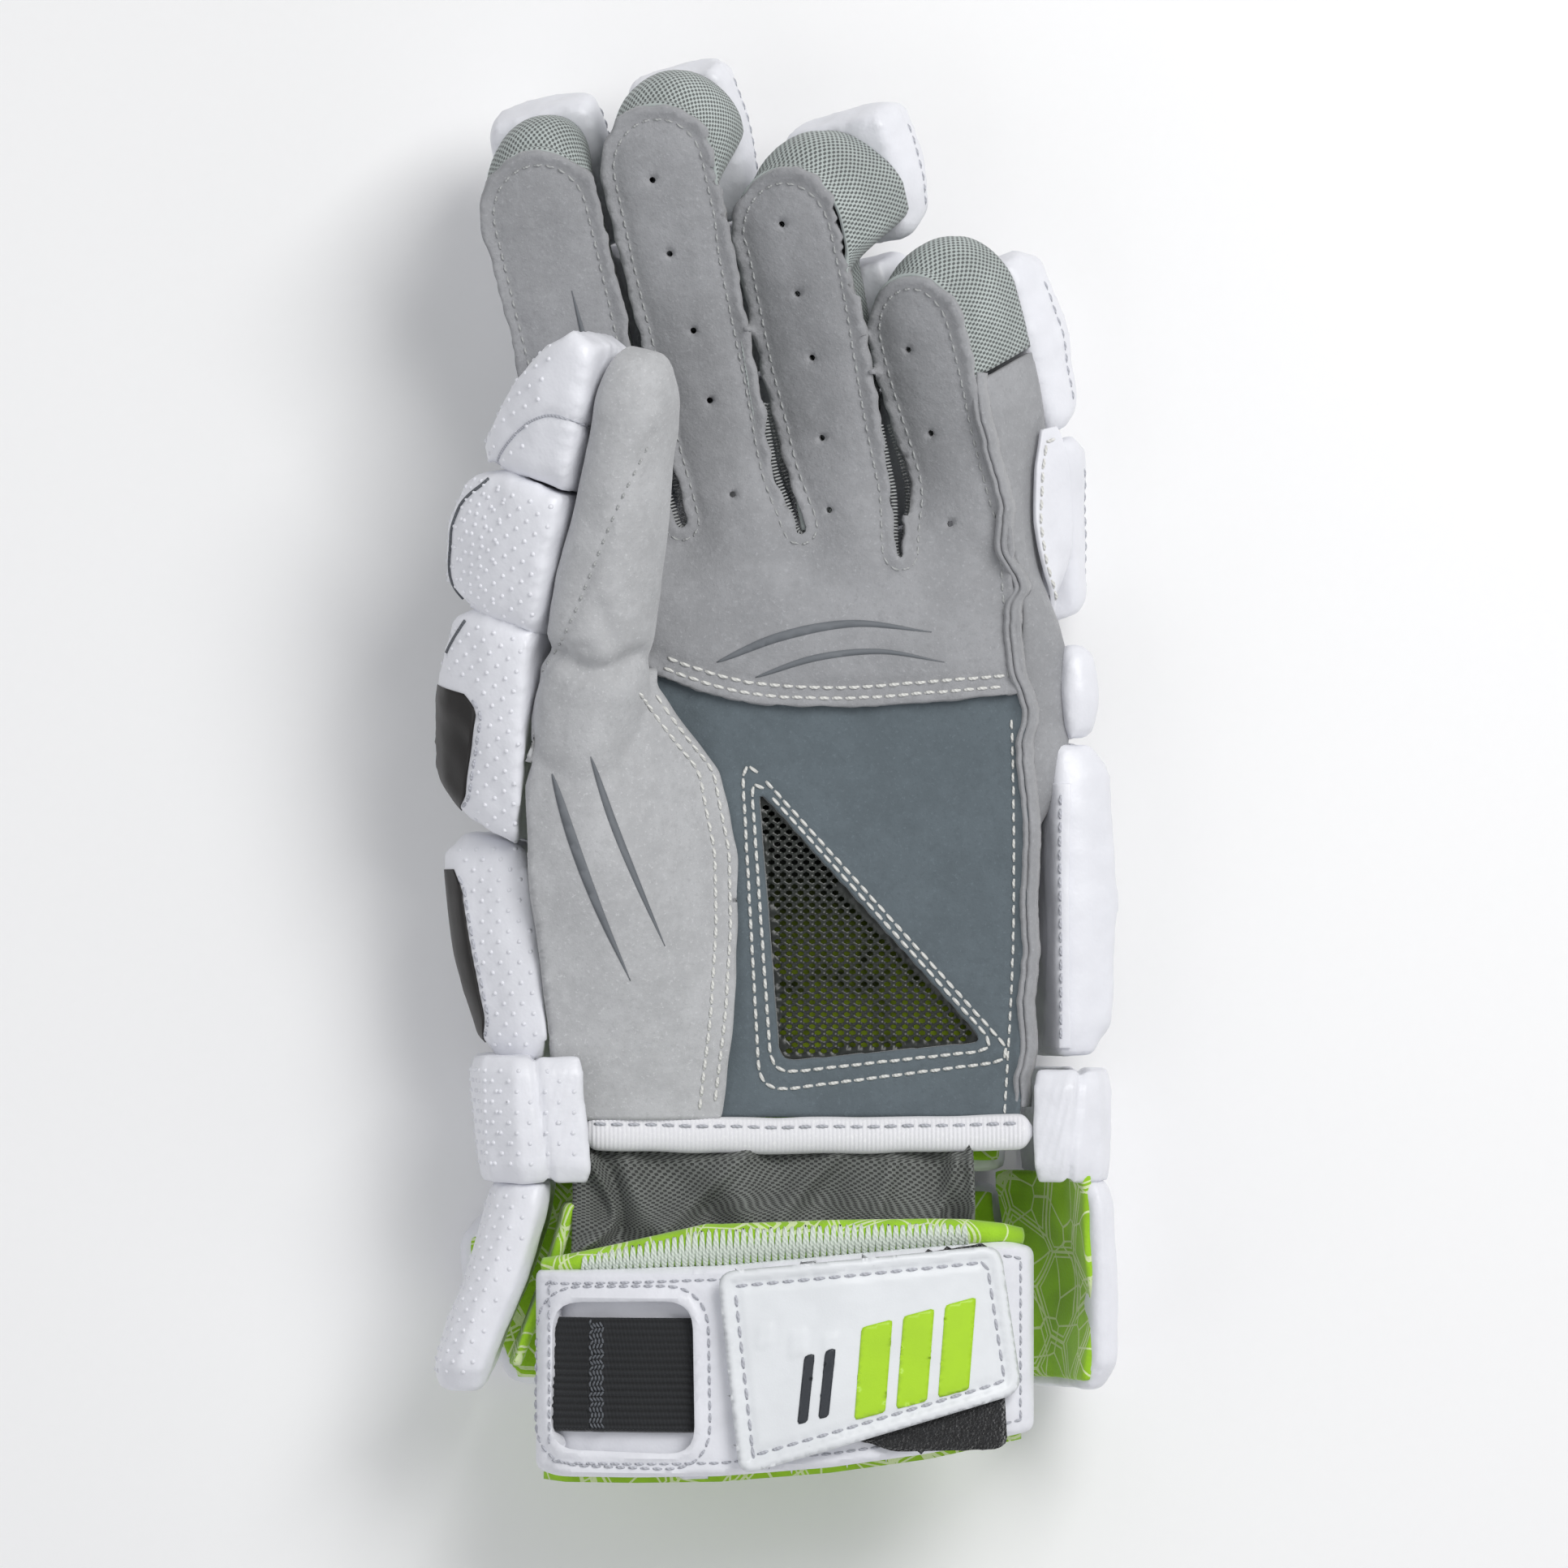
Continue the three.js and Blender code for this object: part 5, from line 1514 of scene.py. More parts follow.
    def make_patch(self) -> None:
        """Makes the slate patch with its window and its stitches."""
        edge_line, window = self.patch_outline(), self.window(0.0)
        plan, faces = cut_flat([edge_line, window], self.spacing)
        seam_line = curved([(x - 3.0, y) for x, y in SEAM_EDGE if y < 40], THREAD_STEP)
        seam_line = seam_line[seam_line[:, 1] < 14]
        rings = [self.window(margin, THREAD_STEP) for margin in (2.0, 5.2)]
        to_seam = distance(plan, np.vstack([seam_line, *rings]))
        to_window = distance(plan, window)
        height = palm_height(plan[:, 0], plan[:, 1]) - SUEDE - 2 * SEAM
        height -= 0.5 * bell(to_seam, 1.0) - 0.35 * bell(to_window, 2.2)
        height += lumps(plan, (0.7, 24, 2), (0.22, 7, 4))
        lip = bell(plan[:, 0] - line_at(SEAM_EDGE, plan[:, 1]), 1.6)
        height += lip * (0.9 + 0.5 * rough(plan, 5, 6))
        patch, area = layered("lower_palm_suede", np.column_stack([plan, height]), faces, SUEDE)
        ground = Ground(patch)
        finish(patch, Look.SLATE, Form.SHEET, ["palm_patch"], area)
        ringed = [draped(ground, np.vstack([ring, ring[:2]])) for ring in rings]
        self.needle.sew("window_stitches", Look.WHITE_THREAD, ringed, 3.0, 0.8, 0.85)
        side = [draped(ground, seam_line)]
        self.needle.sew("patch_seam_stitches", Look.WHITE_THREAD, side, 3.1, 0.72, 0.7)

    def make_net(self) -> None:
        """Makes the net in the window, with its rows of open holes."""
        border = self.window(4.0, 1.6)
        clear = self.window(-0.6, 1.0)
        turns = np.linspace(0, 2 * math.pi, 7)[:-1] + math.pi / 6
        oval = np.column_stack([np.cos(turns) * 0.86, np.sin(turns) * 0.62])
        spots = staggered(clear.min(0), clear.max(0), self.net_pitch, 1.42)
        keep = np.all([within(spots + corner, [clear]) for corner in oval], axis=0)
        plan, faces = cut_flat([border, *(spot + oval for spot in spots[keep])], self.net_pitch / 2)
        height = palm_height(plan[:, 0], plan[:, 1]) - 2 * SUEDE - 3 * SEAM
        height += 0.16 * np.sin(plan[:, 0] * 2 * math.pi / self.net_pitch) + 0.6 * rough(plan, 20, 2)
        net, area = layered("window_net", np.column_stack([plan, height]), faces, 0.7)
        box = plan.max(0) - plan.min(0)
        area = max(area, LEAST_SHARE * box[0] * box[1] * MM**2)
        finish(net, Look.NET, Form.SHEET, ["vent_net"], area)

    def make_net_backing(self) -> None:
        """Makes the lining that shows through the net, with painted shade over all but its lower part."""
        plan, faces = cut_flat([self.window(1.5, 2.0)], 4.0)
        height = palm_height(plan[:, 0], plan[:, 1]) - 2 * SUEDE - 5.2 + 0.8 * rough(plan, 14, 5)
        sheet, area = layered("window_lining", np.column_stack([plan, height]), faces, 0.5)
        finish(sheet, Look.SHADED_LIME, Form.SHEET, (), area)


def tapered(spine: Sequence[tuple[float, float]], width: float) -> Points:
    """Returns the outline of a stroke that thins to both ends, around a spine in plan."""
    line = curved(spine, 1.0)
    way = unit(np.gradient(line, axis=0))
    normal = np.column_stack([-way[:, 1], way[:, 0]])
    share = np.linspace(0, 1, len(line))
    half = width / 2 * np.clip(np.sin(math.pi * share**0.7), 0.04, 1) ** 0.8
    return np.vstack([line + normal * half[:, None], (line - normal * half[:, None])[::-1]])


def printed(
    name: str, look: Look, ground: Ground, outlines: Sequence[Points], lift: float = 0.14, spacing: float = 1.2
) -> None:
    """Makes a piece of thin printed shapes.

    Args:
        name: the piece's name.
        look: its finish.
        ground: what the shapes are laid on.
        outlines: their outlines in plan.
        lift: how far they stand above it.
        spacing: how far apart their points are.
    """
    shapes = []
    for outline in outlines:
        plan, faces = cut_flat([outline], spacing)
        places, normals, _ = ground.under(plan)
        shapes.append(mesh_piece("print", places + normals * lift, faces))
        modify(shapes[-1], "SOLIDIFY", thickness=0.12 * MM, offset=-1.0)
    finish(joined(name, shapes), look)


def stroked(
    name: str, ground: Ground, strokes: Sequence[tuple[Sequence[tuple[float, float]], float]]
) -> None:
    """Makes a piece of plain tapered strokes, given by their spines in plan and their widths."""
    printed(name, Look.GREY_PRINT, ground, [tapered(*stroke) for stroke in strokes])


# The fingers


@dataclass(frozen=True)
class Wall:
    """How a finger's mesh wall leans: outwards on its left and right by the time it reaches the foam."""

    left: float
    right: float
    tucked: float
    free: float
    beyond: float
    left_start: float
    right_start: float


WALLS = {
    "index": Wall(1.5, -3.5, 0.5, 1, -3, -4, 12),
    "middle": Wall(0, -7, 1, 0.8, 2, 5, 15),
    "ring": Wall(0, -9.5, 2, 0.72, 5, 5, 14),
    "pinky": Wall(0, 2, 0, 0, 2, 6, 0.57 * 63),
}
SIDE_SWELL = [(0, 3), (0.5, 4), (0.65, 8), (0.84, 9)]


def wall_point(
    line: Line, wall: Wall, along: Points, turn: Points, deep: float, inset: float = 0.0
) -> Points:
    """Gives points on a finger's mesh wall.

    Args:
        line: the finger.
        wall: how its wall leans.
        along: distances along the finger.
        turn: 180 on the left side, 90 at the end and 0 on the right side.
        deep: the share of the room for the finger, from the palm side.
        inset: how far inside the wall the points are.

    Returns:
        The points.
    """
    along, turn = np.atleast_1d(np.asarray(along, float)), np.atleast_1d(np.asarray(turn, float))
    c, s = np.cos(np.radians(turn)), np.sin(np.radians(turn))
    straight = line.length - line.half
    half = line.half_at(np.clip(along, 0, straight))
    freed = smooth(wall.free - 0.06, wall.free + 0.04, along / line.length)
    right = mix(wall.right, wall.beyond, freed)
    swell = 4 * WALL_SWELL * deep * (1 - deep)
    out = mix(np.where(c < 0, wall.left, right), 0, s) * deep**0.7 + swell
    tucked = np.where(c > 0, wall.tucked * (1 - freed), 0)
    across = c * (half - PANEL_INSET - tucked - inset + out)
    ahead = along + s * (line.half - PANEL_INSET - inset + swell)
    inner = line.at(ahead, across, np.full_like(ahead, deep * (line.room - SEAM)))
    if deep >= 0.5:
        return inner
    rim = c * (half - PANEL_INSET - tucked - inset)
    reach = along + s * (line.half - PANEL_INSET - inset)
    origin, _, out_way, side, roll = line.frame(reach)
    top = origin + side * (rim * np.cos(roll))[:, None]
    top[:, 2] = palm_height(top[:, 0], top[:, 1], line)
    top -= out_way * (SUEDE + SEAM)
    plain = line.at(reach, rim, np.zeros_like(rim))
    return inner + (top - plain) * (1 - 2 * deep) ** 2


def side_point(along: Points, deep: float, inset: float = 0.0) -> Points:
    """Returns points on the suede of the little finger's side of the hand, as wall_point() does."""
    line = FINGERS["pinky"]
    along = np.atleast_1d(np.asarray(along, float))
    on_finger = wall_point(line, WALLS["pinky"], along, np.zeros_like(along), deep, inset)
    y = KNUCKLE_LINE + along
    swell = table_at(SIDE_SWELL, (y - HEM_Y) / PALM_LENGTH)
    out = swell * math.sin(min(1.0, deep * 2.4) * math.pi / 2) * (1 - 1.2 * smooth(0.42, 1, deep))
    x = line_at(SEAM_EDGE, y) - PANEL_INSET - inset + out
    z = mix(palm_height(x, y) - 2 * SUEDE - 3 * SEAM, BACK_PAD + 5, deep)
    return mix(on_finger, np.stack([x, y, z], -1), smooth(-4, -32, along)[:, None])


def grid_uv(grid: Points) -> Points:
    """Returns UV places for a grid of points, from the distances along its rows and columns."""
    rows = np.linalg.norm(np.diff(grid, axis=1, prepend=grid[:, :1]), axis=2).cumsum(1)
    columns = np.linalg.norm(np.diff(grid, axis=0, prepend=grid[:1]), axis=2).cumsum(0)
    middle = columns[:, [grid.shape[1] // 2]]
    return np.stack([np.broadcast_to(middle, rows.shape), rows], -1).reshape(-1, 2) / UV_MM


def facing_out(points: Points, faces: Faces, centre: Points) -> Faces:
    """Returns the faces turned to face away from a centre, which is one point or one for each face."""
    corners = points[np.array([f[:3] for f in faces])]
    normal = np.cross(corners[:, 1] - corners[:, 0], corners[:, 2] - corners[:, 0])
    away = np.einsum("ij,ij->i", normal, corners.mean(1) - centre).sum()
    return faces if away > 0 else [tuple(reversed(f)) for f in faces]


@dataclass
class Fingers:
    """The mesh walls of the fingers, and the suede and the guard on the outer side of the hand."""

    needle: Needle
    deep_rows: int = 18

    # The seam ridge's section: millimetres to the outer side, and up
    LIP = (
        (-1.6, -1.6), (-1.35, 0.1), (-1.05, 0.9), (-0.6, 1.1), (-0.2, 0.75), (0.0, -0.3),
        (0.2, 0.75), (0.6, 1.1), (1.05, 0.95), (1.6, 0.1), (2.9, -2.4),
    )  # fmt: skip

    def build(self) -> None:
        """Makes every piece of the fingers' sides."""
        for name, line in FINGERS.items():
            self.make_wall(name, line)
        self.make_side()
        self.make_guard()
        self.make_lip()

    def make_wall(self, name: str, line: Line) -> None:
        """Makes the knitted wall round one finger."""
        wall = WALLS[name]
        straight = line.length - line.half
        left = np.arange(wall.left_start, straight, 1.3)
        right = np.arange(wall.right_start, straight, 1.3)[::-1]
        turns = np.linspace(180, 0, 26)
        along = np.concatenate([left, np.full(len(turns), straight), right])
        turn = np.concatenate([np.full(len(left), 180.0), turns, np.zeros(len(right))])
        deeps = np.linspace(0, 1, self.deep_rows)
        grid = np.stack([wall_point(line, wall, along, turn, deep) for deep in deeps], 1)
        flat = grid.reshape(-1, 3)
        puckers = lumps(flat, (0.35, 5.5, 11), (0.7, 16, 12))
        fade = np.tile(np.sin(math.pi * np.clip(deeps, 0.02, 0.98)) ** 0.5, len(along))
        half_way = np.full(len(along), line.room / 2)
        middle = line.at(along.clip(0, straight - 4), np.zeros(len(along)), half_way)
        away = unit(flat - np.repeat(middle, self.deep_rows, 0))
        tip = np.repeat(np.sin(np.radians(turn)) ** 2, self.deep_rows)
        deep = np.tile(deeps, len(along))
        flange = bell(deep - 0.02, 0.05) * mix(0.9, 2.1, tip)
        bulge = 2.6 * tip * fade**2 * (deep > 0.05)
        flat = flat + away * (puckers * fade * 0.6 + flange + bulge)[:, None]
        centre = line.at(straight / 2, 0.0, line.room / 2)
        piece, area = grid_sheet(f"{name}_mesh", flat.reshape(grid.shape), centre, MESH, grid_uv(grid))
        finish(piece, Look.KNIT, Form.SHEET, [f"{name}_gusset"], area)

    def make_side(self) -> None:
        """Makes the suede down the outer side of the hand."""
        top = 0.55 * FINGERS["pinky"].length
        along = np.linspace(top, 3 - PALM_LENGTH, 110)
        deeps = np.linspace(0, 1, 26)
        grid = np.stack([side_point(along, deep) for deep in deeps], 1)
        flat = grid.reshape(-1, 3)
        fade = np.tile(np.sin(math.pi * deeps.clip(0.02, 0.98)) ** 0.6, len(along))
        swollen = smooth(-16, -4, flat[:, 1]) * (1 - smooth(22, 46, flat[:, 1]))
        flat[:, 0] += fade * (lumps(flat, (0.6, 14, 5), (0.25, 5, 6)) + 3.4 * swollen)
        piece, area = grid_sheet("outer_side_suede", flat.reshape(grid.shape), (20, -20, 30), SUEDE)
        finish(piece, Look.SUEDE, Form.SHEET, ["ulnar_side"], area)

    def make_guard(self) -> None:
        """Makes the white leather guard over that side, with its stitches."""
        along = np.linspace(19, -19, 36)
        upper = np.interp(along, [-19, -12, 0, 12, 19], [0.6, 0.42, 0.42, 0.6, 0.78])
        rows = []
        for share in np.linspace(0, 1, 14):
            deep = mix(upper, 0.96, share)
            row = np.array([side_point(a, d, -3 * SEAM - SUEDE)[0] for a, d in zip(along, deep)])
            over = share * np.sqrt((1 - (along / 20) ** 2).clip(0, 1))
            rows.append(row + np.outer(over, [4.4, 0.0, 3.6]))
        grid = np.stack(rows, 1)
        guard, area = grid_sheet("finger_guard", grid, (20, 50, 30), SUEDE)
        modify(guard, "BEVEL", width=0.5 * MM, segments=2, limit_method="ANGLE")
        ground = Ground(guard)
        finish(guard, Look.LEATHER, Form.SHEET, ["pinky_guard"], area)
        seam = resample(np.vstack([grid[2, 8:1:-1], grid[2:-2, 1], grid[-3, 1:8]]), THREAD_STEP)
        line = ground.nearest(seam + np.array([3.0, 0.0, 3.0]))
        self.needle.sew("guard_stitches", Look.WHITE_THREAD, [line], 3.2, 0.75, 0.8)

    def make_lip(self) -> None:
        """Makes the wavy seam down the outer side, where two edges of suede stand up side by side."""
        beside = ("palm_front_suede", "lower_palm_suede", "outer_side_suede")
        ground = Ground(*(bpy.data.objects[name] for name in beside))
        plan = curved(SEAM_WAVES, 0.8)
        z = np.full(len(plan), -np.inf)
        for aside in (-1.1, 0.0, 1.1):
            places, _, met = ground.under(plan + [aside, 0.0])
            z = np.where(met, np.maximum(z, places[:, 2]), z)
        known = np.isfinite(z)
        z = np.interp(np.arange(len(z)), np.flatnonzero(known), z[known])
        z = np.convolve(np.pad(z, 4, mode="edge"), np.ones(9) / 9, mode="valid")
        spots = np.column_stack([plan, z])
        sway = lumps(spots, (0.3, 5.0, 2), (0.25, 2.2, 7))
        rise = lumps(spots, (0.25, 6.0, 4), (0.2, 2.6, 6))
        share = np.linspace(0, 1, len(plan))
        sunk = 2.2 * (1 - smooth(0, 0.07, share)) + 1.2 * smooth(0.95, 1, share)
        rows = []
        for dx, dz in self.LIP:
            height = z + dz - sunk + rise * (dz > -0.5)
            rows.append(np.column_stack([plan[:, 0] + dx + sway, plan[:, 1], height]))
        piece, area = grid_sheet("side_seam_lip", np.stack(rows, 1), (57, 0, -60), 0.4)
        finish(piece, Look.SUEDE, Form.SHEET, (), area)


# The thumb


@dataclass
class Thumb:
    """The thumb's suede hood, which runs into the ball of the thumb."""

    needle: Needle
    voxel: float = 1.0
    start: float = -22.0

    # Its outer seam in plan, the creases pressed into it (spine, width and depth) and its printed strokes
    SEAM = ((-57, 16), (-47, 32), (-36, 58), (-27, 76))
    CREASES = (
        (((-51, 26), (-44, 22), (-36, 21.5), (-30, 25)), 2.4, 2.7),
        (((-57, 30), (-50, 27), (-43, 26.5)), 1.6, 0.8),
        (((-40, 36), (-36, 29), (-33, 22)), 2.4, 0.9),
        (SEAM, 1.0, 0.55),
        (((-22, 20), (-10, 0), (-8, -40), (-12, -80)), 7.0, 0.5),
    )
    STROKES = (
        ([(-51, -2), (-46, -18), (-40, -34), (-33, -50)], 2.3),
        ([(-42, 2), (-37, -13), (-31, -28), (-25, -42)], 1.7),
    )

    def tube(self) -> tuple[Points, Faces]:
        """Returns the hood as a closed tube."""
        line = THUMB
        round_end = 0.84 + 0.16 * np.sin(np.linspace(0, math.pi / 2, 16)[1:])
        along = mix(self.start, line.length, np.concatenate([np.linspace(0, 0.84, 34), round_end]))
        left = (line.length - along) / (line.half * 1.25)
        left = np.minimum(left, 0.3 + (along - self.start) / (line.half * 1.6))
        around = np.where(left >= 1, 1, np.sqrt(np.clip(1 - (1 - left) ** 2, 0.02, None)))
        half = line.half * mix(line.base, 1, smooth(0, 0.5, along / line.length)) * around
        middle = line.room_at(along) / 2
        deep = middle * mix(0.55, 1, around)
        angles = np.linspace(0, 2 * math.pi, 41)[:-1]
        c, s = np.cos(angles), np.sin(angles)
        rings = []
        for i, a in enumerate(along):
            across = half[i] * np.sign(c) * np.abs(c) ** 0.8
            depth = middle[i] - deep[i] * np.sign(s) * np.abs(s) ** 0.8
            rings.append(line.at(np.full(len(c), a), across, depth))
        return np.vstack(rings), tube_faces(len(rings), len(angles))

    def ball(self) -> tuple[Points, Faces]:
        """Returns the ball of the thumb as a closed block."""
        ys = np.linspace(HEM_Y - 2, 24, 60)
        shares = np.linspace(0, 1, 34)
        rings = []
        for y in ys:
            x = mix(line_at(THENAR_OUTER, y) - 1.5, line_at(THENAR_EDGE, y) + 1.5, shares)
            top = thenar_height(np.column_stack([x, np.full_like(x, y)]))
            floor = np.array([[x[-1], y, BACK_PAD], [x[0], y, BACK_PAD]])
            rings.append(np.vstack([np.column_stack([x, np.full_like(x, y), top]), floor]))
        return np.vstack(rings), tube_faces(len(rings), len(rings[0]))

    def build(self) -> None:
        """Makes the hood and its stitches, creases and prints."""
        tube, ball = mesh_piece("hood", *self.tube()), mesh_piece("ball", *self.ball())
        outwards(tube)
        outwards(ball)
        tube_ground = Ground(tube)
        whole = joined("thumb_hood_suede", [tube, ball])
        remeshed(whole, self.voxel, 5)
        self.trim(whole, tube_ground)
        self.crease(whole)
        area = surface_area(whole)
        modify(whole, "SOLIDIFY", thickness=SUEDE * MM, offset=-1.0)
        ground = Ground(whole)
        finish(whole, Look.THENAR, Form.SHEET, ["thumb_suede"], area)
        self.sew_seams(ground)
        stroked("thumb_prints", ground, self.STROKES)

    def trim(self, piece: Piece, tube: Ground) -> None:
        """Cuts away what lies inside the hand, and draws the sheet's free edges to their lines."""
        points = points_of(piece)
        near = np.linalg.norm(points - tube.nearest(points)[0], axis=1)
        y = points[:, 1]
        outer, inner = line_at(THENAR_OUTER, y), line_at(THENAR_EDGE, y)
        top = thenar_height(points[:, :2])
        in_band = (y < 24) & (points[:, 0] > outer - 4) & (points[:, 0] < inner + 4)
        on_top = in_band & (np.abs(points[:, 2] - top) < 1.9) & (y > HEM_Y - 0.6) & (y < 23.4)
        on_top &= (points[:, 0] > outer - 0.9) & (points[:, 0] < inner + 0.4)
        buried = in_band & (points[:, 2] < top - 1.9)
        keep = on_top | ((near < 1.5) & ~buried)
        shape = bmesh.new()
        shape.from_mesh(piece.data)
        shape.verts.ensure_lookup_table()
        bmesh.ops.delete(shape, geom=[v for v in shape.verts if not keep[v.index]], context="VERTS")
        loose = [v for v in shape.verts if not v.link_faces]
        bmesh.ops.delete(shape, geom=loose, context="VERTS")
        border = {v for e in shape.edges if e.is_boundary for v in e.verts}
        for v in border:
            self.draw_to_edge(v)
        beside = {v: [e.other_vert(v) for e in v.link_edges if e.is_boundary] for v in border}
        for _ in range(6):
            goals = {v: (v.co * 2 + sum((n.co for n in others), Vector())) for v, others in beside.items()}
            for v, goal in goals.items():
                v.co = goal / (2 + len(beside[v]))
        shape.to_mesh(piece.data)
        shape.free()

    @staticmethod
    def draw_to_edge(corner: bmesh.types.BMVert) -> None:
        """Moves a corner of the sheet's rim to the free edge that it is close to, if any."""
        y = corner.co.y / MM
        for edge_line, end, reach, past, sway, sunk in (
            (THENAR_EDGE, 20, 2.5, 0.0, 0.12, 0.0),
            (THENAR_OUTER, 12, 3.5, -0.9, 0.0, 0.8),
        ):
            target = float(line_at(edge_line, y))
            if y < end and abs(corner.co.x / MM - target) < reach:
                x = target + past + sway * math.sin(y / 2.1)
                corner.co = Vector((x, y, float(thenar_height(np.array([[x, y]]))[0]) - sunk)) * MM

    def crease(self, piece: Piece) -> None:
        """Presses creases, soft folds and seam grooves into the suede."""
        points, normals = points_of(piece), normals_of(piece)
        deep = np.zeros(len(points))
        for spine, width, amount in self.CREASES:
            deep += amount * bell(distance(points, curved(spine, 1.0)), width)
        risen = lumps(points, (0.8, 20, 7), (0.3, 7, 8)) - deep
        move_points(piece, points + normals * risen[:, None])

    def sew_seams(self, ground: Ground) -> None:
        """Sews the seams of the hood and of the ball of the thumb."""
        seam = draped(ground, curved(self.SEAM, 0.7))
        self.needle.sew("hood_stitches", Look.GREY_THREAD, [seam], 3.0, 0.5, 0.6, 0.0)
        ys = np.linspace(17, HEM_Y + 1, 130)[::8]
        rows = [np.column_stack([line_at(THENAR_EDGE, ys) - inset, ys]) for inset in (2.2, 5.6)]
        lines = [draped(ground, curved(row, THREAD_STEP)) for row in rows]
        self.needle.sew("thenar_stitches", Look.WHITE_THREAD, lines, 3.1, 0.8, 0.85)


# The padded blocks


@dataclass(frozen=True)
class Block:
    """A leather-covered foam block: its node, the line it lies along, and what is worked on it.

    Its start and end lie along the line, deep is its thickness, and left and right are its half widths.
    Dots are the directions that its dotted sides face. The rows of ends give, for shares of its depth,
    where it starts and ends there. Near is how far its upper inner edge moves to the hand at its start and
    its end, and reach is the share of its depth that its outer face has there. Shift moves the finished
    block along X.
    """

    node: str
    line: Line | None = None
    start: float = 0.0
    end: float = 0.0
    deep: float = 0.0
    left: float = 0.0
    right: float = 0.0
    dots: tuple[tuple[float, float, float], ...] = ()
    fill: float = 0.85
    voxel: float = 1.4
    ends: tuple[tuple[float, float, float], ...] = ()
    near: tuple[float, float] = (1.6, 1.6)
    reach: tuple[float, float] = (1.0, 1.0)
    shift: float = 0.0


def finger_block(name: str, part: str, start: float, end: float, left: float, right: float) -> Block:
    """Returns a block of a finger, whose ends and widths are shares of the finger's length and half width."""
    line = FINGERS[name]
    sizes = (start * line.length, end * line.length, FINGER_PAD, left * line.half, right * line.half)
    return Block(f"{name}_pad_{part}", line, *sizes, dots=((0.2, 0.0, -1.0),) if part != "knuckle" else ())


LEFT_UP = (-0.62, 0.0, 0.78)
LEFT = (-1.0, 0.0, 0.05)
BACK = (0.0, 0.0, -1.0)

# The seam across the thumb's last block, in plan
TIP_SEAM = [(-64.5, 66), (-62.5, 72), (-57.5, 77.5), (-52.6, 80), (-46.9, 79.3), (-37, 75.5)]
BLOCKS = [
    finger_block("index", "tip", 0.66, 0.99, 1.02, 0.9),
    finger_block("index", "middle", 0.345, 0.64, 1.0, 0.88),
    finger_block("index", "base", 0.02, 0.325, 0.96, 0.84),
    finger_block("middle", "tip", 0.66, 0.97, 0.94, 0.94),
    finger_block("middle", "middle", 0.34, 0.64, 0.9, 0.8),
    finger_block("middle", "base", 0.018, 0.325, 0.86, 0.74),
    finger_block("ring", "tip", 0.69, 0.99, 0.82, 1.22),
    finger_block("ring", "middle", 0.35, 0.65, 0.78, 0.6),
    finger_block("ring", "base", 0.018, 0.335, 0.74, 0.6),
    finger_block("pinky", "tip", 0.27, 0.85, 0.78, 1.2),
    finger_block("pinky", "base", -0.36, 0.245, 0.76, 1.4),
    finger_block("index", "knuckle", -0.36, 0.012, 0.9, 0.84),
    finger_block("middle", "knuckle", -0.33, 0.011, 0.86, 0.74),
    finger_block("ring", "knuckle", -0.391, 0.011, 0.7, 0.66),
    # fmt: off
    Block(
        "thumb_pad_tip", THUMB, 46, 79, 1.25 * THUMB_PAD, 13, 13, dots=(LEFT,), reach=(1.12, 1.12),
        ends=((0, 47.5, 82.5), (0.25, 48.5, 84.5), (0.5, 49.5, 80), (0.75, 50.5, 73), (1, 52.5, 65)),
    ),
    Block(
        "thumb_pad_middle", THUMB, 13, 44, 1.4 * THUMB_PAD, 14, 12.5, dots=(LEFT_UP, LEFT),
        ends=((0, 13.5, 46.5), (0.5, 15, 49), (1, 18.5, 49)), reach=(1.1, 1.12),
    ),
    Block(
        "thumb_pad_base", THUMB, -34, 11, 1.3 * THUMB_PAD, 14, 14, dots=(LEFT_UP,),
        ends=((0, -35, 14.5), (0.5, -33, 17), (1, -28, 17)), reach=(0.98, 1.04), near=(8.6, 1.6),
    ),
    Block(
        "radial_pad", RADIAL_EDGE, 1.5, 47.5, 1.35 * SIDE_PAD, 12, 17, dots=(LEFT_UP,),
        ends=((0, -1, 50), (0.5, -1, 53), (1, 1, 55)), reach=(0.66, 1.12), near=(9.4, 4.4),
    ),
    # fmt: on
    Block("ulnar_pad_upper", ULNAR_UPPER, -46.4, -24, 0.5 * SIDE_PAD, 12, 9, voxel=1.2, shift=-1.4),
    Block("ulnar_pad", ULNAR_EDGE, 6, 79, SIDE_PAD, 13, 12),
    *(Block(node, dots=(BACK,), voxel=2.0) for node in ("back_pad_upper", "back_pad_lower", "wrist_pad")),
    Block("wrist_block_left", dots=(LEFT_UP, LEFT), voxel=0.85),
    Block("wrist_block_right", voxel=0.85),
]


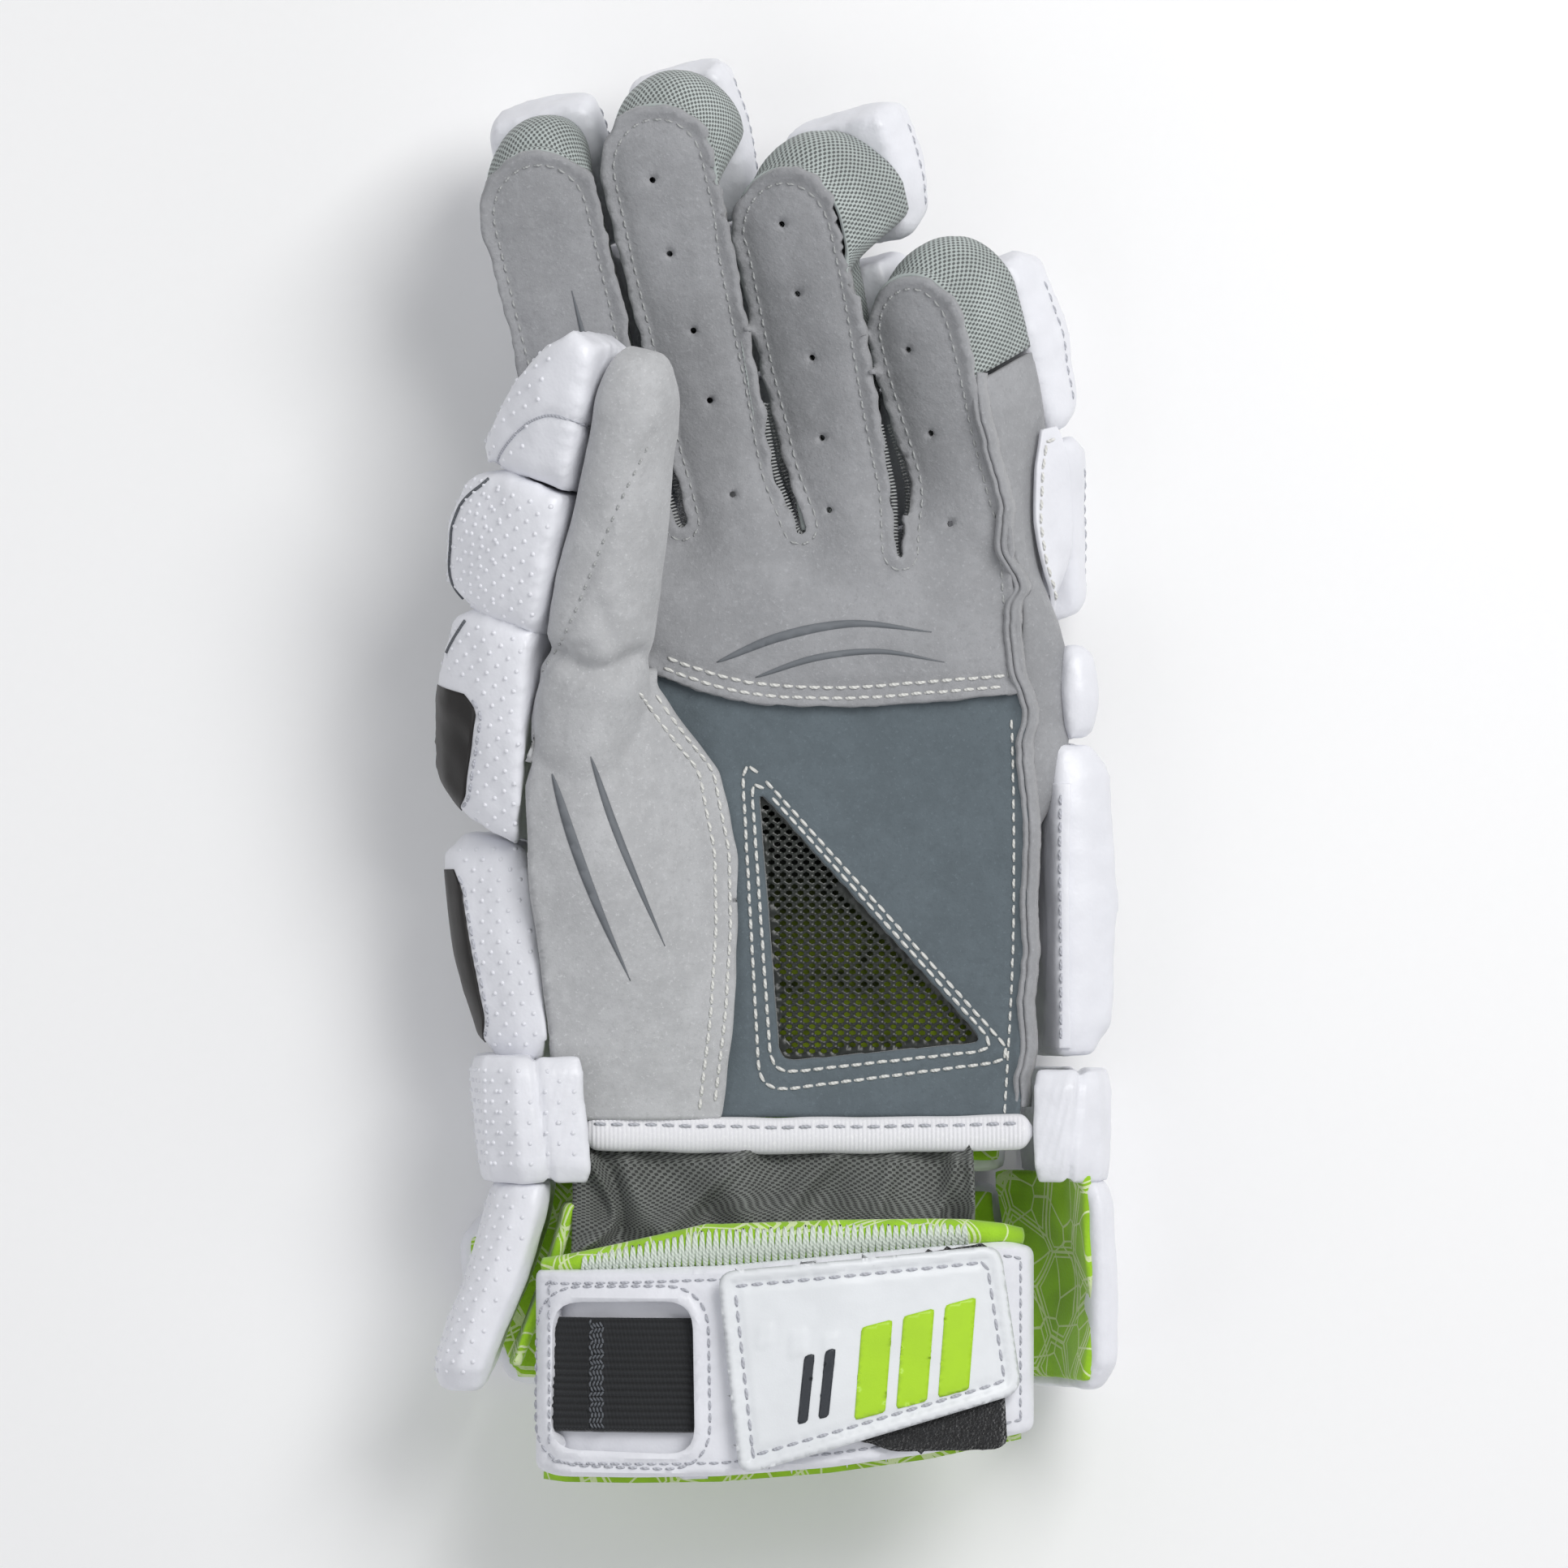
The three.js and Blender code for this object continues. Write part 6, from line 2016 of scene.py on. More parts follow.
@dataclass
class Blocks:
    """The white blocks on the fingers, the thumb, the edges and the back of the hand."""

    needle: Needle
    dot_pitch: float = 4.8
    dot_clearance: float = 2.6
    ray_start: float = 45.0
    made: dict[str, Ground] = field(default_factory=dict)

    # The glossy inlays: the block they are wrapped over, from and to which shares of its length, and the
    # angles of their upper and lower edges around it at both ends
    INLAYS = (
        ("thumb_inlay", "thumb_pad_base", 0.08, 0.68, (184, 192), (112, 112)),
        ("radial_inlay", "radial_pad", 0.06, 0.94, (190, 160), (108, 108)),
    )

    def build(self) -> None:
        """Makes every block, its seams and its dots, and the glossy inlays."""
        seams, dots, pieces = [], [], []
        for block in BLOCKS:
            piece = self.pad(block)
            pieces.append(piece)
            ground = self.made[block.node] = Ground(piece)
            if block.line in FINGERS.values():
                seams += self.seams(block, ground)
            dots += [(block.node, self.dots(block, piece, ground, np.array(way))) for way in block.dots]
        for piece, block in zip(pieces, BLOCKS):
            finish(piece, Look.LEATHER, Form.PAD, [block.node])
        self.needle.sew("block_stitches", Look.PALE_THREAD, seams, 3.0, 0.75, 0.6, 0.03)
        films = {inlay[1]: self.inlay(*inlay) for inlay in self.INLAYS}
        found = []
        for node, (places, normals) in dots:
            if node in films:
                away = np.linalg.norm(places - films[node].nearest(places)[0], axis=1)
                places, normals = places[away > self.dot_clearance], normals[away > self.dot_clearance]
            found.append((places, normals))
        self.needle.stud("leather_dots", found)
        self.edgings()
        self.flange()

    def pad(self, block: Block) -> Piece:
        """Makes one block: rounded, swollen and faintly wrinkled, with grooves at its seams."""
        piece = node_copy(block.node.replace("pad", "block") + "_cover", block.node)
        remeshed(piece, block.voxel, 4)
        if block.ends:
            self.stretch(piece, block)
        points = points_of(piece)
        low, high = points.min(0), points.max(0)
        normals = normals_of(piece)
        wrinkle = lumps(points, (0.4, 13, 1), (0.28, 5.5, 2))
        if block.line is not None:
            along, _, _ = self.local(block, points)
            share = (along - along.min()) / (along.max() - along.min())
            near_end = bell(np.abs(share - 0.5) - 0.44, 0.06)
            crown = (1 - (2 * share - 1) ** 2).clip(0, 1)
            puff = 0.9 * crown + wrinkle * (1 + 1.1 * near_end)
        else:
            middle = (low + high) / 2
            share = np.abs((points - middle) / ((high - low) / 2)).clip(0, 1)
            puff = 0.9 * (1 - share[:, 0] ** 2) * (1 - share[:, 1] ** 2) + wrinkle
            puff *= smooth(1.0, 6.0, points[:, 2] - low[2]) if low[2] < 1 else 1
        puff -= self.pressed(block, points)
        moved = points + normals * puff[:, None]
        moved[:, 0] += block.shift
        moved[:, 2] = np.maximum(moved[:, 2], min(low[2], 0.0) if low[2] < 1 else -1e9)
        move_points(piece, moved)
        return piece

    def stretch(self, piece: Piece, block: Block) -> None:
        """Slants a block's ends and its outer face by its own tables."""
        points = points_of(piece)
        along, aside, depth = self.local(block, points)
        deep = (depth / block.deep).clip(0, 1)
        share = (along - block.start) / (block.end - block.start)
        shares, firsts, lasts = zip(*block.ends)
        goal = mix(np.interp(deep, shares, firsts), np.interp(deep, shares, lasts), share)
        further = (mix(*block.reach, share) - 1) * block.deep * deep
        upper = (-aside / block.left).clip(0, 1) ** 2 * (1 - 0.7 * deep)
        origin, across, out, _, _ = block.line.frame(along)
        nearer = mix(*block.near, share.clip(0, 1)) * upper - further
        risen = -across * (3.2 * upper)[:, None] + out * nearer[:, None]
        move_points(piece, points + (block.line.frame(goal)[0] - origin) + risen)

    @staticmethod
    def pressed(block: Block, points: Points) -> Points:
        """Returns how deep the sewn lines and gathers of the leather are pressed at each point."""
        deep = np.zeros(len(points))
        if block.node == "thumb_pad_tip":
            deep += 0.8 * bell(distance(points, curved(TIP_SEAM, 0.8)), 0.9) * (points[:, 2] > 40)
        if block.node.startswith("wrist_block"):
            sign = 1 if block.node.endswith("left") else -1
            fold = {1: -53.5, -1: 70.5}[sign] - sign * 0.12 * (points[:, 1] + 82)
            inner = smooth(0, 2.5, sign * (points[:, 0] - fold))
            deep += 1.3 * bell(points[:, 0] - fold, 0.9)
            ribs = np.sin((points[:, 0] - 0.25 * points[:, 1]) * 2 * math.pi / 2.1)
            low, high = points[:, 1].min(), points[:, 1].max()
            kept = smooth(low + 1, low + 6, points[:, 1]) * (1 - smooth(high - 6, high - 1, points[:, 1]))
            rim = (sign * points[:, 0]).max() - sign * points[:, 0]
            kept *= smooth(1.5, 6.0, rim)
            deep -= 0.24 * ribs * inner * kept * smooth(14, 30, points[:, 2])
        return deep

    @staticmethod
    def local(block: Block, points: Points) -> tuple[Points, Points, Points]:
        """Returns how far points lie along and across a block's line, and how deep in the block."""
        line = block.line
        along, _, _, _ = line.plan(points[:, 0], points[:, 1])
        origin, across, out, _, _ = line.frame(along)
        apart = points - origin
        depth = -np.einsum("ij,ij->i", apart, out)
        return along, np.einsum("ij,ij->i", apart, across), depth - line.room_at(along) - SEAM

    def seams(self, block: Block, ground: Ground) -> list[tuple[Points, Points]]:
        """Returns the stitch lines along a block's two sides."""
        line, found = block.line, []
        length = block.end - block.start
        for sign, reach in ((-1, block.left), (1, block.right)):
            along = np.arange(block.start + 0.12 * length, block.end - 0.12 * length, 0.8)
            depth = line.room_at(along) + SEAM + 0.55 * block.deep
            starts = line.at(along, np.full_like(along, sign * (reach + 25)), depth)
            goals = line.at(along, np.zeros_like(along), depth)
            places, normals, met = ground.along(starts, goals - starts)
            found.append((places[met], normals[met]))
        return [pair for pair in found if len(pair[0]) > 6]

    def dots(self, block: Block, piece: Piece, ground: Ground, way: Points) -> tuple[Points, Points]:
        """Finds places for dots on the side of a block that faces a direction, in staggered rows.

        Args:
            block: the block.
            piece: its finished mesh.
            ground: its surface.
            way: the direction.

        Returns:
            The dots' places and the surface's directions there.
        """
        way = unit(way)
        forward = np.array([0.0, 1.0, 0.0])
        if block.line is not None:
            a, b = block.line.at(np.array([block.start, block.end]), np.zeros(2), np.zeros(2))
            forward = unit(b - a)
        side = unit(np.cross(forward, way))
        forward = np.cross(way, side)
        points = points_of(piece)
        u, v = points @ forward, points @ side
        spots = staggered((u.min(), v.min()), (u.max(), v.max()), self.dot_pitch, self.dot_pitch / 2)
        starts = forward * spots[:, :1] + side * spots[:, 1:] + way * ((points @ way).max() + 5)
        places, normals, met = ground.along(starts, -way)
        met &= (normals @ way) > 0.62
        inner = (spots[:, 0] > u.min() + 3) & (spots[:, 0] < u.max() - 3)
        return places[met & inner], normals[met & inner]

    def around(
        self, block: Block, along: Points, angles: Points
    ) -> tuple[Points, Points, Points, np.ndarray]:
        """Finds places round the middle of a block.

        Args:
            block: the block.
            along: distances along its line.
            angles: for each of them an angle round it in radians, from its right side over its hand side.

        Returns:
            The places met, the surface's directions there, the block's middle and the outward directions, and
            which rays met the block.
        """
        line, none = block.line, np.zeros(len(along))
        centre = line.at(along, none, line.room_at(along) + SEAM + block.deep / 2)
        _, across, out, _, _ = line.frame(along)
        ways = across * np.cos(angles)[:, None] - out * np.sin(angles)[:, None]
        places, normals, met = self.made[block.node].along(centre + ways * self.ray_start, -ways)
        return places, normals, centre + ways * block.left, met

    def inlay(
        self,
        name: str,
        host: str,
        start: float,
        end: float,
        upper: tuple[float, float],
        lower: tuple[float, float],
    ) -> Ground:
        """Makes a glossy inlay and its stitches.

        Args:
            name: its node.
            host: the node of the block that it is wrapped over.
            start: the share of the block's length at which it starts.
            end: the share at which it ends.
            upper: the angles of its upper edge at both ends.
            lower: the angles of its lower edge.

        Returns:
            Its surface.
        """
        block = next(b for b in BLOCKS if b.node == host)
        along = mix(block.start, block.end, np.linspace(start, end, 44))
        rows = []
        for a, share in zip(along, np.linspace(0, 1, 44)):
            corner = 1 - (1 - min(1, 6 * share, 6 * (1 - share))) ** 2
            low, high = mix(*lower, share), mix(*upper, share)
            angles = np.radians(mix(low, low + (high - low) * mix(0.8, 1, corner), np.linspace(0, 1, 24)))
            places, normals, inside, met = self.around(block, np.full(24, a), angles)
            rows.append(np.where(met[:, None], places + normals * 0.3, inside))
        grid = np.stack(rows, 0)
        middle = block.line.at(along.mean(), 0.0, block.line.room_at(along.mean()) + SEAM + block.deep / 2)[0]
        piece, _ = grid_sheet(f"{name}_film", grid, middle, 0.6)
        film = Ground(piece)
        finish(piece, Look.GLOSS, replaces=[name])
        path = resample(grid[1:-1, -1] + (grid[1:-1, -1] - grid[1:-1, -3]) * 0.8, THREAD_STEP)
        places, normals = self.made[host].nearest(path)
        line = (places, facing_normals(places, normals, middle))
        self.needle.sew(f"{name}_stitches", Look.PALE_THREAD, [line], 3.1, 0.75, 0.75)
        return film

    def flange(self) -> None:
        """Lays the leather flange over the inner side of the outer block, with its stitches."""
        y = np.linspace(-66, -4.2, 90)
        rows = []
        for share in np.linspace(0, 1, 10):
            x = mix(63.6 + 0.4 * np.sin(y / 9), 69.4 + 0.3 * np.sin(y / 13 + 1), share)
            places, _, met = self.made["ulnar_pad"].under(np.column_stack([x, y]))
            rows.append(np.column_stack([x, y, np.interp(y, y[met], places[met, 2]) + 0.9]))
        grid = np.stack(rows, 1)
        lump = 0.25 * rough(grid.reshape(-1, 3), 9, 2).reshape(grid.shape[:2])
        grid[:, :, 2] = eased(grid[:, :, 2], 6) + lump
        piece, area = grid_sheet("outer_flange", grid, (60, -35, 0), 0.9)
        modify(piece, "BEVEL", width=0.3 * MM, segments=2, limit_method="ANGLE")
        over = Ground(piece)
        finish(piece, Look.LEATHER, Form.SHEET, (), area)
        line = np.column_stack([mix(grid[:, 0, 0], grid[:, -1, 0], 0.62), y])[2:-2]
        seam = draped(over, resample(line, THREAD_STEP))
        self.needle.sew("flange_stitches", Look.PALE_THREAD, [seam], 3.2, 0.75, 0.75)

    def edgings(self) -> None:
        """Lays the thin grey edgings along the outer ends of the thumb's blocks and on the tip's seam."""
        lines = []
        for host, angle, first in (("thumb_pad_middle", 130, 0.0), ("thumb_pad_base", 134, 0.78)):
            block = next(b for b in BLOCKS if b.node == host)
            share = np.linspace(0.06, 0.98, 50)
            turns = np.radians(angle + 24 * smooth(0.7, 1, share) + 12 * (1 - smooth(0, 0.3, share)))
            places, normals, _, met = self.around(block, mix(block.start, block.end, share) + 3, turns)
            met &= share > first
            lines.append(eased(places[met] + normals[met] * 0.15, 4))
        places, normals, met = self.made["thumb_pad_tip"].under(curved(TIP_SEAM, 0.9))
        cords("block_edging", Look.DARK_THREAD, lines, 0.42)
        cords("tip_seam", Look.PALE_THREAD, [places[met] + normals[met] * 0.12], 0.3)


def cords(name: str, look: Look, lines: Sequence[Points], radius: float, sides: int = 7) -> None:
    """Makes round cords along lines, as one finished piece.

    Args:
        name: the piece's name.
        look: its finish.
        lines: for each cord, its points.
        radius: the cords' radius.
        sides: how many sides a cord has.
    """
    points, faces = [], []
    turns = np.linspace(0, 2 * math.pi, sides + 1)[:-1]
    for line in lines:
        line = resample(line, 0.9)
        along = unit(np.gradient(line, axis=0))
        side = unit(np.cross(along, UP + np.array([0.01, 0.02, 0])))
        over = np.cross(side, along)
        around = side[:, None] * np.cos(turns)[:, None] + over[:, None] * np.sin(turns)[:, None]
        faces += tube_faces(len(line), sides, sum(len(p) for p in points))
        points.append((line[:, None] + radius * around).reshape(-1, 3))
    piece = mesh_piece(name, np.vstack(points), faces)
    outwards(piece)
    finish(piece, look)


def facing_normals(places: Points, normals: Points, centre: Points) -> Points:
    """Returns the directions turned away from a centre."""
    away = np.einsum("ij,ij->i", normals, places - centre)
    return normals * np.where(away < 0, -1, 1)[:, None]


# The wrist and the cuff


def at_wrist(across: float, back: float) -> tuple[float, float]:
    """Returns a place in plan from a share of the palm's half width and millimetres below the hem."""
    return PALM_OFFSET + across * PALM_WIDTH / 2, HEM_Y - back


@dataclass
class Wrist:
    """The hem's tape, the gathered mesh, and the band with its window, elastic, strap tab and pile."""

    needle: Needle
    spacing: float = 1.3

    WINDOW = [at_wrist(*q) for q in ((-0.93, 42.5), (-0.36, 42.0), (-0.35, 77.5), (-0.94, 76.5))]
    TAB = [at_wrist(*q) for q in ((-0.26, 35.0), (0.89, 29.0), (0.98, 63.3), (-0.17, 82.2))]
    PILE = [
        at_wrist(*q)
        for q in (
            (-0.12, 37), (0.84, 28.6), (0.88, 34), (0.92, 75), (0.88, 76.5), (0.45, 76.8), (0.35, 74.5), (-0.06, 70)
        )
    ]
    PLEATS = [
        ([(-42.9, -92), (-38, -105), (-47.5, -114.2)], 5.4, 1.7),
        ([(45.5, -88), (45.8, -104), (39.7, -113)], 4.6, 1.6),
        ([(42.0, -91), (34.2, -113)], 3.6, 1.5),
        ([(16, -90), (1.6, -106)], 2.8, 2.6),
        ([(-5.7, -90), (-25.7, -107)], 3.2, 2.8),
        ([(28, -92), (22, -112)], 2.4, 2.2),
    ]
    BEHIND = (-30, -140, -300)
    ROLL = [(-1, 1), (-0.75, 3.5), (-0.3, 8.5), (0.2, 7), (0.75, 4.5), (1, 2)]

    def build(self) -> None:
        """Makes every piece of the wrist."""
        self.make_hem()
        self.make_gore()
        self.make_band()
        self.make_elastic()
        self.make_backing()
        self.make_lining()
        self.make_pile()
        self.make_tab()

    def make_hem(self) -> None:
        """Makes the ribbed tape that binds the palm's hem, with its edge cord and stitches."""
        x = np.arange(PALM_OFFSET - 0.81 * PALM_WIDTH / 2, PALM_OFFSET + 1.03 * PALM_WIDTH / 2, 0.24)
        z = palm_height(x, np.full_like(x, HEM_Y)) - 1 + 0.35 * rough(on_line(x), 12)
        y = HEM_Y - SEAM - BINDING / 2 + 1.3 - 1.5 * np.cos((x - PALM_OFFSET) / 42)
        y += 0.5 * rough(on_line(x), 15, 4)
        turns = np.linspace(0, 2 * math.pi, 25)[:-1]
        c, s = np.cos(turns), np.sin(turns)
        rib = 1 + 0.06 * np.sin(x * 2 * math.pi / 1.0)
        across = np.sign(c) * np.abs(c) ** 0.8 * BINDING * 0.56
        up = np.sign(s) * np.abs(s) ** 0.9 * 2.7
        groove = bell(across - 2.0, 0.55) * (up > 0)
        full = (1 - bell(x - x[0] + 1.2, 2.2)) * (1 - bell(x[-1] - x + 1.2, 2.2))
        full = full[:, None] * (1 + 0.05 * rough(on_line(x), 9, 6))[:, None]
        grid = np.stack(
            [
                np.broadcast_to(x[:, None], (len(x), len(c))),
                y[:, None] + across[None] * full,
                z[:, None] + (up - groove)[None] * rib[:, None] * full,
            ],
            -1,
        )
        hem = mesh_piece("hem_tape", grid.reshape(-1, 3), tube_faces(len(x), len(c)))
        outwards(hem)
        ground = Ground(hem)
        finish(hem, Look.TAPE, replaces=["hem_binding"])
        line = np.column_stack([x[6:-6:4], y[6:-6:4] + 2.0])
        self.needle.sew("hem_stitches", Look.PALE_THREAD, [draped(ground, line)], 4.0, 0.7, 0.8, 0.15)

    def make_gore(self) -> None:
        """Makes the mesh between the hem and the band, gathered into soft folds."""
        up = np.linspace(0, 1, 46)
        across = np.linspace(-0.86, 0.78, 190)
        x = PALM_OFFSET + across * PALM_WIDTH / 2
        hem = palm_height(x, np.full_like(x, HEM_Y)) - 4
        band = band_at(x, 3) - BAND_PAD - WEB - LINING - 4 * SEAM - 0.3
        rows = []
        pleats = [(curved(line, 0.8), high, width) for line, high, width in self.PLEATS]
        for share in up:
            y = mix(HEM_Y - 36, HEM_Y - 4.5, share)
            bulge = math.sin(math.pi * share)
            ends = bell(x - x[0] - 7, 7) + bell(x - x[-1] + 5, 6)
            phase = x / 5.2 + 2.8 * share + 1.7 * np.sin(x / 19 + share * 2.4)
            fold = (2.8 * np.sin(phase) + 1.0 * np.sin(x / 2.9 - 2.4 * share + 2 * np.sin(x / 13))) * bulge
            fold += (3.6 * ends * np.sin(x / 2.4 + 2.6 * share)) * (0.35 + 0.65 * bulge)
            for line, high, width in pleats:
                fold += high * bell(distance(np.column_stack([x, np.full_like(x, y)]), line), width)
            aside = x + 1.2 * ends * np.sin(3 * share)
            drift = 1.4 * np.sin(x / 11 + 1) * bulge
            rows.append(np.column_stack([aside, y + drift, mix(band, hem, share) - 1.2 * bulge + fold]))
        grid = np.stack(rows, 0)
        piece, area = grid_sheet("gathered_mesh", grid, (0, -100, -200), MESH * 0.8, grid_uv(grid))
        finish(piece, Look.GORE, Form.SHEET, ["mesh_gore"], area)

    @staticmethod
    def on_band(plan: Points) -> Points:
        """Returns the height of the band's outer side in plan."""
        return band_at(plan[:, 0], 3)

    @staticmethod
    def band_edge() -> Points:
        """Returns the band's closed edge in plan, with rounded corners."""
        x = PALM_OFFSET + np.linspace(-1, 1.03, 50) * PALM_WIDTH / 2
        upper, lower = (np.column_stack([x, BAND_TOP - band_at(x, column)]) for column in (1, 2))
        inner = slice(2, -2)
        corners = np.vstack([lower[:1], lower[inner], lower[-1:], upper[-1:], upper[inner][::-1], upper[:1]])
        return rounded(corners, 5.0)

    def make_band(self) -> None:
        """Makes the padded band with its window and its stitches."""
        edge_line, window = self.band_edge(), rounded(self.WINDOW, 6.5)
        plan, faces = cut_flat([edge_line, window], self.spacing)
        to_edge, to_window = distance(plan, edge_line), distance(plan, window)
        seam = offset_loop(window, 3.6)
        inner = offset_loop(edge_line, -3.2)
        to_seam = distance(plan, np.vstack([seam, inner]))
        height = self.on_band(plan) - 2.2 * quarter(to_edge / 2.2)
        height += 0.8 * bell(to_window - 1.1, 0.8) - 0.5 * bell(to_seam, 0.9)
        height += lumps(plan, (0.45, 17, 3), (0.2, 6, 4))
        band, _ = layered("wrist_band_leather", np.column_stack([plan, height]), faces, BAND_PAD - 0.4)
        modify(band, "BEVEL", width=0.8 * MM, segments=2, limit_method="ANGLE", angle_limit=1.0)
        ground = Ground(band)
        finish(band, Look.LEATHER, Form.PAD, ["wrist_band"])
        rows = [draped(ground, resample(row, THREAD_STEP, True)) for row in (seam, inner)]
        self.needle.sew("band_stitches", Look.PALE_THREAD, rows, 2.9, 0.75, 0.65, 0.05)

    def make_elastic(self) -> None:
        """Makes the ribbed elastic behind the window, joined by a sewn seam."""
        x = PALM_OFFSET + np.linspace(-0.965, -0.32, 80) * PALM_WIDTH / 2
        y = np.linspace(HEM_Y - 72, HEM_Y - 46, 60)
        seam_x = -40.8
        base = band_at(x, 3) - BAND_PAD + 1.6 + 0.7 * np.exp(-(((x - seam_x) / 2.2) ** 4))
        ribs = 0.16 * np.sin(y * 2 * math.pi / 1.7)
        grid = np.stack([np.column_stack([x, np.full_like(x, q), base + rib]) for q, rib in zip(y, ribs)], 1)
        piece, area = grid_sheet("window_elastic", grid, self.BEHIND, WEB, grid_uv(grid))
        ground = Ground(piece)
        finish(piece, Look.ELASTIC, Form.SHEET, ["elastic_web"], area)
        waves = seam_x + 0.5 * np.sin(y * 2.2)
        lines = [draped(ground, np.column_stack([waves + aside, y])) for aside in (-1.2, -0.4, 0.4, 1.2)]
        self.needle.sew("elastic_stitches", Look.DARK_THREAD, lines, 1.6, 0.8, 0.55, 0.1)

    def make_backing(self) -> None:
        """Makes the white backing that shows beside the elastic."""
        x = PALM_OFFSET + np.linspace(-0.95, -0.33, 40) * PALM_WIDTH / 2
        ys = np.linspace(HEM_Y - 79.5, HEM_Y - 39.5, 44)
        base = band_at(x, 3) - BAND_PAD - 0.9
        grid = np.stack([np.column_stack([x, np.full_like(x, q), base]) for q in ys], 1)
        backing, area = grid_sheet("window_backing", grid, self.BEHIND, 0.5)
        finish(backing, Look.LEATHER, Form.SHEET, (), area)

    def make_lining(self) -> None:
        """Makes the band's lining, which rolls over the band's upper edge under overlock stitches."""
        x = PALM_OFFSET + np.linspace(-0.97, 0.98, 150) * PALM_WIDTH / 2
        across = (x - PALM_OFFSET) * 2 / PALM_WIDTH
        out = table_at(self.ROLL, across)
        upper, lower = BAND_TOP - band_at(x, 1), BAND_TOP - band_at(x, 2) - 1.5
        base = band_at(x, 3) - BAND_PAD - WEB - 2 * SEAM
        shares = np.linspace(0, 1, 26)
        profile = [np.column_stack([x, mix(lower, upper - 1.0, share), base]) for share in shares]
        puff = 0.35 * rough(on_line(x), 5, 3)
        for angle in np.radians(np.linspace(-80, 200, 20)):
            ring_y = upper + 0.2 + out * (0.5 + 0.5 * math.cos(angle))
            ring_z = base + 1.2 + (2.6 + puff) * math.sin(angle)
            profile.append(np.column_stack([x, ring_y, ring_z]))
        piece, area = grid_sheet("band_lining_cloth", np.stack(profile, 0), (0, -130, -300), 1.0)
        ground = Ground(piece)
        finish(piece, Look.LIME, Form.SHEET, ["band_lining"], area)
        step = 1.6
        zig = np.arange(x[0] + 9, x[-1] - 12, step / 2)
        high = np.interp(zig, x, upper + out * 0.97 + 0.3)
        low = np.interp(zig, x, upper - 1.4)
        corners = np.column_stack([zig, np.where(np.arange(len(zig)) % 2, high, low)])
        places, normals, met = ground.under(resample(corners, 0.7))
        cords("overlock_stitches", Look.CLEAR_THREAD, [places[met] + normals[met] * 0.2], 0.48, 5)

    def make_pile(self) -> None:
        """Makes the fastener's pile under the strap tab."""
        edge_line = rounded(self.PILE, 2.5)
        plan, faces = cut_flat([edge_line], 1.5)
        height = self.on_band(plan) + SEAM + LOOP + 0.35 * rough(plan, 1.7, 3)
        piece, area = layered("fastener_pile", np.column_stack([plan, height]), faces, LOOP)
        finish(piece, Look.PILE, Form.SHEET, ["loop_patch"], area)

    def make_tab(self) -> None:
        """Makes the moulded strap tab: a raised border, a sunk field with plain facets, and stitches."""
        edge_line = rounded(self.TAB, 4.2)
        border = offset_loop(edge_line, -2.6)
        plan, faces = cut_flat([edge_line, border], 0.9)
        inner_plan, inner_faces = cut_flat([border], 0.9)
        faces = faces + [tuple(len(plan) + i for i in f) for f in inner_faces]
        plan = np.vstack([plan, inner_plan])
        to_edge = distance(plan, edge_line)
        height = self.on_band(plan) + LOOP + 2 * SEAM + TAB
        height -= 1.1 * quarter(to_edge / 1.1)
        height -= 0.9 * smooth(1.9, 3.0, to_edge) - 0.45 * smooth(4.4, 5.2, to_edge)
        for strip, lift in self.facets():
            near = distance(plan, strip)
            height += lift * np.where(within(plan, [strip]), smooth(0, 0.9, near), 0)
        tab = mesh_piece("strap_tab_rubber", np.column_stack([plan, height]), faces)
        merged(tab, 1e-6)
        modify(tab, "SOLIDIFY", thickness=(TAB - 0.4) * MM, offset=-1.0)
        ground = Ground(tab)
        finish(tab, Look.RUBBER, replaces=["strap_tab"])
        seam = draped(ground, resample(offset_loop(edge_line, -3.7), THREAD_STEP, True))
        self.needle.sew("tab_stitches", Look.PALE_THREAD, [seam], 3.6, 0.75, 0.75, 0.02)
        wide = [self.slanted(a, a + 7.4, 3.2, 23.5) for a in (26.5, 36.5, 46.5)]
        narrow = [self.slanted(a, a + 2.5, 5.5, 20.5, 5.6) for a in (18.5, 13.5)]
        printed("tab_bars", Look.LIME_PRINT, ground, wide, 0.16, 1.0)
        printed("tab_stripes", Look.DARK_PRINT, ground, narrow, 0.16, 1.0)

    @staticmethod
    def slanted(left: float, right: float, low: float, high: float, lean: float = 7.0) -> Points:
        """Returns a slanted bar in plan, in millimetres from the tab's lower left corner, along the tab."""
        turn = math.radians(14.5)
        corners = np.array([(left, low), (right, low), (right + lean, high), (left + lean, high)], float)
        along = np.array([math.cos(turn), math.sin(turn)])
        up = np.array([-math.sin(turn), math.cos(turn)])
        return rounded(corners[:, :1] * along + corners[:, 1:] * up + np.array([-6.0, -161.0]), 0.8, 0.8)

    def facets(self) -> list[tuple[Points, float]]:
        """Returns the raised plain bars of the tab's field."""
        lefts = enumerate((8, 15, 22))
        return [(self.slanted(a, a + 4.5, 24.5 - 4 * i, 30.0 - 3 * i, 2.0), 0.4) for i, a in lefts]


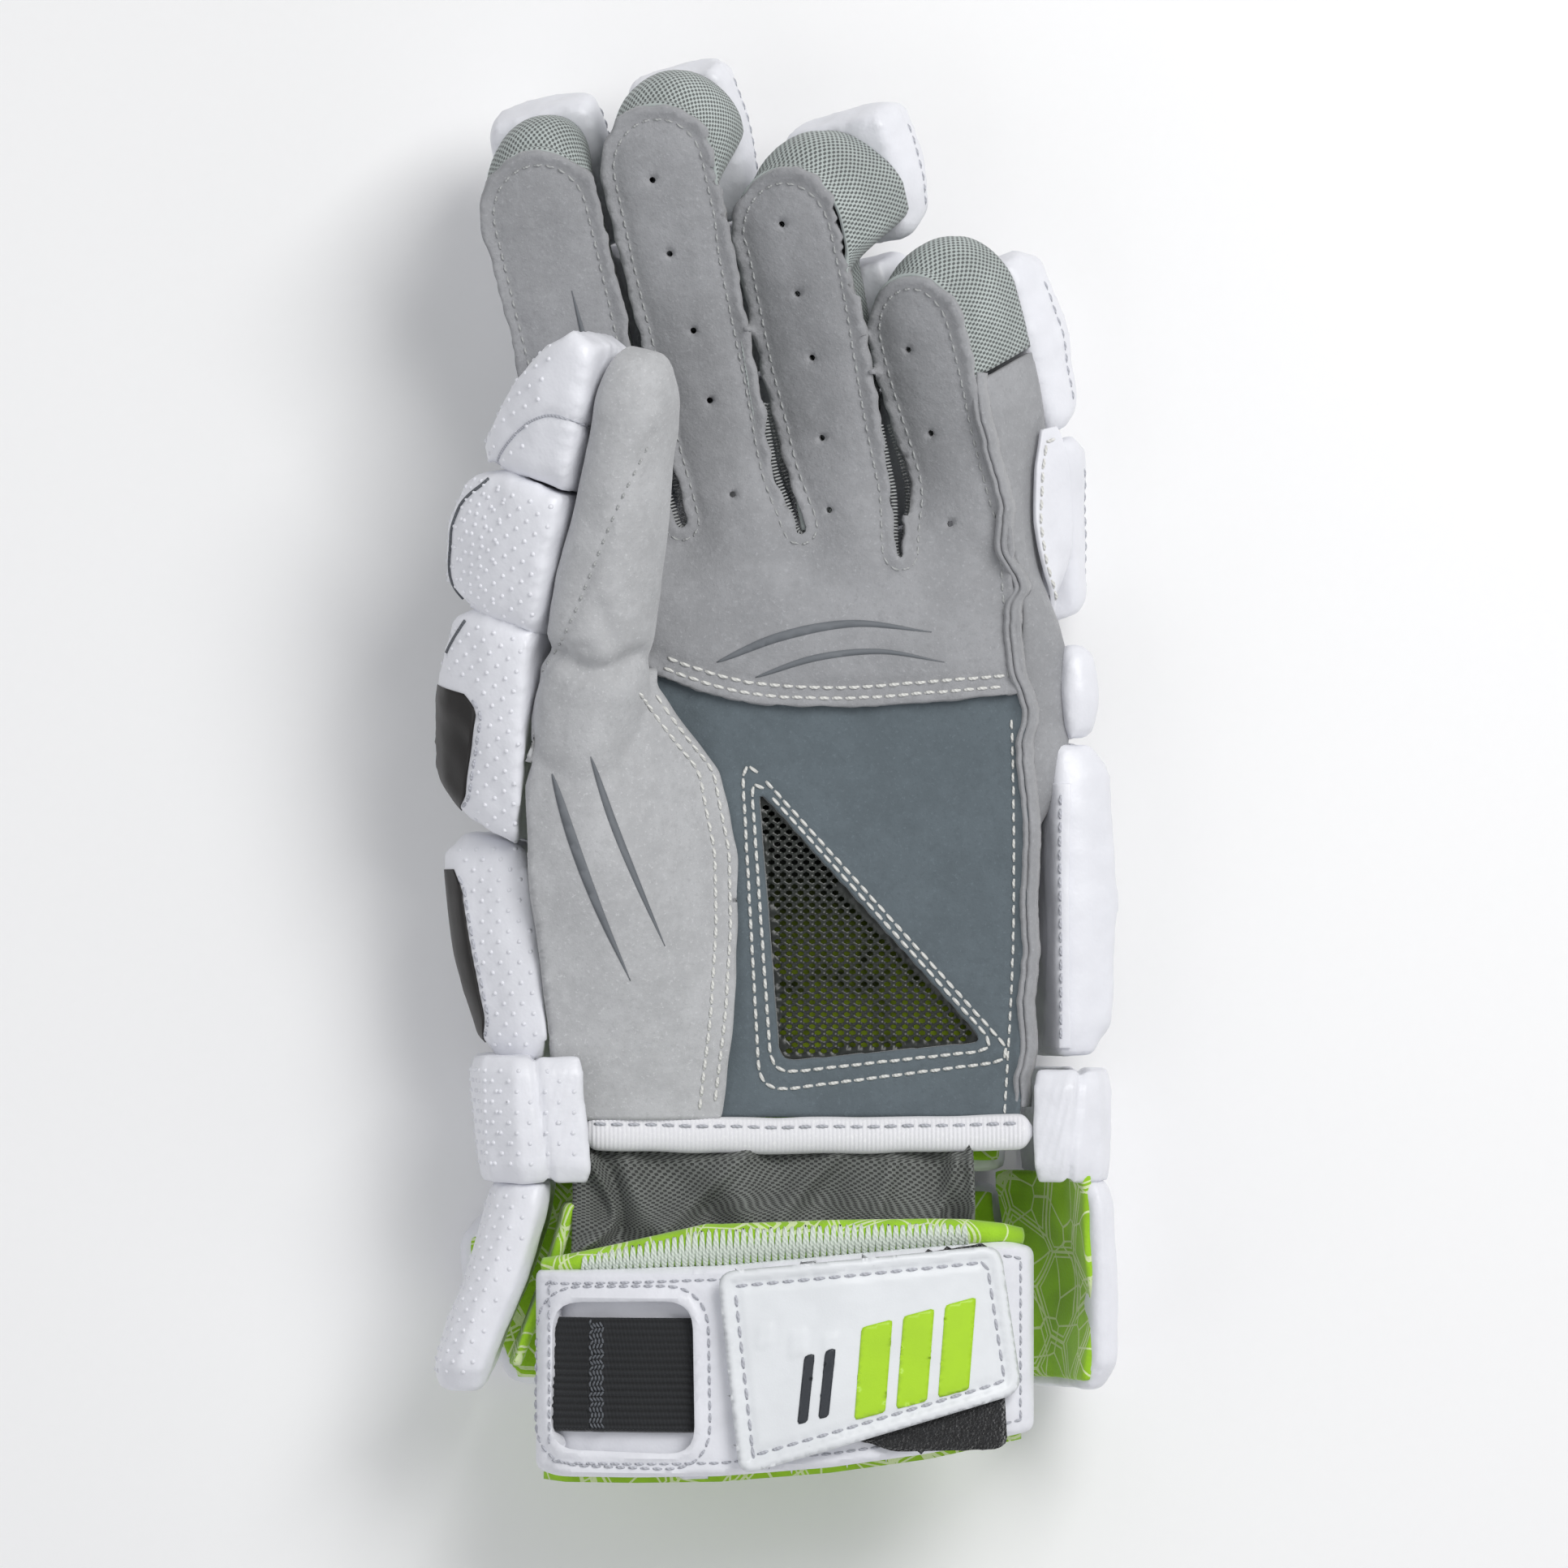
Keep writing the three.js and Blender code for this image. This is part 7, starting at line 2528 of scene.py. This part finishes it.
@dataclass
class Cuff:
    """The cuff's two flaps and its back, with their linings, and the lining of the hand."""

    needle: Needle

    def build(self) -> None:
        """Makes every piece of the cuff."""
        for name, node, voxel in (
            ("cuff_flap", "cuff_left", 1.3),
            ("cuff_side", "cuff_right", 1.3),
            ("cuff_back_pad", "cuff_back", 2.0),
        ):
            self.make_pad(name, node, voxel)
        for name, node in (("flap_lining", "cuff_lining_left"), ("side_lining", "cuff_lining_right")):
            self.make_lining(name, node, 0.9)
        for name, node in (("back_lining", "cuff_lining_back"), ("hand_lining_cloth", "hand_lining")):
            self.make_lining(name, node, 1.2)

    def make_pad(self, name: str, node: str, voxel: float) -> None:
        """Makes one padded, leather-covered part of the cuff."""
        piece = node_copy(name, node)
        remeshed(piece, voxel, 5)
        self.lean(piece, node)
        points, normals = points_of(piece), normals_of(piece)
        low = points[:, 2].min()
        puff = 0.5 + lumps(points, (0.45, 15, 4), (0.25, 6, 5))
        puff *= smooth(0.5, 4, points[:, 2] - low) if low < 2 else 1
        move_points(piece, points + normals * puff[:, None])
        ground = Ground(piece)
        finish(piece, Look.LEATHER, Form.PAD, [node])
        if node != "cuff_right":
            way = np.array(LEFT_UP if node == "cuff_left" else BACK)
            self.needle.stud(f"{name}_dots", [Blocks(self.needle).dots(Block(node), piece, ground, way)])

    @staticmethod
    def lean(piece: Piece, node: str) -> None:
        """Leans the flaps outwards below the wrist, and lets their linings show at the edge."""
        points = points_of(piece)
        share = smooth(-148, -96, points[:, 1])
        if node == "cuff_left":
            left = points[:, 0].min()
            points[:, 0] = left + (points[:, 0] - left) * 0.8 + mix(-3.6, 4.6, share)
        elif node == "cuff_lining_left":
            points[:, 0] += mix(-3.2, 3.2, share)
        elif node == "cuff_lining_right":
            points[:, 1] += mix(-5.5, 7.0, smooth(-148, -100, points[:, 1]))
            points[:, 0] += 1.8 * np.sin(math.pi * share) + 1.2 * rough(points, 16, 3)
        move_points(piece, points)

    def make_lining(self, name: str, node: str, voxel: float) -> None:
        """Makes one sheet of the lining, soft at its edges."""
        piece = node_copy(name, node)
        remeshed(piece, voxel, 3)
        self.lean(piece, node)
        points, normals = points_of(piece), normals_of(piece)
        move_points(piece, points + normals * (0.15 + 0.25 * rough(points, 7, 6))[:, None])
        finish(piece, Look.LIME, Form.SHEET, [node], surface_area(piece) / 2)


# The studio


@dataclass(frozen=True)
class Studio:
    """A pale floor, soft light and a camera straight above the palm."""

    centre: tuple[float, float, float] = (2.65, -4.35, 42.0)
    width: float = 365.7
    lens: float = 260.0
    sensor: float = 36.0

    def build(self) -> None:
        """Makes the floor, the lights and the camera."""
        self.make_floor()
        self.make_light("key", (420, 480, 900), (0, 0, 20), 0.5, 7.2, (1.0, 0.995, 0.985))
        self.make_light("fill", (-560, -200, 700), (0, 0, 30), 0.8, 1.6, (0.96, 0.97, 1.0))
        self.make_light("low", (500, -640, 420), (0, 0, 30), 0.6, 1.2, (0.98, 0.98, 1.0))
        self.make_sky()
        self.make_camera()

    @staticmethod
    def make_floor() -> None:
        """Makes a wide, pale, matt floor just under the glove."""
        deselect()
        bpy.ops.mesh.primitive_plane_add(size=6.0, location=(0, 0, -0.0006))
        floor = bpy.context.object
        floor.name = "floor"
        shader = Shader("floor paper")
        grain = shader.noise(shader.place(), 3.0)
        tone = shader.blend(grain, (0.94, 0.94, 0.942, 1), (0.96, 0.96, 0.962, 1))
        shader.set(Base_Color=tone, Roughness=0.95)
        floor.data.materials.append(shader.material)

    @staticmethod
    def make_light(
        name: str,
        place: Sequence[float],
        goal: Sequence[float],
        size: float,
        power: float,
        tint: Sequence[float],
    ) -> None:
        """Adds a square area light.

        Args:
            name: the light's name.
            place: where it is, in millimetres.
            goal: what it faces, in millimetres.
            size: its side in metres.
            power: its power in watts.
            tint: its linear colour.
        """
        light = bpy.data.lights.new(name, "AREA")
        light.energy, light.size, light.color = power, size, tint
        lamp = bpy.data.objects.new(name, light)
        lamp.location = Vector(place) * MM
        lamp.rotation_euler = (Vector(goal) - Vector(place)).to_track_quat("-Z", "Y").to_euler()
        bpy.context.scene.collection.objects.link(lamp)

    @staticmethod
    def make_sky() -> None:
        """Sets an even, pale surrounding light."""
        world = bpy.data.worlds.new("studio sky")
        world.use_nodes = True
        world.node_tree.nodes["Background"].inputs["Color"].default_value = (0.97, 0.98, 1.0, 1)
        world.node_tree.nodes["Background"].inputs["Strength"].default_value = 0.36
        bpy.context.scene.world = world
        bpy.context.scene.view_settings.view_transform = "Standard"

    def make_camera(self) -> None:
        """Adds the camera, straight above the palm."""
        data = bpy.data.cameras.new("camera")
        data.lens, data.sensor_width = self.lens, self.sensor
        camera = bpy.data.objects.new("camera", data)
        away = self.width * self.lens / self.sensor
        camera.location = Vector((self.centre[0], self.centre[1], self.centre[2] + away)) * MM
        data.clip_start, data.clip_end = 0.01, 20.0
        bpy.context.scene.collection.objects.link(camera)
        bpy.context.scene.camera = camera


def main() -> None:
    """Loads the model and dresses it."""
    logging.basicConfig(level=logging.INFO, format="%(asctime)s %(message)s", datefmt="%H:%M:%S")
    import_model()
    Studio().build()
    needle = Needle()
    for part in (Palm(needle), Fingers(needle), Thumb(needle), Blocks(needle), Wrist(needle), Cuff(needle)):
        part.build()
    deselect()


if __name__ == "__main__":
    main()
